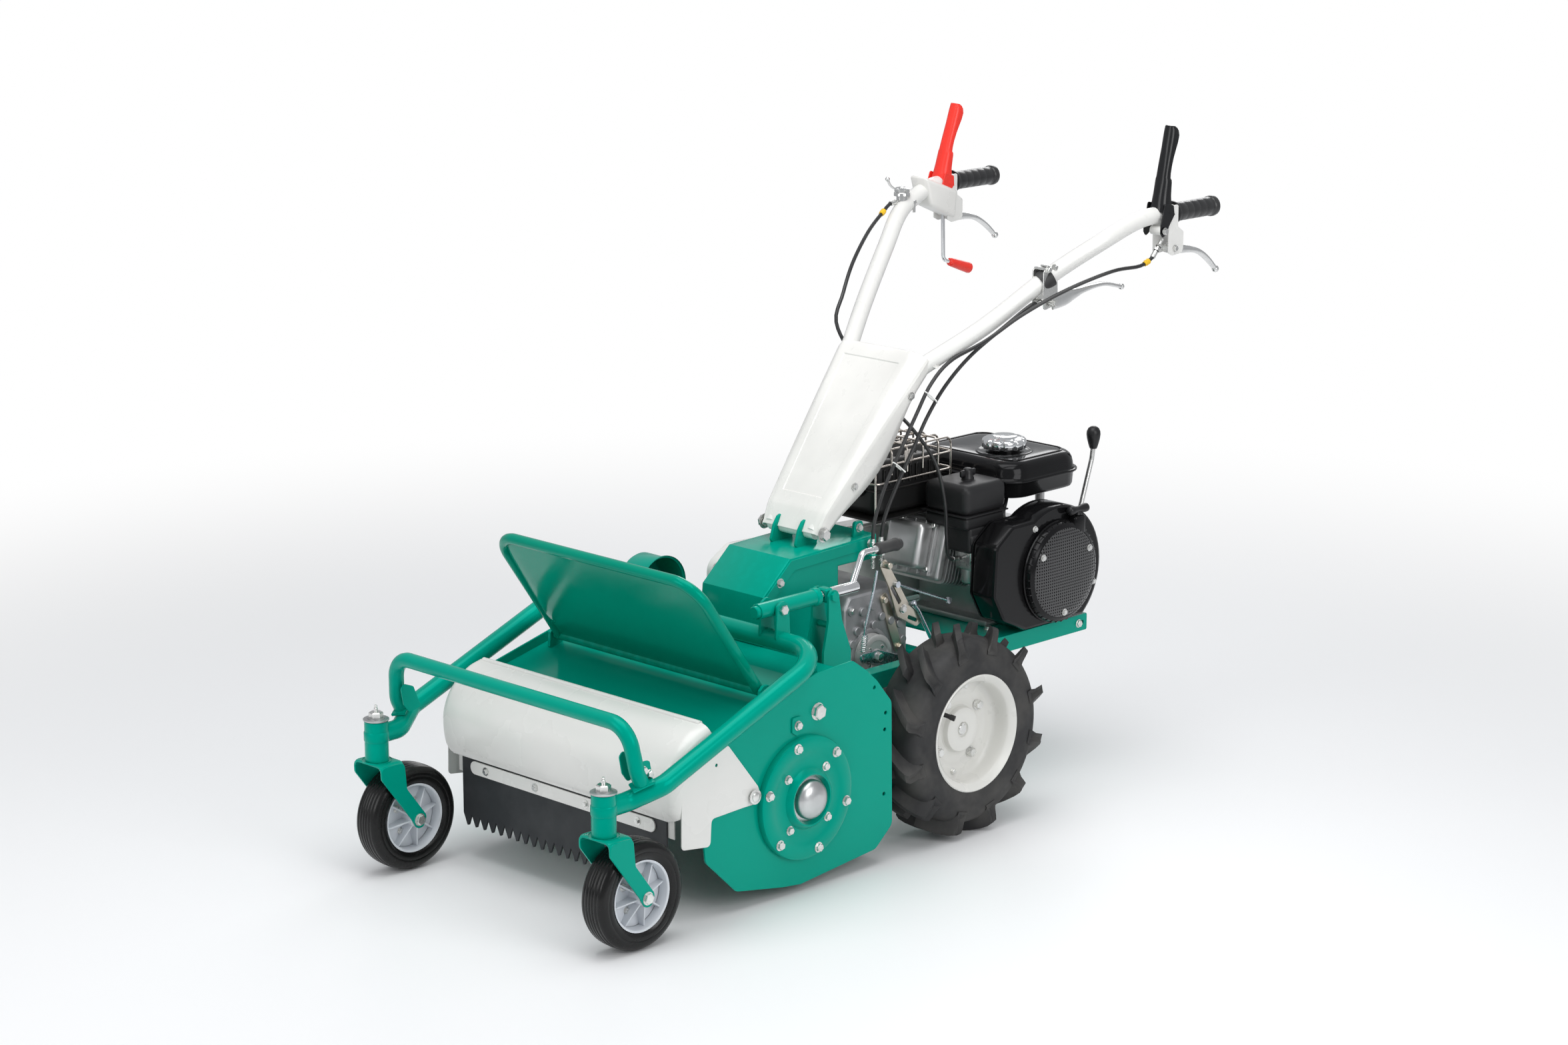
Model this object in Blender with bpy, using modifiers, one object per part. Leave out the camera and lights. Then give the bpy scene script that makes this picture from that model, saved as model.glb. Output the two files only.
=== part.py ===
"""Walk-behind flail mower with a four-stroke engine, two lugged drive wheels and two casters.

Metres, +Z up, front along +X, the operator's left along +Y. Heights are above the ground and the
stations along X are from the rear axle; the empty at the end moves the whole machine to its origin.
"""
import math

import bmesh
import bpy
from mathutils import Matrix, Vector

for old in list(bpy.data.objects):
    bpy.data.objects.remove(old, do_unlink=True)

# Fits shared by all pieces
CLEAR = 0.0003            # between pieces that touch
PLAY = 0.0008             # round a pin or shaft that turns
SHEET = 0.003             # pressed sheet steel

# Drive wheels
WHEEL_R = 0.1934          # over the lugs
WHEEL_Y = 0.2564          # centre plane
WHEEL_HALF = 0.0533       # half the tyre's width
LUG_H = 0.0125
LUG_T = 0.0165            # a lug's thickness along the tread
LUGS = 9                  # each side of the tread
RIM_R = 0.1063            # over the flange
RIM_HALF = 0.0521
RIM_WALL = 0.003
SHAFT_R = 0.0125

# Cutter deck
PLATE_OUT = 0.2975        # outer face of a side plate
PLATE_T = 0.004
ROTOR_X, ROTOR_Z = 0.433, 0.171
ROTOR_R = 0.128           # over the knife tips
ROTOR_TUBE = 0.038
FLANGE_R = 0.110          # bearing flange
TILT_X, TILT_Z = 0.398, 0.317      # pivot of the front frame
FLAP_X, FLAP_Z = 0.495, 0.365      # hinge line of the flap
FLAP_TOP_X, FLAP_TOP_Z = 0.650, 0.585
FLAP_HALF = 0.262
COVER_X, COVER_Z = 0.556, 0.201    # hinge pin of the front cover
COVER_T = 0.0025
SKIRT_T = 0.004
SKIRT_LOW = 0.060         # tips of the saw-tooth edge
TEETH = 18

# Front frame and casters
TUBE_R = 0.017
FRAME_Y = 0.323           # side tubes
FRAME_SLOPE = 0.394       # fall of the side tubes for each metre forward
CROSS_X, CROSS_Z = 0.405, 0.4275   # rear cross tube
KING_X, KING_Y = 0.8902, 0.2919    # caster swivel
KING_TOP, KING_LOW = 0.2812, 0.2082
KING_R = 0.021
KINGPIN_R = 0.011
ARM_Z = 0.254             # level part of the side tubes
CASTER_X = 0.8296         # caster axle
CASTER_R = 0.0946
CASTER_HALF = 0.0285
CASTER_RIM = 0.058
CASTER_LIP = 0.003         # height of the rim's flanges
CASTER_SINK = 0.006        # from the tyre's side in to the rim's
STRAP_T = 0.004
BAR_R = 0.0135            # guard bar
BAR_X, BAR_Z = 0.840, 0.385

# Height adjuster
SCREW_Y, SCREW_Z = 0.200, 0.484
SCREW_R = 0.008
TRUNNION_X = 0.280
JACK_R = 0.014
JACK_REAR, JACK_FRONT = 0.3000, 0.447
EAR_X = 0.405
EAR_GAP = 0.017           # from the screw's axis to an ear's inner face
EAR_T = 0.005

# Drive
BOX_X0, BOX_X1 = -0.055, 0.113     # gearbox
BOX_HALF = 0.085
BOX_LOW, BOX_TOP = 0.125, 0.424
DRUM_X, DRUM_Z = 0.047, 0.306
DRUM_R = 0.040
HOUSE_HALF = 0.078        # belt housing
HOUSE_TOP = 0.526
HOUSE_X0 = 0.020
GLAND_Z = 0.504           # top of the cable stops beside the belt housing
RAIL_Z = 0.300            # top of the rear frame
RAIL_Y = 0.150

# Column and handlebar
COLUMN_X, COLUMN_Z = 0.155, 0.547  # foot of the handlebar
BAR_TUBE = 0.016
GRIP_R = 0.0175
GRIP_FRONT, GRIP_REAR = -0.558, -0.682
GRIP_Y, GRIP_Z = 0.275, 1.070

# Engine
CRANK_X, CRANK_Z = -0.361, 0.406   # crankshaft
FAN_R = 0.126
RECOIL_R = 0.0975
FAN_Y0, FAN_Y1 = 0.122, 0.182
RECOIL_Y = 0.206
TANK_X0, TANK_X1 = -0.500, -0.284
TANK_HALF = 0.135
TANK_LOW, TANK_TOP = 0.540, 0.612
CAP_X, CAP_Y = -0.372, 0.036
CAP_R = 0.042
MUFFLER_X0, MUFFLER_X1 = -0.246, -0.066
MUFFLER_Y0, MUFFLER_Y1 = -0.150, -0.004
MUFFLER_Z0, MUFFLER_Z1 = 0.520, 0.628
WIRE_R = 0.0022


def collection(name):
    made = bpy.data.collections.new(name)
    bpy.context.scene.collection.children.link(made)
    return made


PARTS = collection("flail_mower")
MACHINE = bpy.data.objects.new("machine", None)
PARTS.objects.link(MACHINE)


def material(name, rgb, rough, metal=0.0):
    made = bpy.data.materials.new(name)
    made.use_nodes = True
    shader = made.node_tree.nodes["Principled BSDF"]
    shader.inputs["Base Color"].default_value = (*rgb, 1.0)
    shader.inputs["Roughness"].default_value = rough
    shader.inputs["Metallic"].default_value = metal
    return made


GREEN = material("green_paint", (0.012, 0.20, 0.055), 0.35)
WHITE = material("white_paint", (0.78, 0.79, 0.77), 0.35)
BLACK = material("black_paint", (0.012, 0.012, 0.013), 0.30)
CAST = material("cast_grey", (0.06, 0.065, 0.07), 0.55, 0.3)
ALLOY = material("alloy", (0.52, 0.53, 0.54), 0.42, 0.9)
ZINC = material("zinc", (0.55, 0.55, 0.53), 0.32, 1.0)
CHROME = material("chrome", (0.75, 0.76, 0.77), 0.10, 1.0)
RUBBER = material("rubber", (0.018, 0.018, 0.019), 0.75)
TYRE = material("tyre_rubber", (0.016, 0.016, 0.017), 0.70)
PLASTIC = material("black_plastic", (0.016, 0.016, 0.017), 0.50)
GREY = material("grey_plastic", (0.50, 0.52, 0.50), 0.45)
RED = material("red_plastic", (0.55, 0.02, 0.015), 0.40)
STEEL = material("steel", (0.30, 0.30, 0.31), 0.45, 1.0)


# Shapes


def solid(bm, name="piece"):
    bmesh.ops.recalc_face_normals(bm, faces=bm.faces[:])
    mesh = bpy.data.meshes.new(name)
    bm.to_mesh(mesh)
    bm.free()
    made = bpy.data.objects.new(name, mesh)
    PARTS.objects.link(made)
    return made


def as_mesh(piece):
    """One welded mesh of the piece with all its modifiers, in place of the piece."""
    graph = bpy.context.evaluated_depsgraph_get()
    mesh = bpy.data.meshes.new_from_object(piece.evaluated_get(graph))
    mesh.transform(piece.matrix_world)
    bpy.data.objects.remove(piece, do_unlink=True)
    bm = bmesh.new()
    bm.from_mesh(mesh)
    bmesh.ops.remove_doubles(bm, verts=bm.verts[:], dist=2e-6)
    bmesh.ops.dissolve_degenerate(bm, edges=bm.edges[:], dist=2e-6)
    return solid(bm)


def box(low, high, edge=0.0, segments=1):
    bm = bmesh.new()
    bmesh.ops.create_cube(bm, size=1.0)
    low, high = Vector(low), Vector(high)
    bmesh.ops.scale(bm, vec=high - low, verts=bm.verts)
    bmesh.ops.translate(bm, vec=(high + low) / 2, verts=bm.verts)
    if edge:
        bmesh.ops.bevel(bm, geom=bm.edges[:], offset=edge, segments=segments, affect="EDGES", profile=0.5)
    return solid(bm)


def rod(start, end, radius, tip=None, sides=8):
    start, end = Vector(start), Vector(end)
    run = end - start
    bm = bmesh.new()
    bmesh.ops.create_cone(bm, cap_ends=True, segments=sides, radius1=radius,
                          radius2=radius if tip is None else tip, depth=run.length)
    turn = run.to_track_quat("Z", "Y").to_matrix().to_4x4()
    bmesh.ops.transform(bm, matrix=Matrix.Translation((start + end) / 2) @ turn, verts=bm.verts)
    return solid(bm)


def ball(place, radius, squash=(1, 1, 1), rings=8, sides=14):
    bm = bmesh.new()
    bmesh.ops.create_uvsphere(bm, u_segments=sides, v_segments=rings, radius=radius)
    bmesh.ops.scale(bm, vec=squash, verts=bm.verts)
    bmesh.ops.translate(bm, vec=place, verts=bm.verts)
    return solid(bm)


def rounded(points, radius, steps=4):
    """The run of points with each inner corner turned into an arc."""
    points = [Vector(p) for p in points]
    out = [points[0]]
    for before, corner, after in zip(points, points[1:], points[2:]):
        back, ahead = before - corner, after - corner
        room = 0.48 * min(back.length, ahead.length)
        back.normalize()
        ahead.normalize()
        half = back.angle(ahead) / 2
        if half > math.radians(88):
            out.append(corner)
            continue
        reach = min(radius / math.tan(half), room)
        size = reach * math.tan(half)
        centre = corner + (back + ahead).normalized() * (size / math.sin(half))
        first = (corner + back * reach - centre).normalized()
        last = (corner + ahead * reach - centre).normalized()
        out += [centre + first.slerp(last, i / steps) * size for i in range(steps + 1)]
    return out + [points[-1]]


def tube(points, radius, resolution=3):
    data = bpy.data.curves.new("path", "CURVE")
    data.dimensions = "3D"
    data.bevel_depth = radius
    data.bevel_resolution = resolution
    data.use_fill_caps = True
    line = data.splines.new("POLY")
    line.points.add(len(points) - 1)
    for point, place in zip(line.points, points):
        point.co = (*place, 1.0)
    made = bpy.data.objects.new("path", data)
    PARTS.objects.link(made)
    return as_mesh(made)


PLANES = {
    "XZ": Matrix(((1, 0, 0, 0), (0, 0, -1, 0), (0, 1, 0, 0), (0, 0, 0, 1))),
    "XY": Matrix.Identity(4),
    "YZ": Matrix(((0, 0, 1, 0), (1, 0, 0, 0), (0, 1, 0, 0), (0, 0, 0, 1))),
}
NORMAL = {"XZ": Vector((0, 1, 0)), "XY": Vector((0, 0, 1)), "YZ": Vector((1, 0, 0))}


def plate(outline, low, high, plane="XZ", holes=()):
    """A flat outline of (across, up) pairs in the plane, filled and thick from low to high."""
    data = bpy.data.curves.new("outline", "CURVE")
    data.dimensions = "2D"
    data.fill_mode = "BOTH"
    data.extrude = abs(high - low) / 2
    for loop in (outline, *holes):
        line = data.splines.new("POLY")
        line.points.add(len(loop) - 1)
        for point, place in zip(line.points, loop):
            point.co = (place[0], place[1], 0.0, 1.0)
        line.use_cyclic_u = True
    made = bpy.data.objects.new("outline", data)
    PARTS.objects.link(made)
    made.matrix_world = Matrix.Translation(NORMAL[plane] * (low + high) / 2) @ PLANES[plane]
    return as_mesh(made)


def circle(across, up, radius, sides=8, start=0.0):
    step = math.tau / sides
    return [(across + radius * math.cos(start + i * step), up + radius * math.sin(start + i * step))
            for i in range(sides)]


def flat(points, radius, steps=3):
    """A closed outline of (across, up) pairs with every corner rounded."""
    ring = [Vector((a, b, 0)) for a, b in points]
    middle = (ring[-1] + ring[0]) / 2
    run = rounded([middle, *ring, middle], radius, steps)
    return [(p.x, p.y) for p in run[:-1]]


AXES = {
    "X": Matrix.Rotation(math.pi / 2, 4, "Y"),
    "Y": Matrix.Rotation(-math.pi / 2, 4, "X"),
    "Z": Matrix.Identity(4),
}


def turned(profile, place=(0, 0, 0), axis="Z", steps=24, side=1):
    """A profile of (radius, along) pairs, top first, turned round the axis."""
    bm = bmesh.new()
    ring = [bm.verts.new((r, 0, h)) for r, h in profile]
    for one, two in zip(ring, ring[1:]):
        bm.edges.new((one, two))
    if profile[0][0] or profile[-1][0]:
        bm.edges.new((ring[-1], ring[0]))
    mesh = bpy.data.meshes.new("profile")
    bm.to_mesh(mesh)
    bm.free()
    made = bpy.data.objects.new("profile", mesh)
    PARTS.objects.link(made)
    screw = made.modifiers.new("screw", "SCREW")
    screw.steps = screw.render_steps = steps
    screw.use_merge_vertices = True
    screw.merge_threshold = 1e-5
    flip = Matrix.Scale(side, 4, (0, 0, 1))
    made.matrix_world = Matrix.Translation(place) @ AXES[axis] @ flip
    return as_mesh(made)


def combine(pieces, cutters=()):
    """One body from overlapping pieces, with the cutters taken out of it."""
    body = pieces[0]
    for kind, others in (("UNION", pieces[1:]), ("DIFFERENCE", cutters)):
        if not others:
            continue
        group = bpy.data.collections.new(kind.lower())
        for other in others:
            group.objects.link(other)
        step = body.modifiers.new(kind.lower(), "BOOLEAN")
        step.operation = kind
        step.solver = "EXACT"
        step.operand_type = "COLLECTION"
        step.collection = group
    made = as_mesh(body)
    for other in (*pieces[1:], *cutters):
        bpy.data.objects.remove(other, do_unlink=True)
    for group in [g for g in bpy.data.collections if not g.users]:
        bpy.data.collections.remove(group)
    bm = bmesh.new()
    bm.from_mesh(made.data)
    bmesh.ops.dissolve_limit(bm, angle_limit=math.radians(0.2), verts=bm.verts[:], edges=bm.edges[:])
    bm.to_mesh(made.data)
    bm.free()
    return made


def soften(piece, width, segments=1, angle=40):
    """Rounded edges on a piece that is already one body."""
    bevel = piece.modifiers.new("bevel", "BEVEL")
    bevel.width = width
    bevel.segments = segments
    bevel.limit_method = "ANGLE"
    bevel.angle_limit = math.radians(angle)
    return as_mesh(piece)


def finish(piece, name, look, pivot=(0, 0, 0)):
    """Name, colour and origin of a finished piece; a moving piece has its origin on its axis."""
    piece.name = piece.data.name = name
    piece.data.transform(Matrix.Translation(-Vector(pivot)))
    piece.parent = MACHINE
    piece.location = pivot
    piece.data.materials.clear()
    piece.data.materials.append(look)
    piece.data.shade_smooth()
    piece.data.set_sharp_from_angle(angle=math.radians(32))
    return piece


def move(piece, matrix):
    piece.data.transform(matrix)
    if matrix.determinant() < 0:
        piece.data.flip_normals()
    return piece


def mirrored(piece):
    """A copy of the piece on the other side of the machine's middle plane."""
    made = bpy.data.objects.new("piece", piece.data.copy())
    PARTS.objects.link(made)
    return move(made, Matrix.Scale(-1, 4, (0, 1, 0)))


def bolt(place, axis, radius, height, sides=6):
    """A hexagon head or nut that starts at the place and stands along the axis."""
    place, axis = Vector(place), Vector(axis)
    return rod(place - axis * 0.001, place + axis * height, radius, sides=sides)


# Drive wheels: a turned rim with its shaft, and a tyre with slanted lugs that alternate


def drive_rim(side):
    inner = RIM_R - 0.0078
    seat = RIM_HALF - 0.0056
    tail = WHEEL_Y - BOX_HALF - CLEAR
    well = inner - RIM_WALL
    profile = [
        (0, 0.021), (SHAFT_R, 0.020), (SHAFT_R, 0.0132), (0.024, 0.0132), (0.025, 0.006), (well, 0.008),
        (well, seat - 0.002), (RIM_R - 0.003, RIM_HALF), (RIM_R, RIM_HALF), (inner, seat),
        (inner, -seat), (RIM_R, -RIM_HALF), (well, 0.002 - seat), (well, 0.003),
        (SHAFT_R, 0.001), (SHAFT_R, -tail), (0, -tail),
    ]
    return turned(profile, (0, side * WHEEL_Y, WHEEL_R), "Y", 16, side)


def drive_tyre(side):
    bore = RIM_R - 0.0078 + CLEAR
    seat = RIM_HALF - 0.0056 - CLEAR
    crown = WHEEL_R - LUG_H
    half = [
        (crown, 0.020), (crown - 0.009, 0.045), (0.150, WHEEL_HALF), (RIM_R + 0.002, RIM_HALF - 0.001),
        (bore, seat - 0.0004),
    ]
    profile = [(r, h) for r, h in half] + [(r, -h) for r, h in reversed(half)]
    pieces = [turned(profile, (0, 0, 0), "Y", 16)]
    edge = WHEEL_HALF - 0.0005
    outline = [
        (0.002, crown - 0.008), (0.002, WHEEL_R), (0.038, WHEEL_R), (edge, WHEEL_R - 0.014),
        (edge - 0.004, WHEEL_R - 0.040),
    ]
    slant = Matrix.Identity(4)
    slant[0][1] = 0.55
    for row in (1, -1):
        for i in range(LUGS):
            lug = plate([(row * y, z) for y, z in outline], -LUG_T / 2, LUG_T / 2, "YZ")
            shear = slant.copy()
            shear[0][1] *= row
            turn = math.tau * (i + (0.5 if row < 0 else 0.0)) / LUGS
            pieces.append(move(lug, Matrix.Rotation(math.pi + turn, 4, "Y") @ shear))
    body = combine(pieces)
    return move(body, Matrix.Translation((0, side * WHEEL_Y, WHEEL_R)))


for side, word in ((1, "left"), (-1, "right")):
    hub = (0, side * WHEEL_Y, WHEEL_R)
    finish(drive_rim(side), "wheel_rim_" + word, WHITE, hub)
    finish(drive_tyre(side), "wheel_tyre_" + word, TYRE, hub)


# Cutter deck: two side plates, the shell between them, bearings and the rotor

PLATE_OUTLINE = [
    (0.2085, 0.069), (0.2510, 0.033), (0.4380, 0.014), (0.4820, 0.019), (0.5940, 0.039),
    (0.6660, 0.108), (0.6690, 0.138), (0.6690, 0.250), (0.6200, 0.330), (0.4000, 0.385),
    (0.3110, 0.390), (0.2770, 0.366), (0.2490, 0.341), (0.2120, 0.296),
]
SHELL_LINE = [
    (0.2140, 0.080), (0.2140, 0.286), (0.2520, 0.331), (0.2860, 0.356), (0.3150, 0.371),
    (0.3950, 0.366), (0.6100, 0.318), (0.6350, 0.290),
]
PLATE_IN = PLATE_OUT - PLATE_T
LUG_Y = 0.280             # middle of the front frame's pivot lugs
LUG_HALF = 0.004
PIVOT_R = 0.008
STUB_R = 0.0175           # rotor shaft in its bearings


def side_plate(side):
    holes = [circle(ROTOR_X, ROTOR_Z, STUB_R + PLAY, 14)]
    sheet = plate(flat(PLATE_OUTLINE, 0.010, 1), side * PLATE_IN, side * PLATE_OUT, holes=holes)
    tilt, out = Vector((TILT_X, side * PLATE_OUT, TILT_Z)), Vector((0, side, 0))
    pieces = [sheet, bolt(tilt, out, 0.013, 0.010)]
    pieces.append(rod(tilt + out * 0.002, tilt - out * (PLATE_OUT - LUG_Y + LUG_HALF + 0.003), PIVOT_R))
    pin = Vector((COVER_X, side * PLATE_OUT, COVER_Z))
    pieces.append(rod(pin - out * 0.002, pin + out * (0.010 + COVER_T), 0.006))
    pieces.append(rod(pin + out * (0.0055 + COVER_T), pin + out * (0.009 + COVER_T), 0.013, 0.010, 10))
    ear = plate([(0.4363, 0.3003), (0.4491, 0.2833), (0.4623, 0.2921), (0.4617, 0.3182), (0.4402, 0.3186)],
                side * (PLATE_OUT - 0.0017), side * (PLATE_OUT + 0.0035))
    pieces += [ear, bolt((0.449, side * (PLATE_OUT + 0.003), 0.303), out, 0.008, 0.006)]
    return combine(pieces)


def bearing(side):
    face = PLATE_OUT + CLEAR
    place = (ROTOR_X, side * face, ROTOR_Z)
    bore = STUB_R + PLAY
    profile = [
        (0, 0.0372), (0.014, 0.0360), (0.024, 0.028), (0.026, 0.022), (0.043, 0.022), (0.050, 0.012),
        (FLANGE_R - 0.003, 0.012), (FLANGE_R, 0.009), (FLANGE_R, 0),
        (bore, 0), (bore, 0.020), (0, 0.020),
    ]
    return turned(profile, place, "Y", 14, side)


def shell_section(line, thick):
    """A closed section: the line and a second one at the thickness to its right."""
    ring = [Vector((x, z)) for x, z in line]
    sides = [(b - a).normalized() for a, b in zip(ring, ring[1:])]
    normals = [Vector((d.y, -d.x)) for d in sides]
    inner = []
    for i, point in enumerate(ring):
        one, two = normals[max(i - 1, 0)], normals[min(i, len(normals) - 1)]
        inner.append(point + (one + two) * thick / (1 + one.dot(two)))
    return [(p.x, p.y) for p in ring + inner[::-1]]


def deck_shell():
    inside = PLATE_IN - CLEAR
    body = plate(shell_section(SHELL_LINE, SHEET), -inside, inside)
    pieces = [body]
    for side in (1, -1):
        low, high = side * 0.264, side * 0.2705
        ear = flat([(FLAP_X - 0.016, 0.335), (FLAP_X + 0.016, 0.335), (FLAP_X + 0.013, FLAP_Z + 0.012),
                    (FLAP_X - 0.013, FLAP_Z + 0.012)], 0.008, 1)
        pieces.append(plate(ear, low, high, holes=[circle(FLAP_X, FLAP_Z, 0.006 + PLAY)]))
    strap = [
        (0.2370, 0.325), (0.3050, 0.362), (0.3050, 0.385), (0.2930, 0.440), (TRUNNION_X + 0.012, 0.490),
        (TRUNNION_X, 0.498), (TRUNNION_X - 0.012, 0.490), (0.2600, 0.440), (0.2370, 0.380),
    ]
    for inner, outer in ((EAR_GAP, EAR_GAP + EAR_T), (-EAR_GAP, -EAR_GAP - EAR_T)):
        pieces.append(plate(flat(strap, 0.008, 1), SCREW_Y + inner, SCREW_Y + outer))
    pin = [(TRUNNION_X, SCREW_Y + s * (EAR_GAP + EAR_T + 0.001), SCREW_Z) for s in (-1, 1)]
    pieces.append(rod(pin[0], pin[1], 0.0055))
    pieces += [bolt((TRUNNION_X, SCREW_Y + s * (EAR_GAP + EAR_T), SCREW_Z), (0, s, 0), 0.009, 0.005)
               for s in (-1, 1)]
    pieces.append(rod((0.277, SCREW_Y - EAR_GAP - 0.001, 0.429), (0.277, SCREW_Y + EAR_GAP + 0.001, 0.429), 0.006))
    pieces.append(box((TRUNNION_X - 0.009, SCREW_Y - 0.0125, SCREW_Z - 0.0125),
                      (TRUNNION_X + 0.009, SCREW_Y + 0.0125, SCREW_Z + 0.0125), 0.003))
    cutters = [rod((TRUNNION_X - 0.02, SCREW_Y, SCREW_Z), (TRUNNION_X + 0.02, SCREW_Y, SCREW_Z), SCREW_R + PLAY)]
    for side in (1, -1):
        low, high = sorted((side * (LUG_Y - LUG_HALF - 0.003), side * (inside + 0.01)))
        cutters.append(box((TILT_X - 0.042, low, 0.30), (TILT_X + 0.048, high, 0.42)))
    return combine(pieces, cutters)


def flail_rotor():
    end = PLATE_OUT + CLEAR + 0.019
    tube_end = PLATE_IN - 0.004
    stub = STUB_R
    profile = [(0, end), (stub, end), (stub, tube_end), (ROTOR_TUBE, tube_end),
               (ROTOR_TUBE, -tube_end), (stub, -tube_end), (stub, -end), (0, -end)]
    pieces = [turned(profile, (ROTOR_X, 0, ROTOR_Z), "Y", 14)]
    knife = [(-0.011, ROTOR_TUBE - 0.004), (0.011, ROTOR_TUBE - 0.004), (0.012, ROTOR_R - 0.030),
             (0.020, ROTOR_R - 0.002), (-0.020, ROTOR_R - 0.002), (-0.012, ROTOR_R - 0.030)]
    count, span = 8, 0.235
    for i in range(count):
        y = -span + 2 * span * i / (count - 1)
        blade = plate([(x, z) for x, z in knife], y - 0.004, y + 0.004)
        blade = combine([blade, box((-0.014, y - 0.011, ROTOR_TUBE - 0.005), (0.014, y + 0.011, ROTOR_TUBE + 0.012))])
        turn = Matrix.Rotation(math.tau * (i * 3 % 8) / 8, 4, "Y")
        pieces.append(move(blade, Matrix.Translation((ROTOR_X, 0, ROTOR_Z)) @ turn))
    return combine(pieces)


for side, word in ((1, "left"), (-1, "right")):
    finish(side_plate(side), "side_plate_" + word, GREEN)
    finish(bearing(side), "bearing_" + word, GREEN)
finish(deck_shell(), "deck_shell", GREEN)
finish(flail_rotor(), "flail_rotor", STEEL, (ROTOR_X, 0, ROTOR_Z))


# Front cover with its wings, the rubber skirt that hangs from it, and the flap above

COVER_HALF = PLATE_OUT + 0.0005 + COVER_T
COVER_CORNER = 0.022
COVER_LINE = [
    (0.6550, 0.3470), (0.6810, 0.3400), (0.7080, 0.3230), (0.7300, 0.2990), (0.7430, 0.2700),
    (0.7450, 0.2400), (0.7400, 0.2080), (0.7310, 0.1920),
]
WING = [
    (0.6130, 0.3020), (0.5440, 0.2160), (0.5390, 0.2000), (0.5480, 0.1860), (0.5775, 0.1860),
    (0.6540, 0.1830), (0.6570, 0.1350), (0.7240, 0.1440), (0.7225, 0.2300), (0.7210, 0.2680),
    (0.7120, 0.2860), (0.6850, 0.3120), (0.6520, 0.3220),
]
LIP_X = 0.7180            # front face of the lip behind the skirt
SKIRT_TOP = 0.190
SKIRT_HALF = 0.255


def front_cover():
    bm = bmesh.new()
    corner = [(COVER_CORNER * math.sin(a), COVER_CORNER * (1 - math.cos(a)))
              for a in (math.pi / 2 * i / 3 for i in range(4))]
    start = COVER_HALF - COVER_CORNER - COVER_T / 2
    stations = [(start + y, inset) for y, inset in corner]
    stations = [(-y, inset) for y, inset in reversed(stations)] + stations
    rows = []
    for y, inset in stations:
        row = []
        for i, (x, z) in enumerate(COVER_LINE):
            x0, z0 = COVER_LINE[max(i - 1, 0)]
            x1, z1 = COVER_LINE[min(i + 1, len(COVER_LINE) - 1)]
            along = Vector((x1 - x0, 0, z1 - z0)).normalized()
            row.append(bm.verts.new((x + along.z * inset, y, z - along.x * inset)))
        rows.append(row)
    for one, two in zip(rows, rows[1:]):
        for i in range(len(one) - 1):
            bm.faces.new((one[i], one[i + 1], two[i + 1], two[i]))
    mesh = bpy.data.meshes.new("cover")
    bm.to_mesh(mesh)
    bm.free()
    made = bpy.data.objects.new("cover", mesh)
    PARTS.objects.link(made)
    wall = made.modifiers.new("wall", "SOLIDIFY")
    wall.thickness = COVER_T
    wall.offset = -1.0
    wall.use_even_offset = True
    if mesh.polygons[0].normal.z < 0:
        wall.offset = 1.0
    pieces = [as_mesh(made)]
    for side in (1, -1):
        outer, inner = side * COVER_HALF, side * (COVER_HALF - COVER_T)
        hole = [circle(COVER_X, COVER_Z, 0.006 + PLAY)]
        pieces.append(plate(flat(WING, 0.006, 1), inner, outer, holes=hole))
    roll = COVER_HALF - COVER_CORNER
    pieces.append(rod((0.6560, -roll, 0.3455), (0.6560, roll, 0.3455), 0.005))
    lip = [(0.7340, 0.1960), (0.7310, 0.1900), (LIP_X, 0.1905), (LIP_X, 0.1560), (LIP_X - 0.003, 0.1560),
           (LIP_X - 0.003, 0.1945), (0.7260, 0.1960)]
    pieces.append(plate(lip, -roll, roll))
    return combine(pieces)


def rubber_skirt():
    teeth = []
    for i in range(TEETH):
        left = -SKIRT_HALF + 2 * SKIRT_HALF * i / TEETH
        teeth += [(left, SKIRT_LOW + 0.016), (left + SKIRT_HALF / TEETH, SKIRT_LOW)]
    outline = [*teeth, (SKIRT_HALF, SKIRT_LOW + 0.016), (SKIRT_HALF, SKIRT_TOP - CLEAR), (-SKIRT_HALF, SKIRT_TOP - CLEAR)]
    low = LIP_X + CLEAR
    return plate(outline, low, low + SKIRT_T, "YZ")


def skirt_strip():
    low = LIP_X + SKIRT_T + 2 * CLEAR
    half = SKIRT_HALF - 0.025
    outline = flat([(-half, 0.160), (half, 0.160), (half, 0.184), (-half, 0.184)], 0.012, 3)
    pieces = [plate(outline, low, low + 0.003, "YZ")]
    return pieces[0]


def flap():
    rise = Vector((FLAP_TOP_X - FLAP_X, 0, FLAP_TOP_Z - FLAP_Z))
    length = rise.length
    up = rise.normalized()
    hoop_r = 0.010
    foot = Vector((FLAP_X, 0, FLAP_Z))
    across = FLAP_HALF - hoop_r
    top = length - hoop_r

    def spot(y, s):
        return foot + up * s + Vector((0, y, 0))

    run = rounded([spot(-across, 0), spot(-across, top), spot(across, top), spot(across, 0)], 0.050, 4)
    normal = Vector((up.z, 0, -up.x))
    crease = foot + up * 0.070 + normal * 0.009
    upper = foot + up * top
    lower = foot + normal * 0.002
    line = [(p.x, p.z) for p in (upper, crease, lower)]
    panel = plate(shell_section(line, 0.002), -across, across)
    barrel = rod((FLAP_X, -FLAP_HALF, FLAP_Z), (FLAP_X, FLAP_HALF, FLAP_Z), 0.009)
    pin = rod((FLAP_X, -0.274, FLAP_Z), (FLAP_X, 0.274, FLAP_Z), 0.006)
    return combine([tube(run, hoop_r, 2), panel, barrel, pin])


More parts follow.
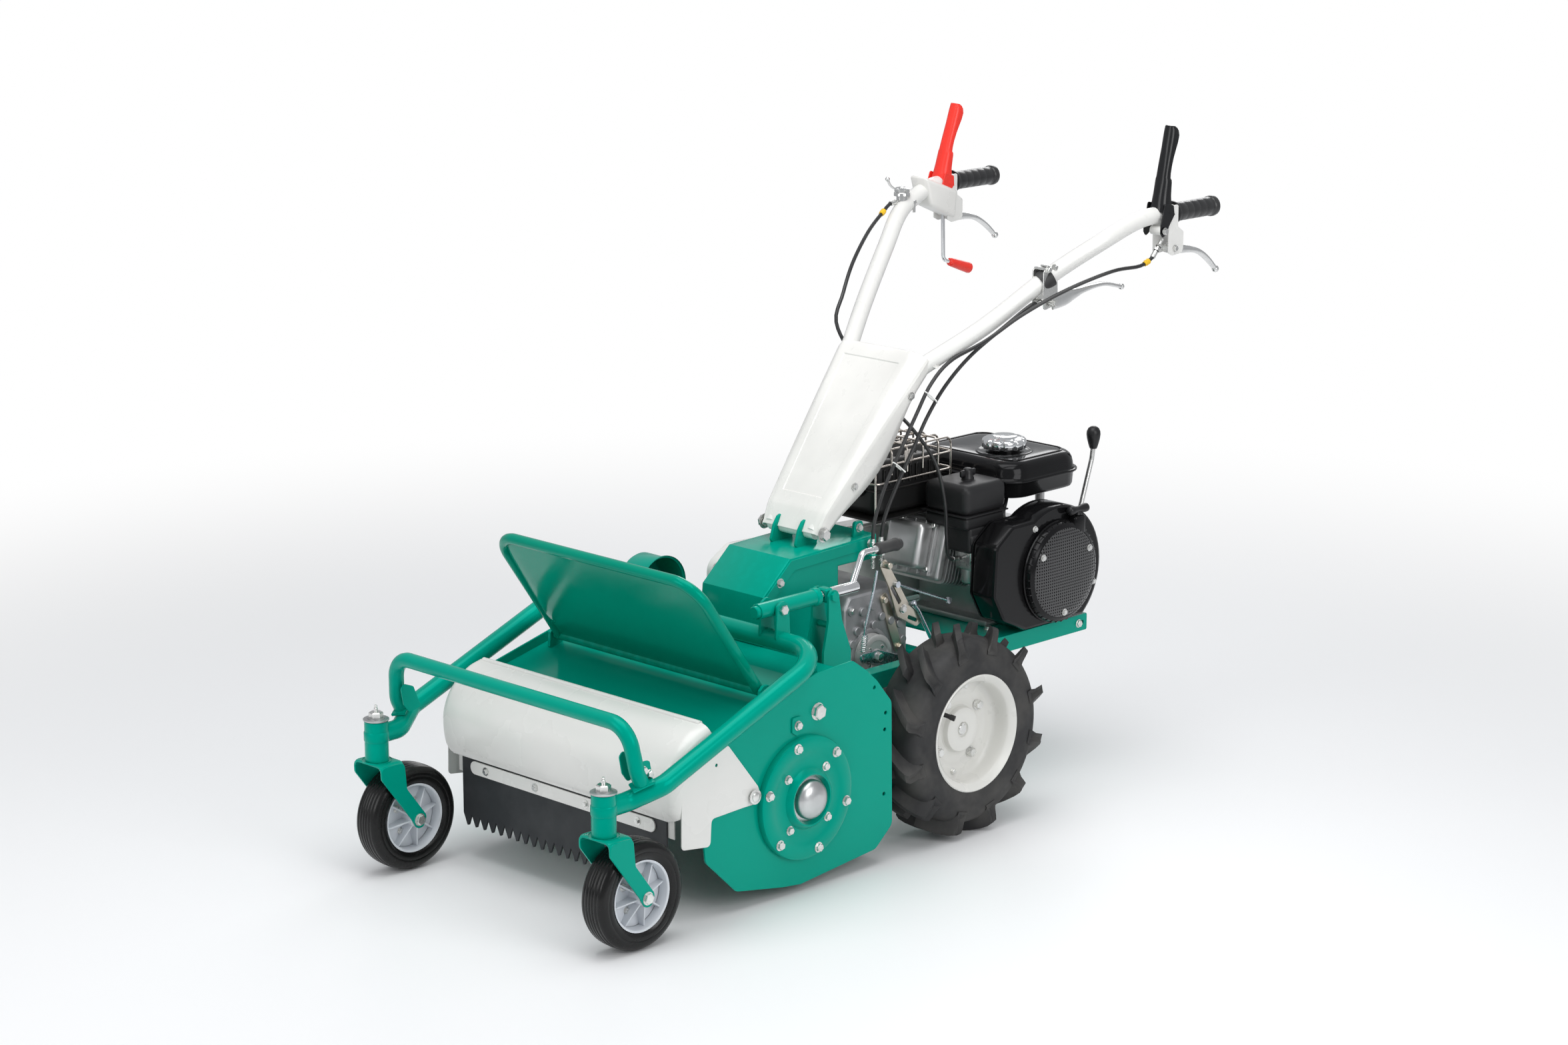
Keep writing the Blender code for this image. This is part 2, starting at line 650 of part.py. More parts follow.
hinge = (COVER_X, 0, COVER_Z)
finish(front_cover(), "front_cover", WHITE, hinge)
finish(rubber_skirt(), "rubber_skirt", RUBBER, hinge)
finish(skirt_strip(), "skirt_strip", WHITE, hinge)
finish(flap(), "flap", GREEN, (FLAP_X, 0, FLAP_Z))


# Front frame on the deck's pivot, the guard bar and the casters

def slope_z(x):
    return CROSS_Z - FRAME_SLOPE * (x - CROSS_X)


def front_frame():
    half = [(KING_X, KING_Y, ARM_Z), (0.838, KING_Y + 0.0005, ARM_Z + 0.001), (0.785, FRAME_Y, slope_z(0.785)),
            (CROSS_X, FRAME_Y, CROSS_Z)]
    path = half + [(x, -y, z) for x, y, z in reversed(half)]
    bend = rounded(path[:4], 0.030, 2)[:-1]
    run = rounded([bend[-1], path[3], path[4], (bend[-1].x, -bend[-1].y, bend[-1].z)], 0.075, 4)
    run = bend[:-1] + run + [Vector((p.x, -p.y, p.z)) for p in reversed(bend[:-1])]
    pieces = [tube(run, TUBE_R, 1)]
    bores = []
    for side in (1, -1):
        king = Vector((KING_X, side * KING_Y, 0))
        pieces.append(rod(king + Vector((0, 0, KING_LOW)), king + Vector((0, 0, KING_TOP)), KING_R, sides=14))
        bores.append(rod(king + Vector((0, 0, KING_LOW - 0.01)), king + Vector((0, 0, KING_TOP + 0.01)),
                         KINGPIN_R + PLAY, sides=12))
        lug = [(CROSS_X - 0.016, CROSS_Z - 0.004), (CROSS_X + 0.020, CROSS_Z - 0.004), (TILT_X + 0.020, TILT_Z + 0.006),
               (TILT_X + 0.014, TILT_Z - 0.013), (TILT_X, TILT_Z - 0.018), (TILT_X - 0.014, TILT_Z - 0.013),
               (TILT_X - 0.020, TILT_Z + 0.006)]
        low, high = side * (LUG_Y - LUG_HALF), side * (LUG_Y + LUG_HALF)
        pieces.append(plate(flat(lug, 0.010, 1), low, high, holes=[circle(TILT_X, TILT_Z, PIVOT_R + PLAY)]))
    ear = [(EAR_X - 0.018, CROSS_Z), (EAR_X + 0.018, CROSS_Z), (EAR_X + 0.014, SCREW_Z + 0.008),
           (EAR_X, SCREW_Z + 0.016), (EAR_X - 0.014, SCREW_Z + 0.008)]
    for side in (1, -1):
        pieces.append(plate(flat(ear, 0.008, 1), SCREW_Y + side * EAR_GAP, SCREW_Y + side * (EAR_GAP + EAR_T)))
    reach = EAR_GAP + EAR_T
    pieces.append(rod((EAR_X, SCREW_Y - reach - 0.006, SCREW_Z), (EAR_X, SCREW_Y + reach + 0.001, SCREW_Z), 0.005))
    pieces.append(bolt((EAR_X, SCREW_Y + reach, SCREW_Z), (0, 1, 0), 0.009, 0.006))
    return combine(pieces, bores)


def guard_bar():
    low = Vector((0.838, KING_Y + 0.0005, ARM_Z + 0.001))
    high = Vector((0.785, FRAME_Y, slope_z(0.785)))
    along = (high - low).normalized()
    out = Vector((0, 1, 0))
    lift = along.cross(out).normalized()
    lift = lift if lift.z > 0 else -lift
    across = lift.cross(along).normalized()
    seat = low.lerp(high, 0.5) + lift * (TUBE_R + CLEAR)
    frame = Matrix((along, across, lift)).transposed().to_4x4()
    pad_t = 0.004
    pad = box((-0.019, -0.015, 0), (0.019, 0.015, pad_t))
    pad.data.transform(Matrix.Translation(seat) @ frame)
    base = seat + lift * (pad_t * 0.5)
    knee = Vector((BAR_X, base.y - 0.012, BAR_Z))
    half = [base, base + lift * 0.020 + Vector((0.002, 0, 0)), knee]
    half_pieces = [pad]
    run = half + [Vector((p.x, -p.y, p.z)) for p in reversed(half)]
    pieces = [tube(rounded(run, 0.045, 3), BAR_R, 1)]
    cut = box((-0.04, -0.04, -0.04), (0.04, 0.04, 0))
    cut.data.transform(Matrix.Translation(seat) @ frame)
    return combine([*pieces, *half_pieces, *[mirrored(p) for p in half_pieces]], [cut, mirrored(cut)])


def fork(side):
    y = side * KING_Y
    crown = KING_LOW - CLEAR
    inner = 0.0345
    half = inner + STRAP_T / 2
    pieces = [box((KING_X - 0.029, y - half, crown - 0.006), (KING_X + 0.021, y + half, crown))]
    top = crown - 0.0006
    strap = [(KING_X - 0.030, top), (KING_X + 0.022, top), (KING_X + 0.020, crown - 0.022),
             (CASTER_X + 0.017, CASTER_R + 0.004), (CASTER_X + 0.006, CASTER_R - 0.017),
             (CASTER_X - 0.010, CASTER_R - 0.015), (CASTER_X - 0.017, CASTER_R + 0.004), (KING_X - 0.034, crown - 0.050)]
    for s in (1, -1):
        pieces.append(plate(flat(strap, 0.010, 1), y + s * inner, y + s * (inner + STRAP_T)))
    reach = inner + STRAP_T
    pieces.append(rod((CASTER_X, y - reach, CASTER_R), (CASTER_X, y + reach, CASTER_R), 0.006))
    pieces += [bolt((CASTER_X, y + s * reach, CASTER_R), (0, s, 0), 0.010, 0.0055) for s in (1, -1)]
    pieces.append(rod((KING_X, y, crown - 0.002), (KING_X, y, KING_TOP + 0.010), KINGPIN_R))
    washer = KING_TOP + CLEAR
    pieces.append(rod((KING_X, y, washer), (KING_X, y, washer + 0.003), 0.023, sides=12))
    pieces.append(bolt((KING_X, y, washer + 0.003), (0, 0, 1), 0.0155, 0.012))
    return combine(pieces)


def caster_rim(side):
    hub = 0.0340
    wide = CASTER_HALF - CASTER_SINK
    profile = [(0.003, hub), (0.014, hub), (0.016, 0.006), (CASTER_RIM - 0.010, 0.004),
               (CASTER_RIM - 0.005, wide), (CASTER_RIM + CASTER_LIP, wide), (CASTER_RIM, wide - 2 * CASTER_LIP)]
    ring = profile + [(r, -h) for r, h in reversed(profile)]
    pieces = [turned(ring, (0, 0, 0), "Y", 12)]
    for i in range(2):
        rib = box((-CASTER_RIM + 0.008, -wide + 0.003, -0.0018), (CASTER_RIM - 0.008, wide - 0.003, 0.0018))
        pieces.append(move(rib, Matrix.Rotation(math.pi * (i + 0.5) / 2, 4, "Y")))
    bore = rod((0, -0.05, 0), (0, 0.05, 0), 0.006 + PLAY, sides=12)
    body = combine(pieces, [bore])
    return move(body, Matrix.Translation((CASTER_X, side * KING_Y, CASTER_R)))


def caster_tyre(side):
    seat = CASTER_RIM + CLEAR
    wide = CASTER_HALF
    half = [(CASTER_R, 0.007), (CASTER_R - 0.003, 0.009), (CASTER_R - 0.002, 0.011), (CASTER_R - 0.006, 0.021),
            (CASTER_R - 0.018, wide), (CASTER_RIM + CASTER_LIP + 2 * CLEAR, wide - CASTER_SINK + CLEAR),
            (seat, wide - CASTER_SINK - 2 * CASTER_LIP - 2 * CLEAR)]
    profile = half + [(r, -h) for r, h in reversed(half)]
    return turned(profile, (CASTER_X, side * KING_Y, CASTER_R), "Y", 12)


def jack_tube():
    bore = SCREW_R + 0.0028
    rear, front = JACK_REAR, JACK_FRONT
    profile = [(JACK_R, front), (JACK_R, rear + 0.010), (JACK_R + 0.0022, rear + 0.009), (JACK_R + 0.0022, rear),
               (bore, rear), (bore, front)]
    body = turned(profile, (0, SCREW_Y, SCREW_Z), "X", 14)
    hole = rod((EAR_X, SCREW_Y - 0.03, SCREW_Z), (EAR_X, SCREW_Y + 0.03, SCREW_Z), 0.005 + PLAY)
    return combine([body], [hole])


CRANK_END = 0.2026
CRANK_UP = 0.058          # from the screw's axis to the handle's


def adjuster_crank():
    seat = TRUNNION_X - 0.009 - CLEAR
    pieces = [rod((CRANK_END, SCREW_Y, SCREW_Z), (EAR_X - 0.020, SCREW_Y, SCREW_Z), SCREW_R)]
    pieces.append(rod((CRANK_END, SCREW_Y, SCREW_Z), (seat, SCREW_Y, SCREW_Z), 0.011))
    handle = SCREW_Z + CRANK_UP
    run = rounded([(0.214, SCREW_Y, SCREW_Z), (0.186, SCREW_Y, handle), (0.151, SCREW_Y, handle)], 0.012, 4)
    pieces.append(tube(run, 0.0055, 1))
    pieces.append(rod((0.160, SCREW_Y, handle), (0.1495, SCREW_Y, handle), 0.0075))
    grip = [(0, 0.1500), (0.0090, 0.1492), (0.0115, 0.144), (0.0105, 0.120), (0.0120, 0.098), (0.0090, 0.088), (0, 0.088)]
    pieces.append(turned(grip, (0, SCREW_Y, handle), "X", 12))
    return combine(pieces)


frame_pivot = (TILT_X, 0, TILT_Z)
finish(front_frame(), "front_frame", GREEN, frame_pivot)
finish(guard_bar(), "guard_bar", GREEN, frame_pivot)
for side, word in ((1, "left"), (-1, "right")):
    finish(fork(side), "fork_" + word, GREEN, (KING_X, side * KING_Y, KING_TOP))
    axle = (CASTER_X, side * KING_Y, CASTER_R)
    finish(caster_rim(side), "caster_rim_" + word, GREY, axle)
    finish(caster_tyre(side), "caster_tyre_" + word, TYRE, axle)
finish(jack_tube(), "adjuster_tube", GREEN, (EAR_X, SCREW_Y, SCREW_Z))
finish(adjuster_crank(), "adjuster_crank", CHROME, (TRUNNION_X, SCREW_Y, SCREW_Z))


# Gearbox with its brake and gear linkage, the frame under the engine, and the belt covers

BOSS_END = 0.125          # face of the axle bosses
DRUM_FACE = 0.1055
ARM_T = 0.004
PIN_R = 0.006
SLOT_X, SLOT_Z = -0.027, 0.380     # pivot of the slotted arm
SLOT_Y = 0.0965
LINK_PIN_R = 0.0035
LINK_X, LINK_Z = -0.009, 0.430     # pin between the slotted arm and its link


def gearbox():
    body = box((BOX_X0, -BOX_HALF, BOX_LOW), (BOX_X1, BOX_HALF, BOX_TOP), 0.012, 1)
    pieces = [body]
    pieces.append(box((BOX_X0 + 0.012, -BOX_HALF - 0.005, 0.255), (BOX_X1 - 0.012, BOX_HALF + 0.005, 0.267)))
    bores = []
    for side in (1, -1):
        start, end = Vector((0, side * (BOX_HALF - 0.006), WHEEL_R)), Vector((0, side * BOSS_END, WHEEL_R))
        pieces.append(rod(start, end, 0.036, 0.027, 16))
        bores.append(rod((0, side * BOX_HALF, WHEEL_R), (0, side * (BOSS_END + 0.01), WHEEL_R), SHAFT_R + PLAY, sides=16))
    drum = [(0, DRUM_FACE), (0.014, DRUM_FACE), (0.016, DRUM_FACE - 0.003), (DRUM_R - 0.006, DRUM_FACE - 0.003),
            (DRUM_R, DRUM_FACE - 0.007), (DRUM_R, BOX_HALF - 0.004), (0, BOX_HALF - 0.004)]
    pieces.append(turned(drum, (DRUM_X, 0, DRUM_Z), "Y", 18))
    pieces.append(rod((DRUM_X, DRUM_FACE - 0.004, DRUM_Z), (DRUM_X, DRUM_FACE + ARM_T + 0.002, DRUM_Z), PIN_R))
    pieces.append(bolt((DRUM_X, DRUM_FACE + ARM_T + 2 * CLEAR + 0.001, DRUM_Z), (0, 1, 0), 0.010, 0.005))
    pieces.append(rod((SLOT_X, BOX_HALF - 0.01, SLOT_Z), (SLOT_X, SLOT_Y + ARM_T + 0.002, SLOT_Z), PIN_R))
    pieces.append(bolt((SLOT_X, SLOT_Y + ARM_T + 2 * CLEAR + 0.001, SLOT_Z), (0, 1, 0), 0.010, 0.004))
    strap = [(0.022, 0.410), (0.004, 0.416), (-0.040, 0.302), (-0.022, 0.294)]
    pieces.append(plate(flat(strap, 0.006, 1), BOX_HALF - 0.002, BOX_HALF + 0.0035))
    return combine(pieces, bores)


ARM_Y = DRUM_FACE + CLEAR
HOOK_X, HOOK_Z = 0.087, 0.312      # eye of the brake arm


def brake_arm():
    outline = [(-0.034, 0.276), (-0.026, 0.274), (DRUM_X, DRUM_Z - 0.014), (HOOK_X + 0.006, HOOK_Z - 0.007),
               (HOOK_X + 0.007, HOOK_Z + 0.006), (DRUM_X, DRUM_Z + 0.013), (-0.030, 0.291), (-0.036, 0.286)]
    holes = [circle(DRUM_X, DRUM_Z, PIN_R + PLAY), circle(HOOK_X, HOOK_Z, 0.0028, 8), circle(-0.028, 0.283, 0.003, 8)]
    return plate(flat(outline, 0.005, 1), ARM_Y, ARM_Y + ARM_T, holes=holes)


SPRING_R = 0.0060
SPRING_WIRE = 0.0010
SPRING_CURLS = 7
SPRING_STEPS = 8          # points in each curl
SPRING_PITCH = 0.0043


def spring_points():
    """Centre line: a hook through the arm's eye, the curls, and the hook of the rod."""
    y = ARM_Y + ARM_T / 2
    eye = Vector((HOOK_X, y, HOOK_Z))
    top = Vector((0.0808, y, 0.366))
    along = (top - eye).normalized()
    out = Vector((0, 1, 0))
    side = out.cross(along)
    start = eye + along * 0.0115
    count = SPRING_CURLS * SPRING_STEPS
    coil = []
    for i in range(count + 1):
        turn = math.tau * i / SPRING_STEPS
        round_axis = out * math.cos(turn) + side * math.sin(turn)
        coil.append(start + along * (SPRING_PITCH * i / SPRING_STEPS) + round_axis * SPRING_R)
    end = start + along * SPRING_PITCH * SPRING_CURLS
    low_hook = [eye - out * 0.0042 + along * 0.001, eye - out * 0.0010 - along * 0.0003,
                eye + out * 0.0042 + along * 0.0020, eye + out * SPRING_R + along * 0.0065]
    high_hook = [end + along * 0.004 + out * 0.0052, end + along * 0.0085 + out * 0.0020, end + along * 0.0120]
    return low_hook + coil + high_hook, top


def return_spring():
    points, _ = spring_points()
    gap = min((a - b).length for i, a in enumerate(points) for b in points[i + 6:]) - 2 * SPRING_WIRE
    print(f"return_spring: least gap to itself {gap * 1000:.2f} mm")
    return tube(points, SPRING_WIRE, 1)


def brake_rod():
    points, _ = spring_points()
    low = points[-1] + Vector((0, 0, CLEAR * 2))
    along = (points[-1] - points[-4]).normalized()
    run = [low + along * 0.0006, low + Vector((-0.004, 0, 0.018)), Vector((0.060, low.y, 0.430)), Vector((0.051, low.y, 0.468))]
    eye = rod(run[0], run[0] + (run[1] - run[0]) * 0.5, 0.0045, sides=8)
    return combine([tube(run, 0.0028, 1), eye])


def slot_arm():
    outline = [(0.020, 0.484), (0.036, 0.474), (0.010, 0.426), (-0.012, 0.368), (-0.064, 0.340), (-0.080, 0.348),
               (-0.074, 0.360), (-0.046, 0.382), (-0.022, 0.420)]
    slot = flat([(0.016, 0.470), (0.024, 0.466), (0.010, 0.440), (0.002, 0.444)], 0.003, 1)
    holes = [circle(SLOT_X, SLOT_Z, PIN_R + PLAY), slot, circle(LINK_X, LINK_Z, LINK_PIN_R + PLAY)]
    return plate(flat(outline, 0.007, 1), SLOT_Y, SLOT_Y + ARM_T, holes=holes)


def link_rod():
    low = SLOT_Y + ARM_T + CLEAR
    bar = [(-0.001, 0.436), (-0.004, 0.422), (-0.150, 0.366), (-0.158, 0.380)]
    pieces = [plate(flat(bar, 0.006, 1), low, low + ARM_T)]
    pin = [Vector((LINK_X, y, LINK_Z)) for y in (SLOT_Y - 0.003, low + 0.002, low + ARM_T + 0.004)]
    pieces.append(rod(pin[0], pin[1], LINK_PIN_R, sides=8))
    pieces.append(rod(pin[1], pin[2], 0.0060, sides=8))
    return combine(pieces)


RAIL_OUT = RAIL_Y + 0.015
RAIL_IN = RAIL_Y - 0.015
RAIL_LOW = RAIL_Z - 0.032
RAIL_REAR = -0.470
LEVER_X, LEVER_Z = -0.4575, 0.312  # pivot of the shift lever
LEVER_Y = 0.100


def rear_frame():
    front = SHELL_LINE[0][0] - CLEAR
    pieces = []
    for side in (1, -1):
        outer, inner = side * RAIL_OUT, side * RAIL_IN
        low, high = sorted((outer, inner))
        pieces.append(box((RAIL_REAR, low, RAIL_LOW), (front, high, RAIL_Z)))
    pieces.append(box((RAIL_REAR + 0.004, -RAIL_Y, RAIL_Z - 0.006), (-0.170, RAIL_Y, RAIL_Z - 0.0005)))
    pieces.append(box((BOX_X0 - 0.035, -RAIL_Y, RAIL_LOW + 0.002), (BOX_X0 - CLEAR, RAIL_Y, RAIL_Z - 0.007)))
    for s in (1, -1):
        ear = flat([(LEVER_X - 0.014, RAIL_Z - 0.004), (LEVER_X + 0.014, RAIL_Z - 0.004), (LEVER_X + 0.010, LEVER_Z + 0.010),
                    (LEVER_X - 0.010, LEVER_Z + 0.010)], 0.006, 1)
        pieces.append(plate(ear, LEVER_Y + s * 0.0063, LEVER_Y + s * 0.0103))
    pieces.append(rod((LEVER_X, LEVER_Y - 0.012, LEVER_Z), (LEVER_X, LEVER_Y + 0.012, LEVER_Z), 0.004, sides=10))
    return combine(pieces)


def offset_line(line, distance):
    """The open line moved to its left by the distance."""
    moved = shell_section(line, -distance)
    return moved[len(line):][::-1]


FOOT_HALF = 0.031         # middle of the ears that carry the handlebar
FOOT_TUBE = 0.012


def belt_housing():
    rest = offset_line(SHELL_LINE[:5], CLEAR)
    outline = [(HOUSE_X0, 0.4826), (BOX_X1 + 0.006, 0.4826), (BOX_X1 + 0.006, 0.270), (rest[0][0], 0.270),
               *rest[1:], (0.3180, 0.382), (0.3100, 0.460), (0.2430, HOUSE_TOP - 0.007), (HOUSE_X0, HOUSE_TOP)]
    body = plate(outline, -HOUSE_HALF, HOUSE_HALF)
    pieces = [body]
    pieces.append(box((HOUSE_X0 + 0.012, -0.052, BOX_TOP + CLEAR), (BOX_X1 - 0.006, 0.052, 0.4850), 0.004))
    for side in (1, -1):
        ear = flat([(COLUMN_X - 0.022, HOUSE_TOP - 0.012), (COLUMN_X + 0.022, HOUSE_TOP - 0.012),
                    (COLUMN_X + 0.016, COLUMN_Z + 0.012), (COLUMN_X, COLUMN_Z + 0.018), (COLUMN_X - 0.016, COLUMN_Z + 0.012)],
                   0.008, 1)
        hole = [circle(COLUMN_X, COLUMN_Z, FOOT_TUBE + CLEAR, 12)]
        pieces.append(plate(ear, side * (FOOT_HALF - 0.003), side * (FOOT_HALF + 0.003), holes=hole))
    lug = flat([(0.036, HOUSE_TOP - 0.008), (0.066, HOUSE_TOP - 0.008), (0.061, 0.552), (0.041, 0.552)], 0.006, 2)
    pieces.append(plate(lug, 0.056, 0.062))
    for x in (0.030, 0.052):
        pieces.append(rod((x, 0.098, GLAND_Z - 0.012), (x, 0.098, GLAND_Z), 0.0055, sides=8))
    pieces.append(box((0.022, HOUSE_HALF - 0.003, GLAND_Z - 0.009), (0.060, 0.0975, GLAND_Z - 0.006)))
    return combine(pieces)


def side_cover():
    outline = [(-0.440, 0.345), (-0.440, 0.425), (-0.395, 0.463), (0.145, 0.486), (0.196, 0.455), (0.196, 0.365),
               (0.150, 0.326), (-0.400, 0.3115)]
    body = plate(flat(outline, 0.030, 1), -0.190, -0.124)
    body = soften(body, 0.008, 1, 60)
    pieces = [body, rod((CRANK_X, -0.186, 0.392), (CRANK_X, -0.194, 0.392), 0.040, 0.034, 14)]
    return combine(pieces)


def pulley_cover():
    rest = offset_line(SHELL_LINE[:6], CLEAR)
    pieces = [plate([rest[2], rest[3], rest[4], (0.3120, 0.420), (0.2560, 0.420)], -0.268, -0.212)]
    pieces.append(rod((0.285, -0.205, 0.425), (0.285, -0.272, 0.425), 0.052, sides=16))
    pieces.append(rod((0.285, -0.271, 0.425), (0.285, -0.277, 0.425), 0.040, 0.036, 14))
    return combine(pieces)


finish(gearbox(), "gearbox", CAST)
finish(brake_arm(), "brake_arm", ZINC, (DRUM_X, ARM_Y, DRUM_Z))
finish(return_spring(), "return_spring", STEEL, (DRUM_X, ARM_Y, DRUM_Z))
finish(brake_rod(), "brake_rod", ZINC, (DRUM_X, ARM_Y, DRUM_Z))
finish(slot_arm(), "slot_arm", ZINC, (SLOT_X, SLOT_Y, SLOT_Z))
finish(link_rod(), "link_rod", ZINC, (LINK_X, SLOT_Y, LINK_Z))
finish(rear_frame(), "rear_frame", GREEN)
finish(belt_housing(), "belt_housing", GREEN)
finish(side_cover(), "side_belt_cover", WHITE)
finish(pulley_cover(), "pulley_cover", GREEN)


# Engine: crankcase with the finned cylinder, fan housing, starter, tank, air cleaner, carburettor, exhaust

LEAN = math.radians(15)   # the cylinder's rise towards the front
FINS = 6
FIN_PITCH = 0.014
CASE_REAR, CASE_FRONT = -0.435, -0.285
CASE_TOP = 0.475


def engine_block():
    floor = RAIL_Z - 0.0005 + CLEAR
    pieces = [box((CASE_REAR, -0.105, floor), (CASE_FRONT, FAN_Y0 - CLEAR, CASE_TOP), 0.012, 1)]
    pieces.append(box((CASE_REAR - 0.006, -0.095, floor), (CASE_FRONT + 0.030, 0.100, floor + 0.012)))
    local = [box((0.060, -0.062, -0.046), (0.172, 0.052, 0.046))]
    for i in range(FINS):
        x = 0.095 + i * FIN_PITCH
        local.append(box((x, -0.084, -0.064), (x + 0.005, 0.058, 0.064)))
    local.append(box((0.168, -0.078, -0.058), (0.190, 0.056, 0.058)))
    local.append(box((0.188, -0.052, -0.046), (0.236, 0.042, 0.048), 0.012, 1))
    tilt = Matrix.Translation((CRANK_X, 0, CRANK_Z)) @ Matrix.Rotation(-LEAN, 4, "Y")
    pieces += [move(piece, tilt) for piece in local]
    for x in (-0.420, -0.310):
        for y in (-0.085, 0.085):
            pieces.append(rod((x, y, CASE_TOP - 0.010), (x, y, TANK_LOW - CLEAR), 0.009, sides=8))
    pipe_x, pipe_y = -0.160, -0.066
    pieces.append(tube([(pipe_x - 0.030, pipe_y, 0.470), (pipe_x - 0.010, pipe_y, MUFFLER_Z0 - 0.012),
                        (pipe_x - 0.010, pipe_y, MUFFLER_Z0 - CLEAR)], 0.014, 2))
    pieces.append(rod((-0.400, -0.090, 0.360), (-0.400, -0.124 + CLEAR, 0.360), 0.014, sides=6))
    return combine(pieces)


def blower_housing():
    arc = [math.radians(a) for a in range(232, 53, -20)]
    ring = [(CRANK_X + FAN_R * math.cos(a), CRANK_Z + FAN_R * math.sin(a)) for a in arc]
    low = RAIL_Z + 0.006
    outline = [(CRANK_X - 0.0776, low), *ring[1:], (-0.235, 0.512), (-0.190, 0.480), (-0.184, 0.385),
               (-0.212, 0.335), (-0.275, low)]
    body = plate(outline, FAN_Y0, FAN_Y1)
    body = soften(body, 0.008, 1, 60)
    cut = rod((CRANK_X, FAN_Y1 - 0.016, CRANK_Z), (CRANK_X, FAN_Y1 + 0.02, CRANK_Z), RECOIL_R - 0.014, sides=20)
    return combine([body], [cut])


def recoil_cover():
    profile = [(0, RECOIL_Y), (0.030, RECOIL_Y), (0.036, RECOIL_Y - 0.003), (RECOIL_R - 0.030, RECOIL_Y - 0.004),
               (RECOIL_R - 0.010, RECOIL_Y - 0.009), (RECOIL_R, RECOIL_Y - 0.016), (RECOIL_R, FAN_Y1 + CLEAR),
               (0, FAN_Y1 + CLEAR)]
    pieces = [turned(profile, (CRANK_X, 0, CRANK_Z), "Y", 20)]
    pieces.append(box((-0.420, FAN_Y1 + CLEAR, 0.470), (-0.390, RECOIL_Y - 0.004, 0.5085)))
    return combine(pieces)


def starter_grip():
    y, z = 0.193, 0.5185
    bar = turned([(0, 0.027), (0.006, 0.026), (0.0085, 0.018), (0.0075, 0), (0.0085, -0.018), (0.006, -0.026), (0, -0.027)],
                 (-0.405, y, z), "X", 10)
    return combine([bar, rod((-0.405, y, 0.5088), (-0.405, y, z), 0.0055, sides=10)])


def fuel_tank():
    rim_z = TANK_LOW + 0.034
    bm = bmesh.new()
    bmesh.ops.create_cube(bm, size=1.0)
    size = Vector((TANK_X1 - TANK_X0 - 0.016, 2 * TANK_HALF - 0.016, TANK_TOP - TANK_LOW))
    bmesh.ops.scale(bm, vec=size, verts=bm.verts)
    bmesh.ops.translate(bm, vec=((TANK_X0 + TANK_X1) / 2, 0, (TANK_LOW + TANK_TOP) / 2), verts=bm.verts)
    upright = [e for e in bm.edges if abs(e.verts[0].co.z - e.verts[1].co.z) > 0.01]
    bmesh.ops.bevel(bm, geom=upright, offset=0.045, segments=3, affect="EDGES", profile=0.5)
    level = [e for e in bm.edges if abs(e.verts[0].co.z - e.verts[1].co.z) < 1e-5]
    bmesh.ops.bevel(bm, geom=level, offset=0.018, segments=2, affect="EDGES", profile=0.5)
    tank = solid(bm)
    lip = flat([(TANK_X0, -TANK_HALF), (TANK_X1, -TANK_HALF), (TANK_X1, TANK_HALF), (TANK_X0, TANK_HALF)], 0.050, 3)
    pieces = [tank, plate(lip, rim_z - 0.0025, rim_z + 0.0025, "XY")]
    pieces.append(rod((CAP_X, CAP_Y, TANK_TOP - 0.006), (CAP_X, CAP_Y, TANK_TOP + 0.006), 0.030, sides=10))
    return combine(pieces)


def fuel_cap():
    low = TANK_TOP + 0.006 + CLEAR
    points = []
    for i in range(24):
        radius = CAP_R - (0.003 if i % 3 == 0 else 0.0)
        points.append((CAP_X + radius * math.cos(math.tau * i / 24), CAP_Y + radius * math.sin(math.tau * i / 24)))
    skirt = plate(points, low, low + 0.016, "XY")
    dome = turned([(0, low + 0.024), (0.018, low + 0.023), (CAP_R - 0.005, low + 0.015), (CAP_R - 0.005, low + 0.010),
                   (0, low + 0.010)], (CAP_X, CAP_Y, 0), "Z", 16)
    return combine([skirt, dome])


CLEANER_X0, CLEANER_X1 = -0.280, -0.178
CLEANER_TOP = 0.583


def air_cleaner():
    lower = box((CLEANER_X0 + 0.016, 0.0625, 0.470), (CLEANER_X1 - 0.010, 0.1185, 0.534), 0.006, 1)
    upper = box((CLEANER_X0, 0.022, 0.528), (CLEANER_X1, 0.1185, CLEANER_TOP), 0.014, 2)
    stud = rod((-0.227, 0.075, CLEANER_TOP - 0.002), (-0.227, 0.075, CLEANER_TOP + 0.005), 0.011, sides=12)
    return combine([lower, upper, stud])


def cleaner_knob():
    low = CLEANER_TOP + 0.005 + CLEAR
    hub = turned([(0, low + 0.020), (0.008, low + 0.018), (0.010, low), (0, low)], (-0.227, 0.075, 0), "Z", 12)
    wings = box((-0.248, 0.071, low + 0.003), (-0.206, 0.079, low + 0.015), 0.003, 1)
    return combine([hub, wings])


def carburettor():
    top = 0.470 - CLEAR
    pieces = [box((-0.252, 0.0640, 0.418), (-0.205, 0.1060, top), 0.005, 1)]
    pieces.append(turned([(0, 0.424), (0.020, 0.424), (0.020, 0.398), (0.015, 0.389), (0, 0.389)], (-0.227, 0.085, 0), "Z", 12))
    pieces.append(turned([(0, 0.430), (0.010, 0.430), (0.010, 0.400), (0.007, 0.394), (0, 0.394)], (-0.252, 0.096, 0), "Z", 10))
    pieces.append(rod((-0.227, 0.085, 0.386), (-0.227, 0.085, 0.392), 0.006, sides=6))
    pieces.append(box((-0.206, 0.078, 0.440), (-0.190, 0.090, 0.446)))
    pieces.append(box((-0.262, 0.066, 0.440), (-0.250, 0.100, 0.450)))
    return combine(pieces)


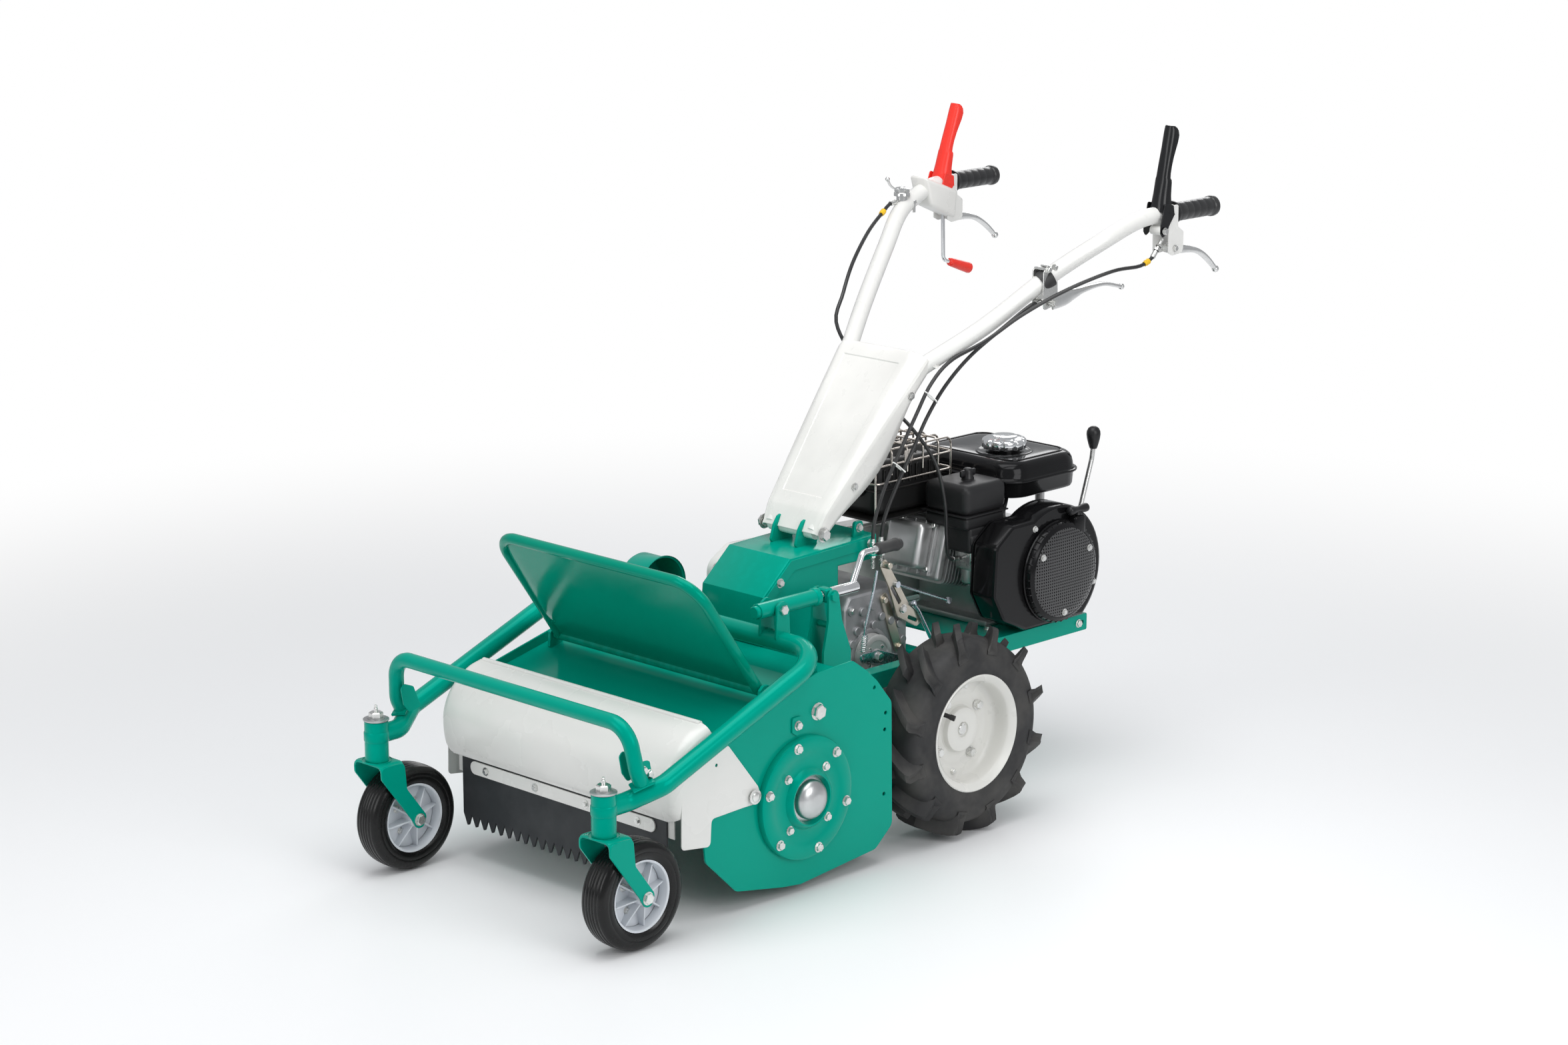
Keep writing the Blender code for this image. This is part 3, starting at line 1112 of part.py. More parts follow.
def muffler():
    body = box((MUFFLER_X0, MUFFLER_Y0, MUFFLER_Z0 + 0.002), (MUFFLER_X1, MUFFLER_Y1, MUFFLER_Z1), 0.020, 2)
    base = box((MUFFLER_X0 - 0.016, MUFFLER_Y0 - 0.012, MUFFLER_Z0), (MUFFLER_X1 + 0.016, MUFFLER_Y1 + 0.014, MUFFLER_Z0 + 0.004))
    pieces = [body, base]
    pieces.append(rod((MUFFLER_X1 - 0.004, -0.050, 0.575), (MUFFLER_X1 + 0.006, -0.050, 0.575), 0.016, sides=10))
    return combine(pieces)


CAGE_HOOPS = 4
CAGE_BARS = 2


def muffler_cage():
    low = MUFFLER_Z0 + 0.004 + CLEAR
    top = MUFFLER_Z1 + 0.024
    rear, front = MUFFLER_X0 - 0.012, MUFFLER_X1 + 0.012
    first, last = MUFFLER_Y0 - 0.006, MUFFLER_Y1 + 0.008
    pieces = []
    for i in range(CAGE_HOOPS):
        y = first + (last - first) * i / (CAGE_HOOPS - 1)
        run = rounded([(rear, y, low), (rear, y, top), (front, y, top), (front, y, low)], 0.022, 1)
        pieces.append(tube(run, WIRE_R, 1))
    for i in range(CAGE_BARS):
        share = (i + 0.5) / CAGE_BARS
        x = rear + (front - rear) * share
        pieces.append(rod((x, first - 0.003, top + WIRE_R * 0.9), (x, last + 0.003, top + WIRE_R * 0.9), WIRE_R, sides=6))
    for x, lift in ((front + WIRE_R * 0.9, 0.048), (rear - WIRE_R * 0.9, 0.048)):
        pieces.append(rod((x, first - 0.003, low + lift), (x, last + 0.003, low + lift), WIRE_R, sides=6))
    return combine(pieces)


def shift_lever():
    foot = Vector((LEVER_X, LEVER_Y, LEVER_Z))
    run = [foot, Vector((-0.5250, LEVER_Y, 0.4970)), Vector((-0.5520, LEVER_Y, 0.5760)), Vector((-0.5560, LEVER_Y, 0.600))]
    eye = plate(circle(LEVER_X, LEVER_Z, 0.0095, 10), LEVER_Y - 0.006, LEVER_Y + 0.006)
    knob = turned([(0, 0.640), (0.009, 0.637), (0.0135, 0.628), (0.0135, 0.612), (0.009, 0.598), (0, 0.596)],
                  (-0.5562, LEVER_Y, 0), "Z", 12)
    bore = rod((LEVER_X, LEVER_Y - 0.02, LEVER_Z), (LEVER_X, LEVER_Y + 0.02, LEVER_Z), 0.004 + PLAY)
    return combine([tube(rounded(run, 0.03, 1), 0.0048, 1), eye, knob], [bore])


finish(engine_block(), "engine_block", ALLOY)
finish(blower_housing(), "blower_housing", BLACK)
finish(recoil_cover(), "recoil_cover", BLACK)
finish(starter_grip(), "starter_grip", PLASTIC)
finish(fuel_tank(), "fuel_tank", BLACK)
finish(fuel_cap(), "fuel_cap", CHROME, (CAP_X, CAP_Y, TANK_TOP))
finish(air_cleaner(), "air_cleaner", PLASTIC)
finish(cleaner_knob(), "cleaner_knob", PLASTIC, (-0.227, 0.075, CLEANER_TOP))
finish(carburettor(), "carburettor", ZINC)
finish(muffler(), "muffler", BLACK)
finish(muffler_cage(), "muffler_cage", CHROME)
finish(shift_lever(), "shift_lever", PLASTIC, (LEVER_X, LEVER_Y, LEVER_Z))


# Column cover, handlebar and its controls

HANDLE = [
    (COLUMN_X, 0.052, COLUMN_Z), (-0.080, 0.088, 0.830), (-0.182, 0.152, 0.890), (-0.299, 0.207, 0.977),
    (-0.391, 0.252, 1.034), (-0.473, 0.266, 1.064), (-0.530, GRIP_Y, GRIP_Z), (GRIP_FRONT, GRIP_Y, GRIP_Z),
]
COLUMN_UP = (Vector((HANDLE[1][0], 0, HANDLE[1][2])) - Vector((COLUMN_X, 0, COLUMN_Z))).normalized()
COLUMN_OUT = Vector((COLUMN_UP.z, 0, -COLUMN_UP.x))
SPIGOT_R = 0.0120
BRACKET_Y = 0.2925        # inner face of the lever brackets
BRACKET_T = 0.003
LEVER1 = (-0.511, 1.043)
CLUTCH = (-0.546, 1.007)
BRAKE = (-0.291, 0.928)
THROTTLE = (-0.400, 1.0735)
LATCH_TOP = (-0.535, -0.275, 1.012)


def column_cover():
    bm = bmesh.new()
    rows = []
    for s, half, lift, drop in ((-0.008, 0.0725, 0.0200, -0.010), (0.371, 0.1110, 0.0280, -0.004)):
        base = Vector((COLUMN_X, 0, COLUMN_Z)) + COLUMN_UP * s
        run = [(-half, drop), (-half, lift - 0.007), (-half + 0.007, lift), (half - 0.007, lift), (half, lift - 0.007), (half, drop)]
        rows.append([bm.verts.new(base + COLUMN_OUT * n + Vector((0, y, 0))) for y, n in run])
    for i in range(len(rows[0]) - 1):
        bm.faces.new((rows[0][i], rows[0][i + 1], rows[1][i + 1], rows[1][i]))
    mesh = bpy.data.meshes.new("column")
    bm.to_mesh(mesh)
    bm.free()
    made = bpy.data.objects.new("column", mesh)
    PARTS.objects.link(made)
    wall = made.modifiers.new("wall", "SOLIDIFY")
    wall.thickness = 0.002
    wall.use_even_offset = True
    wall.offset = -1.0 if mesh.polygons[2].normal.dot(COLUMN_OUT) > 0 else 1.0
    pieces = [as_mesh(made)]
    bores = [rod((COLUMN_X, -0.09, COLUMN_Z), (COLUMN_X, 0.09, COLUMN_Z), PIN_R + CLEAR, sides=12)]
    return combine(pieces, bores)


def handlebar():
    pieces = []
    run = rounded(HANDLE, 0.060, 1)
    for side in (1, -1):
        line = [Vector((p.x, side * p.y, p.z)) for p in run]
        pieces.append(tube(line, BAR_TUBE, 1))
        end = Vector((GRIP_FRONT, side * GRIP_Y, GRIP_Z))
        pieces.append(rod(end + Vector((0.004, 0, 0)), Vector((GRIP_REAR + 0.008, side * GRIP_Y, GRIP_Z)), SPIGOT_R, sides=12))
        plate_low, plate_high = sorted((side * (BRACKET_Y - 0.001), side * (BRACKET_Y - 0.001 + BRACKET_T)))
        bracket = [(-0.571, 1.003), (-0.540, 0.994), (-0.440, 1.042), (-0.440, 1.086), (-0.500, 1.092), (-0.5545, 1.086),
                   (-0.5545, 1.047), (-0.571, 1.036)]
        pieces.append(plate(flat(bracket, 0.006, 1), plate_low, plate_high))
        for x, z in ((-0.455, 1.058), (-0.548, GRIP_Z - 0.004)):
            low, high = sorted((side * 0.270, side * (BRACKET_Y + 0.0005)))
            pieces.append(rod((x, low, z), (x, high, z), 0.008))
        face = BRACKET_Y - 0.001 + BRACKET_T
        for x, z, reach in ((*LEVER1, 0.0100), (*CLUTCH, 0.0100)):
            pieces.append(rod((x, side * (face - 0.002), z), (x, side * (face + reach), z), 0.0045))
    pieces.append(rod((COLUMN_X, -0.050, COLUMN_Z), (COLUMN_X, 0.050, COLUMN_Z), FOOT_TUBE, sides=12))
    pieces.append(rod((COLUMN_X, -0.078, COLUMN_Z), (COLUMN_X, 0.078, COLUMN_Z), PIN_R, sides=12))
    for side in (1, -1):
        pieces.append(bolt((COLUMN_X, side * 0.0765, COLUMN_Z), (0, side, 0), 0.010, 0.006))
    pieces.append(rod((HANDLE[1][0] + 0.004, -0.088, 0.826), (HANDLE[1][0] + 0.004, 0.088, 0.826), 0.009))
    pieces.append(rod((-0.240, -0.179, 0.933), (-0.240, 0.179, 0.933), 0.011, sides=12))
    pieces.append(rod((-0.5180, 0.2885, 1.0275), (-0.4975, 0.2885, 1.0054), 0.0050))
    clamp = (-0.2885, 0.202, 0.9690)
    pieces.append(box((clamp[0] - 0.017, clamp[1] - 0.012, clamp[2] - 0.050), (clamp[0] + 0.017, clamp[1] + 0.012, clamp[2] + 0.020), 0.004))
    pieces.append(rod((BRAKE[0], clamp[1] - 0.010, BRAKE[1]), (BRAKE[0], clamp[1] + 0.0245, BRAKE[1]), 0.004))
    pieces.append(box((-0.422, -0.276, 1.024), (-0.382, -0.240, 1.0685), 0.006))
    pieces.append(box((-0.520, -0.2905, 1.020), (-0.448, -0.2600, 1.0560), 0.008, 1))
    pieces.append(rod((THROTTLE[0], -0.258, 1.060), (THROTTLE[0], -0.258, 1.0735), 0.004))
    pieces.append(rod((*LATCH_TOP,), (LATCH_TOP[0], LATCH_TOP[1], GRIP_Z), 0.0085, sides=12))
    bores = [rod((LATCH_TOP[0], LATCH_TOP[1], LATCH_TOP[2] - 0.01), (LATCH_TOP[0], LATCH_TOP[1], LATCH_TOP[2] + 0.020),
                 0.0035 + PLAY)]
    return combine(pieces, bores)


def grip(side):
    bore = SPIGOT_R + CLEAR
    front = GRIP_FRONT - CLEAR
    run = [(bore, front), (GRIP_R + 0.004, front), (GRIP_R + 0.004, front - 0.006)]
    length = front - 0.008 - GRIP_REAR - 0.012
    ribs = 3
    for i in range(ribs):
        x = front - 0.008 - length * i / ribs
        run += [(GRIP_R - 0.0012, x), (GRIP_R, x - length / ribs * 0.4)]
    run += [(GRIP_R + 0.001, GRIP_REAR + 0.010), (GRIP_R - 0.002, GRIP_REAR + 0.001), (0.010, GRIP_REAR), (0, GRIP_REAR),
            (0, GRIP_REAR + 0.006), (bore, GRIP_REAR + 0.006)]
    outer = run[:-2]
    body = turned([(0, front)] + outer[1:], (0, side * GRIP_Y, GRIP_Z), "X", 12)
    cut = rod((front + 0.01, side * GRIP_Y, GRIP_Z), (GRIP_REAR + 0.0075, side * GRIP_Y, GRIP_Z), bore, sides=12)
    return combine([body], [cut])


LEVER_FACE = BRACKET_Y - 0.001 + BRACKET_T + CLEAR


def tall_lever(side, tip_x, tip_z):
    """Upright lever on the bracket's top pin, with a tapered handle."""
    x, z = LEVER1
    low = side * LEVER_FACE
    high = side * (LEVER_FACE + 0.004)
    base = [(x - 0.013, z - 0.006), (x, z - 0.013), (x + 0.013, z - 0.006), (x + 0.008, z + 0.060), (x - 0.012, z + 0.060)]
    hole = [circle(x, z, 0.0045 + PLAY)]
    start = Vector((x - 0.001, side * (LEVER_FACE + 0.0047), z + 0.045))
    tip = Vector((tip_x, side * (LEVER_FACE + 0.001), tip_z))
    along = (tip - start).normalized()
    shaft = rod(start, tip - along * 0.070, 0.0045)
    knob = turned([(0, 0.088), (0.0085, 0.085), (0.0110, 0.075), (0.0075, 0.010), (0.0060, 0), (0, 0)], (0, 0, 0), "Z", 10)
    turn = along.to_track_quat("Z", "Y").to_matrix().to_4x4()
    move(knob, Matrix.Translation(tip - along * 0.088) @ turn)
    return combine([plate(flat(base, 0.006, 1), low, high, holes=hole), shaft, knob])


def clutch_lever(side):
    x, z = CLUTCH
    low, high = side * LEVER_FACE, side * (LEVER_FACE + 0.004)
    base = [(x + 0.011, z + 0.009), (x + 0.010, z - 0.009), (x - 0.050, z - 0.016), (x - 0.052, z - 0.002)]
    hole = [circle(x, z, 0.0045 + PLAY)]
    start = Vector((x - 0.040, side * (LEVER_FACE + 0.002), z - 0.0085))
    run = [start, Vector((-0.624, side * 0.282, 0.993)), Vector((-0.690, side * 0.277, 0.949))]
    blade = tube(rounded(run, 0.03, 2), 0.0062, 1)
    tip = ball(run[-1], 0.0085, rings=6)
    return combine([plate(flat(base, 0.005, 1), low, high, holes=hole), blade, tip])


def brake_lever():
    low = 0.202 + 0.012 + CLEAR
    x, z = BRAKE
    base = [(x + 0.013, z + 0.010), (x + 0.013, z - 0.012), (x - 0.040, z - 0.006), (x - 0.040, z + 0.010)]
    hole = [circle(x, z, 0.004 + PLAY)]
    start = Vector((x - 0.028, low + 0.003, z + 0.002))
    run = [start, Vector((-0.371, low + 0.003, 0.939)), Vector((-0.475, low - 0.002, 0.937))]
    bar = tube(rounded(run, 0.05, 2), 0.0055, 1)
    hold = turned([(0, 0.058), (0.0085, 0.056), (0.0095, 0.040), (0.0085, 0.030), (0.0095, 0.016), (0.0080, 0), (0, 0)], (0, 0, 0), "Z", 10)
    along = (run[2] - run[1]).normalized()
    move(hold, Matrix.Translation(run[2] - along * 0.050) @ along.to_track_quat("Z", "Y").to_matrix().to_4x4())
    return combine([plate(flat(base, 0.005, 1), low, low + 0.004, holes=hole), bar, hold])


def throttle_lever():
    low = 1.0685 + CLEAR
    x, y = THROTTLE[0], -0.258
    outline = [(x - 0.010, y - 0.008), (x - 0.010, y + 0.008), (x + 0.008, y + 0.009), (x + 0.036, y + 0.005),
               (x + 0.044, y), (x + 0.036, y - 0.006), (x + 0.008, y - 0.009)]
    hole = [circle(x, y, 0.004 + PLAY)]
    return combine([plate(flat(outline, 0.004, 1), low, low + 0.0035, "XY", hole),
                    rod((x + 0.036, y, low + 0.002), (x + 0.036, y, low + 0.011), 0.006, 0.005, 10)])


def latch_rod():
    top = Vector(LATCH_TOP) + Vector((0, 0, 0.0165))
    run = [top, Vector(LATCH_TOP) - Vector((0, 0, 0.010)), Vector((-0.537, -0.275, 0.918)), Vector((-0.606, -0.275, 0.8945))]
    along = (run[3] - run[2]).normalized()
    bar = tube([run[0]] + rounded(run[1:], 0.012, 2), 0.0035, 1)
    knob = ball(run[3] + along * 0.009, 0.012, rings=6, sides=10)
    return combine([bar, knob])


finish(column_cover(), "column_cover", WHITE)
finish(handlebar(), "handlebar", WHITE)
finish(grip(1), "grip_left", RUBBER)
finish(grip(-1), "grip_right", RUBBER)
finish(tall_lever(1, -0.552, 1.231), "black_lever", PLASTIC, (LEVER1[0], BRACKET_Y, LEVER1[1]))
finish(tall_lever(-1, -0.572, 1.219), "red_lever", RED, (LEVER1[0], -BRACKET_Y, LEVER1[1]))
finish(clutch_lever(1), "clutch_lever_left", PLASTIC, (CLUTCH[0], BRACKET_Y, CLUTCH[1]))
finish(clutch_lever(-1), "clutch_lever_right", GREY, (CLUTCH[0], -BRACKET_Y, CLUTCH[1]))
finish(brake_lever(), "brake_lever", CHROME, (BRAKE[0], 0.214, BRAKE[1]))
finish(throttle_lever(), "throttle_lever", ZINC, (THROTTLE[0], -0.258, THROTTLE[1]))
finish(latch_rod(), "latch_rod", CHROME, LATCH_TOP)


# Bowden cables, each one tube along its route, and the machine's place in its frame

CABLE_R = 0.0035


def smooth(points, spacing):
    """Evenly spaced points on a smooth curve through the route's own points."""
    points = [Vector(p) for p in points]
    ends = [points[0] * 2 - points[1], *points, points[-1] * 2 - points[-2]]
    fine = []
    for a, b, c, d in zip(ends, ends[1:], ends[2:], ends[3:]):
        for i in range(24):
            t = i / 24
            fine.append(0.5 * (2 * b + (c - a) * t + (2 * a - 5 * b + 4 * c - d) * t ** 2
                               + (3 * b - a - 3 * c + d) * t ** 3))
    fine.append(points[-1])
    length = sum((b - a).length for a, b in zip(fine, fine[1:]))
    count = max(2, round(length / spacing))
    out, walked, goal = [fine[0]], 0.0, length / count
    for a, b in zip(fine, fine[1:]):
        step = (b - a).length
        while walked + step >= goal and len(out) < count:
            out.append(a.lerp(b, (goal - walked) / step))
            goal += length / count
        walked += step
    return out + [points[-1]], length


def cable(name, route):
    points, length = smooth(route, CABLE_R * 6)
    print(f"{name}: {length * 1000:.0f} mm long, {len(points)} points")
    return tube(points, CABLE_R, 1)


CLUTCH_ROUTE = [
    (-0.4969, 0.2885, 1.0047), (-0.488, 0.2885, 0.9955), (-0.455, 0.287, 0.9840), (-0.385, 0.280, 0.9820), (-0.300, 0.245, 0.9540),
    (-0.225, 0.205, 0.9130), (-0.165, 0.170, 0.8680), (-0.115, 0.132, 0.8340), (-0.075, 0.121, 0.7960),
    (-0.040, 0.118, 0.7450), (-0.005, 0.114, 0.6870), (0.030, 0.107, 0.6200), (0.049, 0.100, 0.5600),
    (0.052, 0.098, 0.5230), (0.052, 0.098, GLAND_Z + CLEAR),
]
BRAKE_ROUTE = [
    (-0.2706, 0.205, 0.9300), (-0.246, 0.2040, 0.9265), (-0.205, 0.182, 0.8920), (-0.150, 0.150, 0.8420),
    (-0.110, 0.126, 0.7900), (-0.075, 0.113, 0.7350), (-0.042, 0.108, 0.6780), (-0.005, 0.103, 0.6150),
    (0.022, 0.099, 0.5600), (0.030, 0.098, 0.5230), (0.030, 0.098, GLAND_Z + CLEAR),
]
THROTTLE_ROUTE = [
    (-0.3808, -0.260, 1.0500), (-0.368, -0.2600, 1.0485), (-0.345, -0.255, 1.0370), (-0.279, -0.232, 1.0080), (-0.190, -0.187, 0.9650),
    (-0.132, -0.156, 0.9180), (-0.100, -0.142, 0.8680), (-0.114, -0.105, 0.8000), (-0.125, -0.050, 0.7380),
    (-0.134, 0.020, 0.6880), (-0.143, 0.070, 0.6300), (-0.150, 0.088, 0.5600), (-0.154, 0.090, 0.4900),
    (-0.162, 0.086, 0.4570), (-0.175, 0.084, 0.4440), (-0.1891, 0.084, 0.4432),
]
finish(cable("clutch_cable", CLUTCH_ROUTE), "clutch_cable", RUBBER)
finish(cable("brake_cable", BRAKE_ROUTE), "brake_cable", RUBBER)
finish(cable("throttle_cable", THROTTLE_ROUTE), "throttle_cable", RUBBER)

LEVER_END = -0.6985       # rear end of the clutch levers
MACHINE.location.x = -(CASTER_X + CASTER_R + LEVER_END) / 2
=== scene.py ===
import math

import bmesh
import bpy
from mathutils import Matrix, Vector


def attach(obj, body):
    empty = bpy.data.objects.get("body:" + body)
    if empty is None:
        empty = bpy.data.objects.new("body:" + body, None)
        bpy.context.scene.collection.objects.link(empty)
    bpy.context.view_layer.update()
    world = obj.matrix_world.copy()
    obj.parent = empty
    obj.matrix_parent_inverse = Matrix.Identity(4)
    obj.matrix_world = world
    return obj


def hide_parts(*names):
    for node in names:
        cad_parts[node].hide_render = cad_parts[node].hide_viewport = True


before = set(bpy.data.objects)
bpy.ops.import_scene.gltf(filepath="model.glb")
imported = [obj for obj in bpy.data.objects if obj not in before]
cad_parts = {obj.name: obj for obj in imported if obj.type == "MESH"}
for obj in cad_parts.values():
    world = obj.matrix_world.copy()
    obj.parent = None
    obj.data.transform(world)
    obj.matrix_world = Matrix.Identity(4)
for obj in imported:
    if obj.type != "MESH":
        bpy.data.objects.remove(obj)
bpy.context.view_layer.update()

# Camera of the studio shot of a walk-behind flail mower: a long lens from the machine's front left, a
# little above the handles. Every piece below is measured from the rear axle, behind the frame's origin.

AXLE_TO_ORIGIN = -0.11285
scene = bpy.context.scene
scene.view_settings.view_transform = "Standard"
to_right = Vector((-0.7054, 0.7088, 0))
to_top = Vector((-0.1689, -0.1679, 0.9712))
into_scene = Vector((-0.6884, -0.6852, -0.2381))
lens = bpy.data.cameras.new("studio_camera")
lens.lens, lens.sensor_width, lens.clip_end = 85.905, 36.0, 60.0
camera = bpy.data.objects.new("studio_camera", lens)
scene.collection.objects.link(camera)
camera.matrix_world = Matrix((
    (*[to_right.normalized()[i] for i in range(3)], 0), (*[to_top.normalized()[i] for i in range(3)], 0),
    (*[-into_scene.normalized()[i] for i in range(3)], 0), (0, 0, 0, 1))).transposed()
camera.location = (4.8016 + AXLE_TO_ORIGIN, 4.5991, 2.1592)
scene.camera = camera


# Studio: a white painted floor that runs out into a white backdrop, and soft boxes above and beside
# the machine. The floor keeps the contact shadows and fades to white a few metres out.

def nodes_of(name):
    made = bpy.data.materials.new(name)
    made.use_nodes = True
    tree = made.node_tree
    return made, tree, tree.nodes["Principled BSDF"], tree.nodes["Material Output"]


def join(tree, start, end):
    tree.links.new(start, end)


def put(node, **values):
    """Sets a node's inputs, each given by its name with _ for a space."""
    for name, value in values.items():
        node.inputs[name.replace("_", " ")].default_value = value


def studio_floor():
    made, tree, shader, out = nodes_of("studio_floor")
    put(shader, Base_Color=(0.86, 0.865, 0.872, 1), Roughness=0.45, Specular_IOR_Level=0.25)
    place = tree.nodes.new("ShaderNodeTexCoord")
    far = tree.nodes.new("ShaderNodeVectorMath")
    far.operation = "LENGTH"
    join(tree, place.outputs["Object"], far.inputs[0])
    fade = tree.nodes.new("ShaderNodeMapRange")
    fade.interpolation_type = "SMOOTHSTEP"
    put(fade, From_Min=1.1, From_Max=3.4)
    join(tree, far.outputs["Value"], fade.inputs["Value"])
    ray = tree.nodes.new("ShaderNodeLightPath")
    seen = tree.nodes.new("ShaderNodeMath")
    seen.operation = "MULTIPLY"
    join(tree, fade.outputs["Result"], seen.inputs[0])
    join(tree, ray.outputs["Is Camera Ray"], seen.inputs[1])
    glow = tree.nodes.new("ShaderNodeEmission")
    put(glow, Color=(1, 1, 1, 1))
    mix = tree.nodes.new("ShaderNodeMixShader")
    join(tree, seen.outputs["Value"], mix.inputs["Fac"])
    join(tree, shader.outputs["BSDF"], mix.inputs[1])
    join(tree, glow.outputs["Emission"], mix.inputs[2])
    join(tree, mix.outputs["Shader"], out.inputs["Surface"])
    return made


bpy.ops.mesh.primitive_plane_add(size=40, location=(0, 0, -0.0005))
floor = bpy.context.object
floor.name = "studio_floor"
floor.data.materials.append(studio_floor())

sky = bpy.data.worlds.new("studio_white")
scene.world = sky
sky.use_nodes = True
sky_tree = sky.node_tree
dim = sky_tree.nodes["Background"]
put(dim, Color=(0.95, 0.97, 1.0, 1), Strength=0.46)
bright = sky_tree.nodes.new("ShaderNodeBackground")
put(bright, Color=(1, 1, 1, 1), Strength=1.0)
sight = sky_tree.nodes.new("ShaderNodeLightPath")
blend_in = sky_tree.nodes.new("ShaderNodeMixShader")
join(sky_tree, sight.outputs["Is Camera Ray"], blend_in.inputs["Fac"])
join(sky_tree, dim.outputs["Background"], blend_in.inputs[1])
join(sky_tree, bright.outputs["Background"], blend_in.inputs[2])
join(sky_tree, blend_in.outputs["Shader"], sky_tree.nodes["World Output"].inputs["Surface"])

for name, spot, target, size, power in (
        ("overhead_box", (0.6, 0.4, 3.2), (0.1, 0, 0.3), 2.6, 62),
        ("left_box", (0.3, 3.4, 1.9), (0.1, 0, 0.4), 2.0, 40),
        ("front_box", (3.6, -0.4, 1.7), (0.2, 0, 0.3), 1.8, 26),
        ("rear_box", (-3.0, -1.8, 2.4), (-0.2, 0, 0.6), 1.6, 26)):
    lamp = bpy.data.lights.new(name, "AREA")
    lamp.shape, lamp.size, lamp.energy = "SQUARE", size, power
    stand = bpy.data.objects.new(name, lamp)
    scene.collection.objects.link(stand)
    stand.location = spot
    stand.rotation_euler = (Vector(target) - Vector(spot)).to_track_quat("-Z", "Y").to_euler()


# Cutter deck side plates: 4 mm steel, cut to outline, enamelled green, with the bolt that the front
# frame tilts on, a bolted stop ear and four punched holes, most of them near the rear edge.

SIDES = ((1, "left"), (-1, "right"))


def noise(tree, scale, detail=3.0):
    made = tree.nodes.new("ShaderNodeTexNoise")
    put(made, Scale=scale, Detail=detail, Roughness=0.5)
    join(tree, tree.nodes.new("ShaderNodeTexCoord").outputs["Object"], made.inputs["Vector"])
    return made.outputs["Fac"]


def ranged(tree, value, low, high, start=0.35, end=0.65):
    made = tree.nodes.new("ShaderNodeMapRange")
    put(made, From_Min=start, From_Max=end, To_Min=low, To_Max=high)
    join(tree, value, made.inputs["Value"])
    return made.outputs["Result"]


def tinted(tree, value, one, two):
    made = tree.nodes.new("ShaderNodeMix")
    made.data_type = "RGBA"
    put(made, A=(*one, 1), B=(*two, 1))
    join(tree, value, made.inputs["Factor"])
    return made.outputs["Result"]


def bumped(tree, shader, value, strength, distance):
    made = tree.nodes.new("ShaderNodeBump")
    put(made, Strength=strength, Distance=distance)
    join(tree, value, made.inputs["Height"])
    join(tree, made.outputs["Normal"], shader.inputs["Normal"])


def enamel(name, rgb, edge, rough=0.26, coat=0.6, sheen=(1, 1, 1)):
    """Sprayed enamel: faint orange peel, a little tone drift and paint rubbed thin on the sharpest edges."""
    made, tree, shader, _ = nodes_of(name)
    drift = ranged(tree, noise(tree, 4.0, 2.0), 0.0, 1.0)
    body = tinted(tree, drift, [c * 0.975 for c in rgb], [min(1, c * 1.02) for c in rgb])
    worn = tree.nodes.new("ShaderNodeNewGeometry")
    rub = tree.nodes.new("ShaderNodeMath")
    rub.operation = "MULTIPLY"
    join(tree, ranged(tree, worn.outputs["Pointiness"], 0.0, 0.55, 0.56, 0.66), rub.inputs[0])
    join(tree, ranged(tree, noise(tree, 60.0, 4.0), 0.0, 1.0, 0.45, 0.62), rub.inputs[1])
    mix = tree.nodes.new("ShaderNodeMix")
    mix.data_type = "RGBA"
    put(mix, B=(*edge, 1))
    join(tree, rub.outputs["Value"], mix.inputs["Factor"])
    join(tree, body, mix.inputs["A"])
    join(tree, mix.outputs["Result"], shader.inputs["Base Color"])
    join(tree, ranged(tree, noise(tree, 9.0, 4.0), rough - 0.05, rough + 0.07), shader.inputs["Roughness"])
    put(shader, Specular_IOR_Level=0.45, Specular_Tint=(*sheen, 1), Coat_Weight=coat, Coat_Roughness=0.08)
    bumped(tree, shader, noise(tree, 420.0, 2.0), 0.02, 0.0002)
    return made


def plated(name, rgb, rough, spread=0.08, grain=900.0):
    """Zinc or nickel plated steel: bright metal with a slightly cloudy, finely grained surface."""
    made, tree, shader, _ = nodes_of(name)
    cloud = ranged(tree, noise(tree, 45.0, 4.0), 0.0, 1.0)
    join(tree, tinted(tree, cloud, [c * 0.93 for c in rgb], rgb), shader.inputs["Base Color"])
    put(shader, Metallic=1.0)
    join(tree, ranged(tree, noise(tree, 130.0, 3.0), rough, rough + spread), shader.inputs["Roughness"])
    bumped(tree, shader, noise(tree, grain, 2.0), 0.02, 0.0002)
    return made


GREEN_SHEEN = (0.0, 0.85, 0.7)
green_enamel = enamel("green_enamel", (0.0, 0.3, 0.215), (0.0, 0.36, 0.27), 0.18, 0.0, GREEN_SHEEN)
white_enamel = enamel("white_enamel", (0.77, 0.765, 0.74), (0.77, 0.765, 0.74), 0.26, 0.1)
zinc_plate = plated("zinc_plate", (0.78, 0.78, 0.76), 0.24)


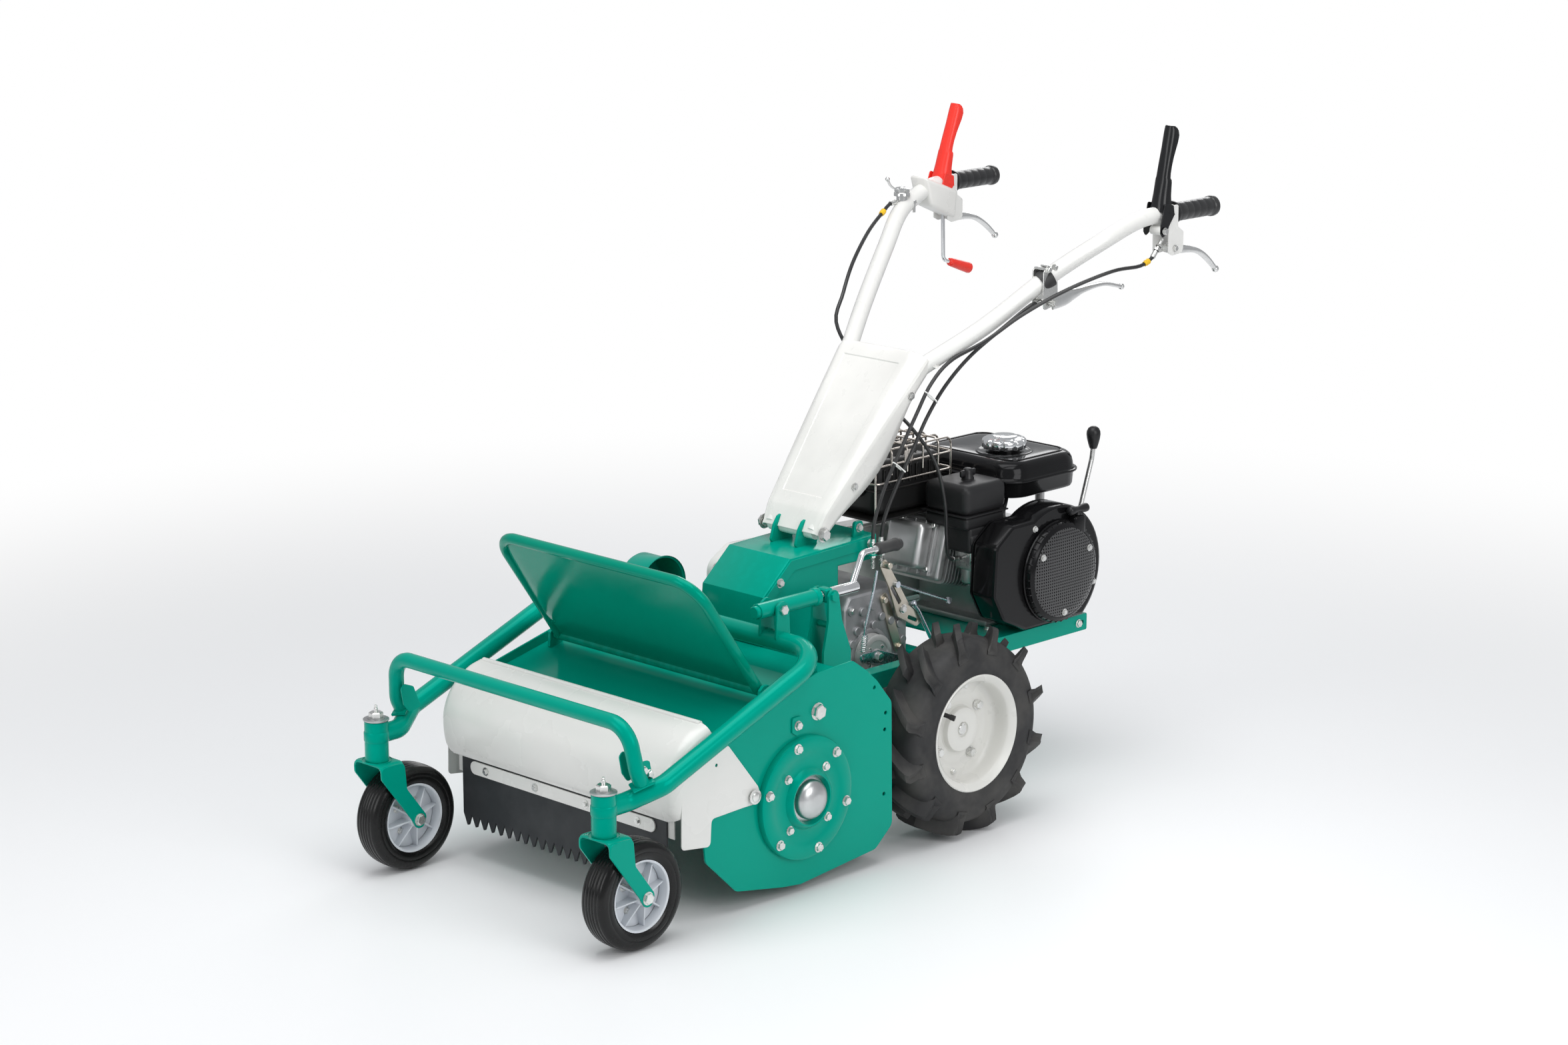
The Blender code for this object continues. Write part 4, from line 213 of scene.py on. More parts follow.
def keep(obj, name, look, body, stands_for=(), soft=38):
    """Names a piece, or a list joined to one, gives it its finish and fixes it to a body of the frame."""
    if isinstance(obj, list):
        obj = one_piece(obj)
    if obj.type != "MESH":
        seen = obj.evaluated_get(bpy.context.evaluated_depsgraph_get())
        mesh = bpy.data.meshes.new_from_object(seen)
        matrix = obj.matrix_world.copy()
        bpy.data.objects.remove(obj, do_unlink=True)
        obj = bpy.data.objects.new(name, mesh)
        scene.collection.objects.link(obj)
        mesh.transform(matrix)
    obj.name = name
    obj.data.materials.clear()
    obj.data.materials.append(look)
    obj.data.polygons.foreach_set("use_smooth", [True] * len(obj.data.polygons))
    obj.data.set_sharp_from_angle(angle=math.radians(soft))
    obj.location.x += AXLE_TO_ORIGIN
    bpy.context.view_layer.update()
    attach(obj, body)
    if stands_for:
        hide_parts(*stands_for)
    return obj


def shown(bm):
    mesh = bpy.data.meshes.new("piece")
    bm.to_mesh(mesh)
    bm.free()
    obj = bpy.data.objects.new("piece", mesh)
    scene.collection.objects.link(obj)
    return obj


def from_bmesh(bm):
    bmesh.ops.recalc_face_normals(bm, faces=bm.faces[:])
    return shown(bm)


def one_piece(objs):
    """Several loose shells kept as one object."""
    whole = bmesh.new()
    for obj in objs:
        if obj.type != "MESH" or obj.modifiers:
            seen = obj.evaluated_get(bpy.context.evaluated_depsgraph_get())
            mesh = bpy.data.meshes.new_from_object(seen)
        else:
            mesh = obj.data
        mesh.transform(obj.matrix_world)
        whole.from_mesh(mesh)
        bpy.data.objects.remove(obj, do_unlink=True)
    return shown(whole)


def skin(bm, rings, closed=True):
    """Faces between each ring of points and the next."""
    for one, two in zip(rings, rings[1:]):
        for i in range(len(one) if closed else len(one) - 1):
            j = (i + 1) % len(one)
            bm.faces.new((one[i], one[j], two[j], two[i]))


def ring_of(across, up, radius, steps=24, start=0.0):
    """A circle of points in a plane."""
    turns = [math.tau * i / steps + start for i in range(steps)]
    return [(across + radius * math.cos(a), up + radius * math.sin(a)) for a in turns]


def oblong(a0, b0, a1, b1):
    """The four corners of a rectangle in a plane."""
    return [(a0, b0), (a1, b0), (a1, b1), (a0, b1)]


def lathe(profile, place=(0, 0, 0), axis="Z", steps=64, side=1):
    """A profile of (radius, height) turned about an axis."""
    bm = bmesh.new()
    rings = []
    for radius, height in profile:
        if radius < 1e-6:
            rings.append([bm.verts.new((0, 0, height))])
        else:
            rings.append([bm.verts.new((x, y, height)) for x, y in ring_of(0, 0, radius, steps)])
    for one, two in zip(rings, rings[1:]):
        for i in range(steps):
            j = (i + 1) % steps
            if len(one) == 1 and len(two) > 1:
                bm.faces.new((one[0], two[i], two[j]))
            elif len(two) == 1 and len(one) > 1:
                bm.faces.new((one[i], two[0], one[j]))
            elif len(one) > 1:
                bm.faces.new((one[i], two[i], two[j], one[j]))
    if axis == "Y":
        turn = Matrix.Rotation(-math.pi / 2 * side, 4, "X")
    elif axis == "X":
        turn = Matrix.Rotation(math.pi / 2 * side, 4, "Y")
    else:
        turn = Matrix.Identity(4)
    bmesh.ops.transform(bm, matrix=Matrix.Translation(place) @ turn, verts=bm.verts)
    return from_bmesh(bm)


def rounded(points, radius, steps=4):
    """The path with each inner corner rounded to the radius."""
    points = [Vector(p) for p in points]
    out = [points[0]]
    for before, corner, after in zip(points, points[1:], points[2:]):
        a, b = (before - corner), (after - corner)
        angle = a.angle(b)
        if angle > math.pi - 0.01:
            out.append(corner)
            continue
        reach = min(radius / math.tan(angle / 2), a.length * 0.49, b.length * 0.49)
        tight = reach * math.tan(angle / 2)
        middle = corner + (a.normalized() + b.normalized()).normalized() * tight / math.sin(angle / 2)
        start, end = corner + a.normalized() * reach - middle, corner + b.normalized() * reach - middle
        first, last = start.normalized(), end.normalized()
        for i in range(steps + 1):
            swing = first.slerp(last, i / steps) if start.angle(end) > 1e-3 else first
            out.append(middle + swing * tight)
    return out + [points[-1]]


def pipe(points, radius, sides=20):
    """A round bar along the path, with flat ends."""
    line = bpy.data.curves.new("pipe", "CURVE")
    line.dimensions = "3D"
    line.bevel_depth = radius
    line.bevel_resolution = max(1, sides // 4 - 1)
    line.use_fill_caps = True
    run = line.splines.new("POLY")
    run.points.add(len(points) - 1)
    for spot, p in zip(run.points, points):
        spot.co = (*p, 1)
    obj = bpy.data.objects.new("pipe", line)
    scene.collection.objects.link(obj)
    return obj


def soft_corners(points, radius, steps=4):
    """A closed outline of (across, up) with rounded corners."""
    count = len(points)
    out = []
    for i in range(count):
        trio = [Vector((*points[(i + k) % count], 0)) for k in (-1, 0, 1)]
        out += [(p.x, p.y) for p in rounded(trio, radius, steps)[1:-1]]
    return out


def sheet_metal(outline, low, high, plane="XZ", holes=(), edge=0.0006):
    """A flat piece cut to an outline, with slightly rounded edges; low and high are its two faces."""
    low, high = sorted((low, high))
    face = bpy.data.curves.new("cut", "CURVE")
    face.dimensions = "2D"
    face.fill_mode = "BOTH"
    face.extrude = (high - low) / 2 - edge
    face.bevel_depth = edge
    face.bevel_resolution = 1
    face.offset = -edge
    for ring in (outline, *holes):
        run = face.splines.new("POLY")
        run.points.add(len(ring) - 1)
        run.use_cyclic_u = True
        for spot, (a, b) in zip(run.points, ring):
            spot.co = (a, b, 0, 1)
    obj = bpy.data.objects.new("cut", face)
    scene.collection.objects.link(obj)
    middle = (low + high) / 2
    if plane == "XZ":
        obj.matrix_world = Matrix(((1, 0, 0, 0), (0, 0, -1, middle), (0, 1, 0, 0), (0, 0, 0, 1)))
    elif plane == "YZ":
        obj.matrix_world = Matrix(((0, 0, 1, middle), (1, 0, 0, 0), (0, 1, 0, 0), (0, 0, 0, 1)))
    else:
        obj.matrix_world = Matrix.Translation((0, 0, middle))
    bpy.context.view_layer.update()
    return obj


def aimed(axis):
    return Vector(axis).to_track_quat("Z", "Y").to_matrix().to_4x4()


def hex_bolt(place, axis, across=0.013, high=0.005, washer=0.0, spin=0.0):
    """A hexagon head with its chamfered crown and, where asked, a flat washer under it."""
    bm = bmesh.new()
    r = across / math.sqrt(3)
    base = 0.0012 if washer else 0.0
    head = []
    for radius, height in ((r, base), (r, base + high * 0.82), (r * 0.86, base + high)):
        head.append([bm.verts.new((x, y, height)) for x, y in ring_of(0, 0, radius, 6, spin)])
    skin(bm, head)
    bm.faces.new(head[-1])
    if washer:
        rings = []
        for radius, height in ((washer, 0), (washer, base), (r * 0.6, base)):
            rings.append([bm.verts.new((x, y, height)) for x, y in ring_of(0, 0, radius)])
        skin(bm, rings)
    bmesh.ops.transform(bm, matrix=Matrix.Translation(place) @ aimed(axis), verts=bm.verts)
    return from_bmesh(bm)


def stood(piece, spot, way):
    """The piece set down at a spot with its own z axis along the way."""
    piece.matrix_world = Matrix.Translation(spot) @ aimed(way)
    bpy.context.view_layer.update()
    return piece


def fixings(pieces, name, body="chassis"):
    """Bolts, pins and washers of zinc plated steel, kept as one piece."""
    return keep(pieces, name, zinc_plate, body, soft=30)


PLATE_FACE, PLATE_BACK = 0.2975, 0.2935
OUTLINE = [
    (0.2085, 0.069), (0.251, 0.033), (0.438, 0.014), (0.482, 0.019), (0.594, 0.039), (0.666, 0.108),
    (0.669, 0.138), (0.669, 0.25), (0.62, 0.33), (0.4, 0.385), (0.311, 0.39), (0.277, 0.366),
    (0.249, 0.341), (0.212, 0.296)]
STOP_EAR = [(0.4363, 0.3003), (0.4491, 0.2833), (0.4623, 0.2921), (0.4617, 0.3182), (0.4402, 0.3186)]
PUNCHED = ((0.227, 0.278), (0.229, 0.248), (0.256, 0.33), (0.23, 0.13))
PIN_CUP = [
    (0.0, 0.0125), (0.0055, 0.0125), (0.0085, 0.011), (0.0088, 0.0098), (0.013, 0.0092), (0.013, 0.0078),
    (0.0105, 0.005), (0.006, 0.0045), (0.006, 0.0)]
for side, word in SIDES:
    out = (0, side, 0)
    punched = [ring_of(x, z, 0.0035, 14) for x, z in PUNCHED]
    plate = sheet_metal(soft_corners(OUTLINE, 0.018, 5), side * PLATE_BACK, side * PLATE_FACE,
            holes=punched)
    ear = sheet_metal(soft_corners(STOP_EAR, 0.004, 3), side * (PLATE_FACE - 0.0005),
            side * (PLATE_FACE + 0.0032))
    lug = pipe([(0.398, side * 0.272, 0.317), (0.398, side * (PLATE_FACE + 0.001), 0.317)], 0.008)
    keep([plate, ear, lug], "side_sheet_" + word, green_enamel, "chassis", ["side_plate_" + word])
    heads = [
        hex_bolt((0.398, side * PLATE_FACE, 0.317), out, 0.024, 0.009, 0.0155, 0.3),
        hex_bolt((0.449, side * (PLATE_FACE + 0.003), 0.303), out, 0.013, 0.0055, 0.0085, 0.1),
        lathe(PIN_CUP, (0.556, side * PLATE_FACE, 0.201), "Y", 40, side)]
    fixings(heads, "side_bolts_" + word)


# Bearing housings on the side plates: pressed flanges in green enamel with a turned step, a silver
# dust cap driven over the shaft's end, six bolts through the deck and four short ones nearer the cap.

ROTOR = Vector((0.433, 0, 0.171))
FLANGE = [
    (0.04, 0.013), (0.044, 0.0225), (0.047, 0.023), (0.05, 0.0205), (0.055, 0.0125), (0.06, 0.0112),
    (0.08, 0.0112), (0.083, 0.0125), (0.104, 0.0125), (0.1085, 0.0108), (0.11, 0.008), (0.11, 0.0003)]
DUST_CAP = [
    (0.0, 0.037), (0.01, 0.0369), (0.013, 0.0364), (0.021, 0.0345), (0.028, 0.031), (0.0325, 0.0265),
    (0.0345, 0.0225),
    (0.035, 0.018), (0.035, 0.014), (0.0375, 0.0134), (0.039, 0.013), (0.0405, 0.0125)]
BOLT_RING, BOLTS = 0.097, 6
INNER_RING = 0.065
silver_cap = plated("silver_cap", (0.6, 0.61, 0.61), 0.3, 0.06)
for side, word in SIDES:
    place = (ROTOR.x, side * PLATE_FACE, ROTOR.z)
    keep(lathe(FLANGE, place, "Y", 96, side), "bearing_flange_" + word, green_enamel, "chassis",
            ["bearing_" + word])
    keep(lathe(DUST_CAP, place, "Y", 64, side), "dust_cap_" + word, silver_cap, "chassis")
    heads = []
    for count, ring, across, lift in ((BOLTS, BOLT_RING, 0.013, 0.0124), (4, INNER_RING, 0.0115, 0.0111)):
        for i in range(count):
            turn = math.tau * (i + 0.25 + (0.22 if count == 4 else 0.0)) / count
            spot = (ROTOR.x + ring * math.cos(turn), side * (PLATE_FACE + lift),
                    ROTOR.z + ring * math.sin(turn))
            heads.append(hex_bolt(spot, (0, side, 0), across, across * 0.45, across * 0.72, i * 0.7))
    fixings(heads, "flange_bolts_" + word)


# Drive wheels: white enamelled deep-dish rims, pressed and rolled from sheet, on a cast hub with four
# bolts, and moulded rubber tractor tyres whose slanted lugs alternate across the tread.

def rubber(name, rgb, rough, scuff, gloss=0.0, shine=0.45):
    """Moulded black rubber, greyer where it is scuffed or dusty, with a fine grain."""
    made, tree, shader, _ = nodes_of(name)
    dust = ranged(tree, noise(tree, 14.0, 6.0), 0.0, 1.0, 0.42, 0.66)
    join(tree, tinted(tree, dust, rgb, scuff), shader.inputs["Base Color"])
    join(tree, ranged(tree, noise(tree, 30.0, 4.0), rough - 0.06, rough + 0.1), shader.inputs["Roughness"])
    put(shader, Specular_IOR_Level=shine, Coat_Weight=gloss, Coat_Roughness=0.2)
    bumped(tree, shader, noise(tree, 700.0, 3.0), 0.12, 0.0005)
    return made


AXLE_Z, TRACK = 0.1934, 0.2564
LUG_COUNT, LUG_LEAN, LUG_HALF = 12, 0.95, 0.008
RIM = [
    (0.04, 0.0052), (0.06, 0.0045), (0.064, 0.005), (0.068, 0.0075), (0.074, 0.008), (0.08, 0.0078),
    (0.086, 0.0082), (0.0905, 0.011), (0.0925, 0.016), (0.093, 0.03), (0.0935, 0.042), (0.096, 0.0465),
    (0.101, 0.0495), (0.104, 0.053), (0.1062, 0.054), (0.1082, 0.0525), (0.108, 0.05), (0.105, 0.048),
    (0.099, 0.0455), (0.0962, 0.042), (0.0955, 0.03), (0.0955, -0.03), (0.0962, -0.042), (0.099, -0.0455),
    (0.105, -0.048), (0.108, -0.05), (0.1075, -0.0525), (0.1045, -0.052), (0.101, -0.049), (0.096, -0.045),
    (0.093, -0.04), (0.0925, -0.01), (0.089, 0.003), (0.06, 0.0015), (0.04, 0.0015)]
HUB = [
    (0.0, 0.015), (0.0135, 0.015), (0.0145, 0.0185), (0.016, 0.0195), (0.037, 0.019), (0.04, 0.0178),
    (0.0412, 0.015), (0.0416, 0.008), (0.044, 0.0055), (0.05, 0.005)]
CARCASS = [
    (0.099, 0.0462), (0.106, 0.05), (0.111, 0.0525), (0.113, 0.052), (0.118, 0.0527), (0.13, 0.0532),
    (0.142, 0.0533), (0.143, 0.0527), (0.149, 0.0525), (0.155, 0.0508), (0.161, 0.047), (0.1665, 0.0395),
    (0.17, 0.028), (0.1715, 0.015), (0.172, 0.0)]
LUG_LINE = [
    (-0.005, 0.18, 0.169), (-0.003, 0.1926, 0.169), (0.01, 0.1934, 0.169), (0.024, 0.193, 0.168),
    (0.038, 0.1915, 0.164), (0.048, 0.1885, 0.157), (0.053, 0.1835, 0.152), (0.0545, 0.174, 0.148),
    (0.0542, 0.164, 0.145), (0.0532, 0.156, 0.144)]


def tread_lug(middle, way):
    """One lug: a bar swept from past the middle of the tread out over the shoulder, wider at its foot."""
    bm = bmesh.new()
    rows = []
    for i, (y, top, low) in enumerate(LUG_LINE):
        lean = middle + way * min(y, 0.0535) * LUG_LEAN / 0.19
        inset = 0.004 if i >= 6 else 0.0
        waist = (top + low) / 2 - 0.003
        corners = []
        for radius, half, dip in (
                (low, LUG_HALF * 2.1, 0), (waist, LUG_HALF * 1.25, 0), (top, LUG_HALF, 0),
                (top, 0.0, inset),
                (top, -LUG_HALF, 0), (waist, -LUG_HALF * 1.25, 0), (low, -LUG_HALF * 2.1, 0)):
            a = lean + half / 0.19
            corners.append(bm.verts.new((radius * math.sin(a), way * (y - dip), radius * math.cos(a))))
        rows.append(corners)
    skin(bm, rows)
    bm.faces.new(rows[0])
    bm.faces.new(rows[-1])
    return from_bmesh(bm)


def block(low, high, soft=0.004, steps=3):
    """A cast or pressed block between two corners, with rounded edges."""
    bm = bmesh.new()
    bmesh.ops.create_cube(bm, size=1.0)
    low, high = [Vector([pick(pair) for pair in zip(low, high)]) for pick in (min, max)]
    for v in bm.verts:
        v.co = Vector([(low[k] + high[k]) / 2 + v.co[k] * (high[k] - low[k]) for k in range(3)])
    bmesh.ops.bevel(bm, geom=bm.edges[:], offset=soft, segments=steps, affect="EDGES", profile=0.5)
    return from_bmesh(bm)


wheel_white = enamel("wheel_white", (0.72, 0.715, 0.68), (0.72, 0.715, 0.68), 0.28, 0.1)
tread_rubber = rubber("tread_rubber", (0.02, 0.02, 0.021), 0.62, (0.055, 0.053, 0.05))
valve_rubber = rubber("valve_rubber", (0.015, 0.015, 0.015), 0.5, (0.03, 0.03, 0.03))
for side, word in SIDES:
    body = word + "_wheel"
    centre = Vector((0, side * TRACK, AXLE_Z))
    rim = lathe(RIM, centre, "Y", 128, side)
    hub = lathe(HUB, centre, "Y", 64, side)
    keep([rim, hub], "drive_rim_" + word, wheel_white, body, ["wheel_rim_" + word])
    carcass = lathe(CARCASS + [(r, -h) for r, h in reversed(CARCASS[:-1])], (0, 0, 0), "Y", 160, side)
    lugs = []
    for way in (1, -1):
        for i in range(LUG_COUNT):
            lugs.append(tread_lug(math.tau * (i + (0.5 if way < 0 else 0)) / LUG_COUNT, way))
    lugs = one_piece(lugs)
    soft = lugs.modifiers.new("soft", "BEVEL")
    soft.width, soft.segments, soft.limit_method = 0.0016, 2, "ANGLE"
    soft.angle_limit = math.radians(30)
    tyre = one_piece([carcass, lugs])
    tyre.location = centre
    bpy.context.view_layer.update()
    keep(tyre, "drive_tyre_" + word, tread_rubber, body, ["wheel_tyre_" + word], 42)
    bolts = []
    for i, (x, z) in enumerate(ring_of(0, 0, 0.062, 4, math.tau / 8 + 0.2)):
        bolts.append(hex_bolt(centre + Vector((x, side * 0.0055, z)), (0, side, 0), 0.015, 0.008, 0.0105,
                i * 0.5))
    for turn in (1.75, 4.9):
        spot = centre + Vector((0.079 * math.cos(turn), side * 0.0078, 0.079 * math.sin(turn)))
        bolts.append(hex_bolt(spot, (0, side, 0), 0.009, 0.0045, 0.006, turn))
    bolts.append(lathe([(0.0, 0.0185), (0.0085, 0.0185), (0.0095, 0.0175), (0.0095, 0.014)], centre, "Y",
            32, side))
    fixings(bolts, "rim_bolts_" + word, body)
    key = block((-0.0025, -0.002, 0.007), (0.0025, 0.003, 0.0125), 0.0006, 1)
    key.matrix_world = Matrix.Translation(centre + Vector((0, side * 0.0165, 0)))
    bpy.context.view_layer.update()
    fixings([key], "shaft_key_" + word, body)
    turn = 0.62
    foot = centre + Vector((0.08 * math.cos(turn), side * 0.0075, 0.08 * math.sin(turn)))
    stem = [foot, foot + Vector((-0.004, side * 0.012, -0.003)),
            foot + Vector((-0.012, side * 0.028, -0.008))]
    cap = [stem[-1], stem[-1] + (stem[-1] - stem[-2]) * 0.5]
    valve = [pipe(rounded(stem, 0.012), 0.0042), pipe(cap, 0.0052)]
    keep(valve, "valve_" + word, valve_rubber, body)


# Front cover: white enamelled sheet rolled over the rotor, folded at both ends into side wings that
# hinge on the side plates, with a wired rear edge and a folded lip that carries the rubber skirt.

COVER_OUT, COVER_BEND, COVER_SHEET = 0.3005, 0.024, 0.0022
COVER_ROLL = [
    (0.655, 0.347), (0.681, 0.34), (0.708, 0.323), (0.73, 0.299), (0.743, 0.27),
    (0.745, 0.24), (0.74, 0.208), (0.731, 0.192)]
WING = [
    (0.613, 0.302), (0.544, 0.216), (0.539, 0.2), (0.548, 0.186), (0.5775, 0.186), (0.654, 0.183),
    (0.657, 0.135), (0.724, 0.144), (0.7225, 0.23), (0.721, 0.268), (0.712, 0.286), (0.685, 0.312),
    (0.652, 0.322)]
LIP_FACE, SKIRT_THICK = 0.718, 0.004


def flowing(points, count):
    """The points joined by a smooth curve and taken at even steps along it."""
    points = [Vector(p) for p in points]
    ends = [points[0] * 2 - points[1], *points, points[-1] * 2 - points[-2]]
    fine = []
    for a, b, c, d in zip(ends, ends[1:], ends[2:], ends[3:]):
        for i in range(16):
            t = i / 16
            square, cube = 2 * a - 5 * b + 4 * c - d, 3 * b - a - 3 * c + d
            fine.append(0.5 * (2 * b + (c - a) * t + square * t ** 2 + cube * t ** 3))
    fine.append(points[-1])
    total = sum((b - a).length for a, b in zip(fine, fine[1:]))
    out, walked, goal = [fine[0]], 0.0, total / count
    for a, b in zip(fine, fine[1:]):
        step = (b - a).length
        while walked + step >= goal and len(out) < count:
            out.append(a.lerp(b, (goal - walked) / step))
            goal += total / count
        walked += step
    return out + [points[-1]]


def grid_mesh(rows, closed=False):
    """A sheet through rows of points."""
    bm = bmesh.new()
    skin(bm, [[bm.verts.new(p) for p in row] for row in rows], closed)
    return from_bmesh(bm)


def thick(obj, wall, offset=-1.0, rim=0.0):
    shell = obj.modifiers.new("wall", "SOLIDIFY")
    shell.thickness, shell.offset, shell.use_even_offset = wall, offset, True
    if rim:
        edge = obj.modifiers.new("edge", "BEVEL")
        edge.width, edge.segments, edge.limit_method, edge.angle_limit = rim, 2, "ANGLE", math.radians(50)
    return obj


def rolled_front():
    line = flowing([(x, 0, z) for x, z in COVER_ROLL], 40)
    slopes = []
    for i in range(len(line)):
        along = (line[min(i + 1, len(line) - 1)] - line[max(i - 1, 0)]).normalized()
        slopes.append(Vector((along.z, 0, -along.x)))
    turns = [math.pi / 2 * i / 10 for i in range(11)]
    middle = COVER_OUT - COVER_BEND
    edge = [(middle + COVER_BEND * math.sin(t), COVER_BEND * (1 - math.cos(t))) for t in turns]
    stations = [(-y, dip) for y, dip in reversed(edge)] + edge
    rows = [[p + n * dip + Vector((0, y, 0)) for p, n in zip(line, slopes)] for y, dip in stations]
    sheet = grid_mesh(rows)
    outward = Vector((1, 0, 0.2))
    facing = sheet.data.polygons[len(sheet.data.polygons) // 2].normal.dot(outward) > 0
    return thick(sheet, COVER_SHEET, -1.0 if facing else 1.0)


cover_pieces = [rolled_front()]
for side in (1, -1):
    cover_pieces.append(sheet_metal(
        soft_corners(WING, 0.008, 4), side * (COVER_OUT - COVER_SHEET), side * COVER_OUT,
        holes=[ring_of(0.556, 0.201, 0.0072), ring_of(0.642, 0.275, 0.003, 14)]))
roll_half = COVER_OUT - COVER_BEND
cover_pieces.append(pipe([(0.656, -roll_half, 0.3455), (0.656, roll_half, 0.3455)], 0.005))
lip = soft_corners([(0.734, 0.1975), (0.731, 0.19), (LIP_FACE, 0.1905), (LIP_FACE, 0.156),
        (LIP_FACE - 0.0025, 0.156), (LIP_FACE - 0.0025, 0.1945), (0.726, 0.1975)], 0.0008, 2)
cover_pieces.append(sheet_metal(lip, -roll_half, roll_half))
keep(cover_pieces, "front_cover_sheet", white_enamel, "cover", ["front_cover"], 40)


# Skirt: a sheet of black rubber with a saw-tooth edge, clamped to the cover's lip by a white steel
# strip with four screws.

TOOTH_COUNT, SKIRT_SPAN, TOOTH_TIP, TOOTH_ROOT = 24, 0.262, 0.06, 0.082
skirt_rubber = rubber("skirt_rubber", (0.028, 0.031, 0.034), 0.46, (0.04, 0.043, 0.046), 0.0, 0.3)
teeth = []
for i in range(TOOTH_COUNT):
    start = -SKIRT_SPAN + 2 * SKIRT_SPAN * i / TOOTH_COUNT
    half_pitch = SKIRT_SPAN / TOOTH_COUNT
    teeth += [(start, TOOTH_ROOT), (start + half_pitch * 0.9, TOOTH_TIP),
            (start + half_pitch * 1.25, TOOTH_TIP + 0.001)]
teeth += [(SKIRT_SPAN, TOOTH_ROOT), (SKIRT_SPAN, 0.1895), (-SKIRT_SPAN, 0.1895)]
skirt = sheet_metal(teeth, LIP_FACE + 0.0003, LIP_FACE + 0.0003 + SKIRT_THICK, "YZ", edge=0.0004)
keep(skirt, "rubber_apron", skirt_rubber, "cover", ["rubber_skirt"])
strip_half, strip_low = SKIRT_SPAN - 0.025, LIP_FACE + SKIRT_THICK + 0.0006
strip_line = soft_corners(oblong(-strip_half, 0.16, strip_half, 0.184), 0.0118, 8)
strip = sheet_metal(strip_line, strip_low, strip_low + 0.003, "YZ", edge=0.0008)
keep(strip, "apron_strip", white_enamel, "cover", ["skirt_strip"])
screws = [hex_bolt((strip_low + 0.003, y, 0.172), (1, 0, 0), 0.0085, 0.0035, 0.0075,
        y * 9) for y in (-0.195, -0.065, 0.065, 0.195)]
fixings(screws, "strip_screws", "cover")


# Flap: a pressed green panel with a crease, welded into a hoop of bent steel tube that hinges on two
# ears behind the cover.

FLAP_FOOT, FLAP_TIP = Vector((0.495, 0, 0.365)), Vector((0.65, 0, 0.585))
HOOP_R, FLAP_HALF = 0.01, 0.252
flap_up = (FLAP_TIP - FLAP_FOOT).normalized()
flap_out = Vector((flap_up.z, 0, -flap_up.x))
hoop_top = (FLAP_TIP - FLAP_FOOT).length - HOOP_R


def on_flap(y, up, out=0.0):
    return FLAP_FOOT + flap_up * up + flap_out * out + Vector((0, y, 0))


hoop = pipe(rounded([on_flap(-FLAP_HALF, 0), on_flap(-FLAP_HALF, hoop_top), on_flap(FLAP_HALF, hoop_top),
        on_flap(FLAP_HALF, 0)],
        0.052, 14), HOOP_R, 24)
rows = []
for i in range(41):
    y = FLAP_HALF * (i / 20 - 1)
    near_edge = max(0.0, abs(y) - (FLAP_HALF - 0.052))
    corner = 0.052 - math.sqrt(max(0.0, 0.052 ** 2 - near_edge ** 2))
    lift = 1 - max(0.0, (abs(y) - FLAP_HALF + 0.03) / 0.03) * 0.7
    row = []
    for share in (0.0, 0.05, 0.12, 0.2, 0.25, 0.28, 0.32, 0.4, 0.55, 0.7, 0.85, 1.0):
        crease = min(share / 0.26, (1 - share) / 0.74)
        row.append(on_flap(y, 0.004 + (hoop_top - corner - 0.004) * share, 0.0015 + 0.0105 * crease * lift))
    rows.append(row)
panel = thick(grid_mesh(rows), 0.0016, 0.0)
barrel = pipe([(FLAP_FOOT.x, -FLAP_HALF - 0.01, FLAP_FOOT.z), (FLAP_FOOT.x, FLAP_HALF + 0.01, FLAP_FOOT.z)],
        0.009)
pin = pipe([(FLAP_FOOT.x, -0.274, FLAP_FOOT.z), (FLAP_FOOT.x, 0.274, FLAP_FOOT.z)], 0.0058)
flap_enamel = enamel("flap_enamel", (0.0, 0.245, 0.16), (0.0, 0.34, 0.25), 0.14, 0.02, GREEN_SHEEN)
keep([hoop, panel, barrel, pin], "flap_panel", flap_enamel, "top_flap", ["flap"], 35)


# Deck shell: the green enamelled sheet that closes the rotor's top and back, welded between the side
# plates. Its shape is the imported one, with its edges softened.

def dressed(name, look):
    """One of the frame's own pieces, whose shape stays, in a better finish."""
    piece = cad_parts[name]
    piece.data.materials.clear()
    piece.data.materials.append(look)
    return piece


deck = dressed("deck_shell", green_enamel)
crisp = deck.modifiers.new("soft", "BEVEL")
crisp.width, crisp.segments, crisp.limit_method, crisp.angle_limit = 0.0006, 2, "ANGLE", math.radians(40)


# Flail rotor: a steel tube between stub shafts with eight knives on welded holders, worn bright by the
# grass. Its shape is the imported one.

rotor_steel = enamel("rotor_steel", (0.2, 0.19, 0.18), (0.46, 0.45, 0.43), 0.48, 0.0)
dressed("flail_rotor", rotor_steel)


# Front frame: one bent steel tube with a cross part behind the flap and side parts that run down to the
# king tubes of the casters, all welded and enamelled green.

FRAME_TUBE, FRAME_SIDE, KING_X, KING_Y = 0.017, 0.323, 0.8902, 0.2919
KING_HIGH, KING_FOOT = 0.2812, 0.2082
CROSS = Vector((0.405, 0, 0.4275))


def slope_at(x):
    return CROSS.z - 0.394 * (x - CROSS.x)


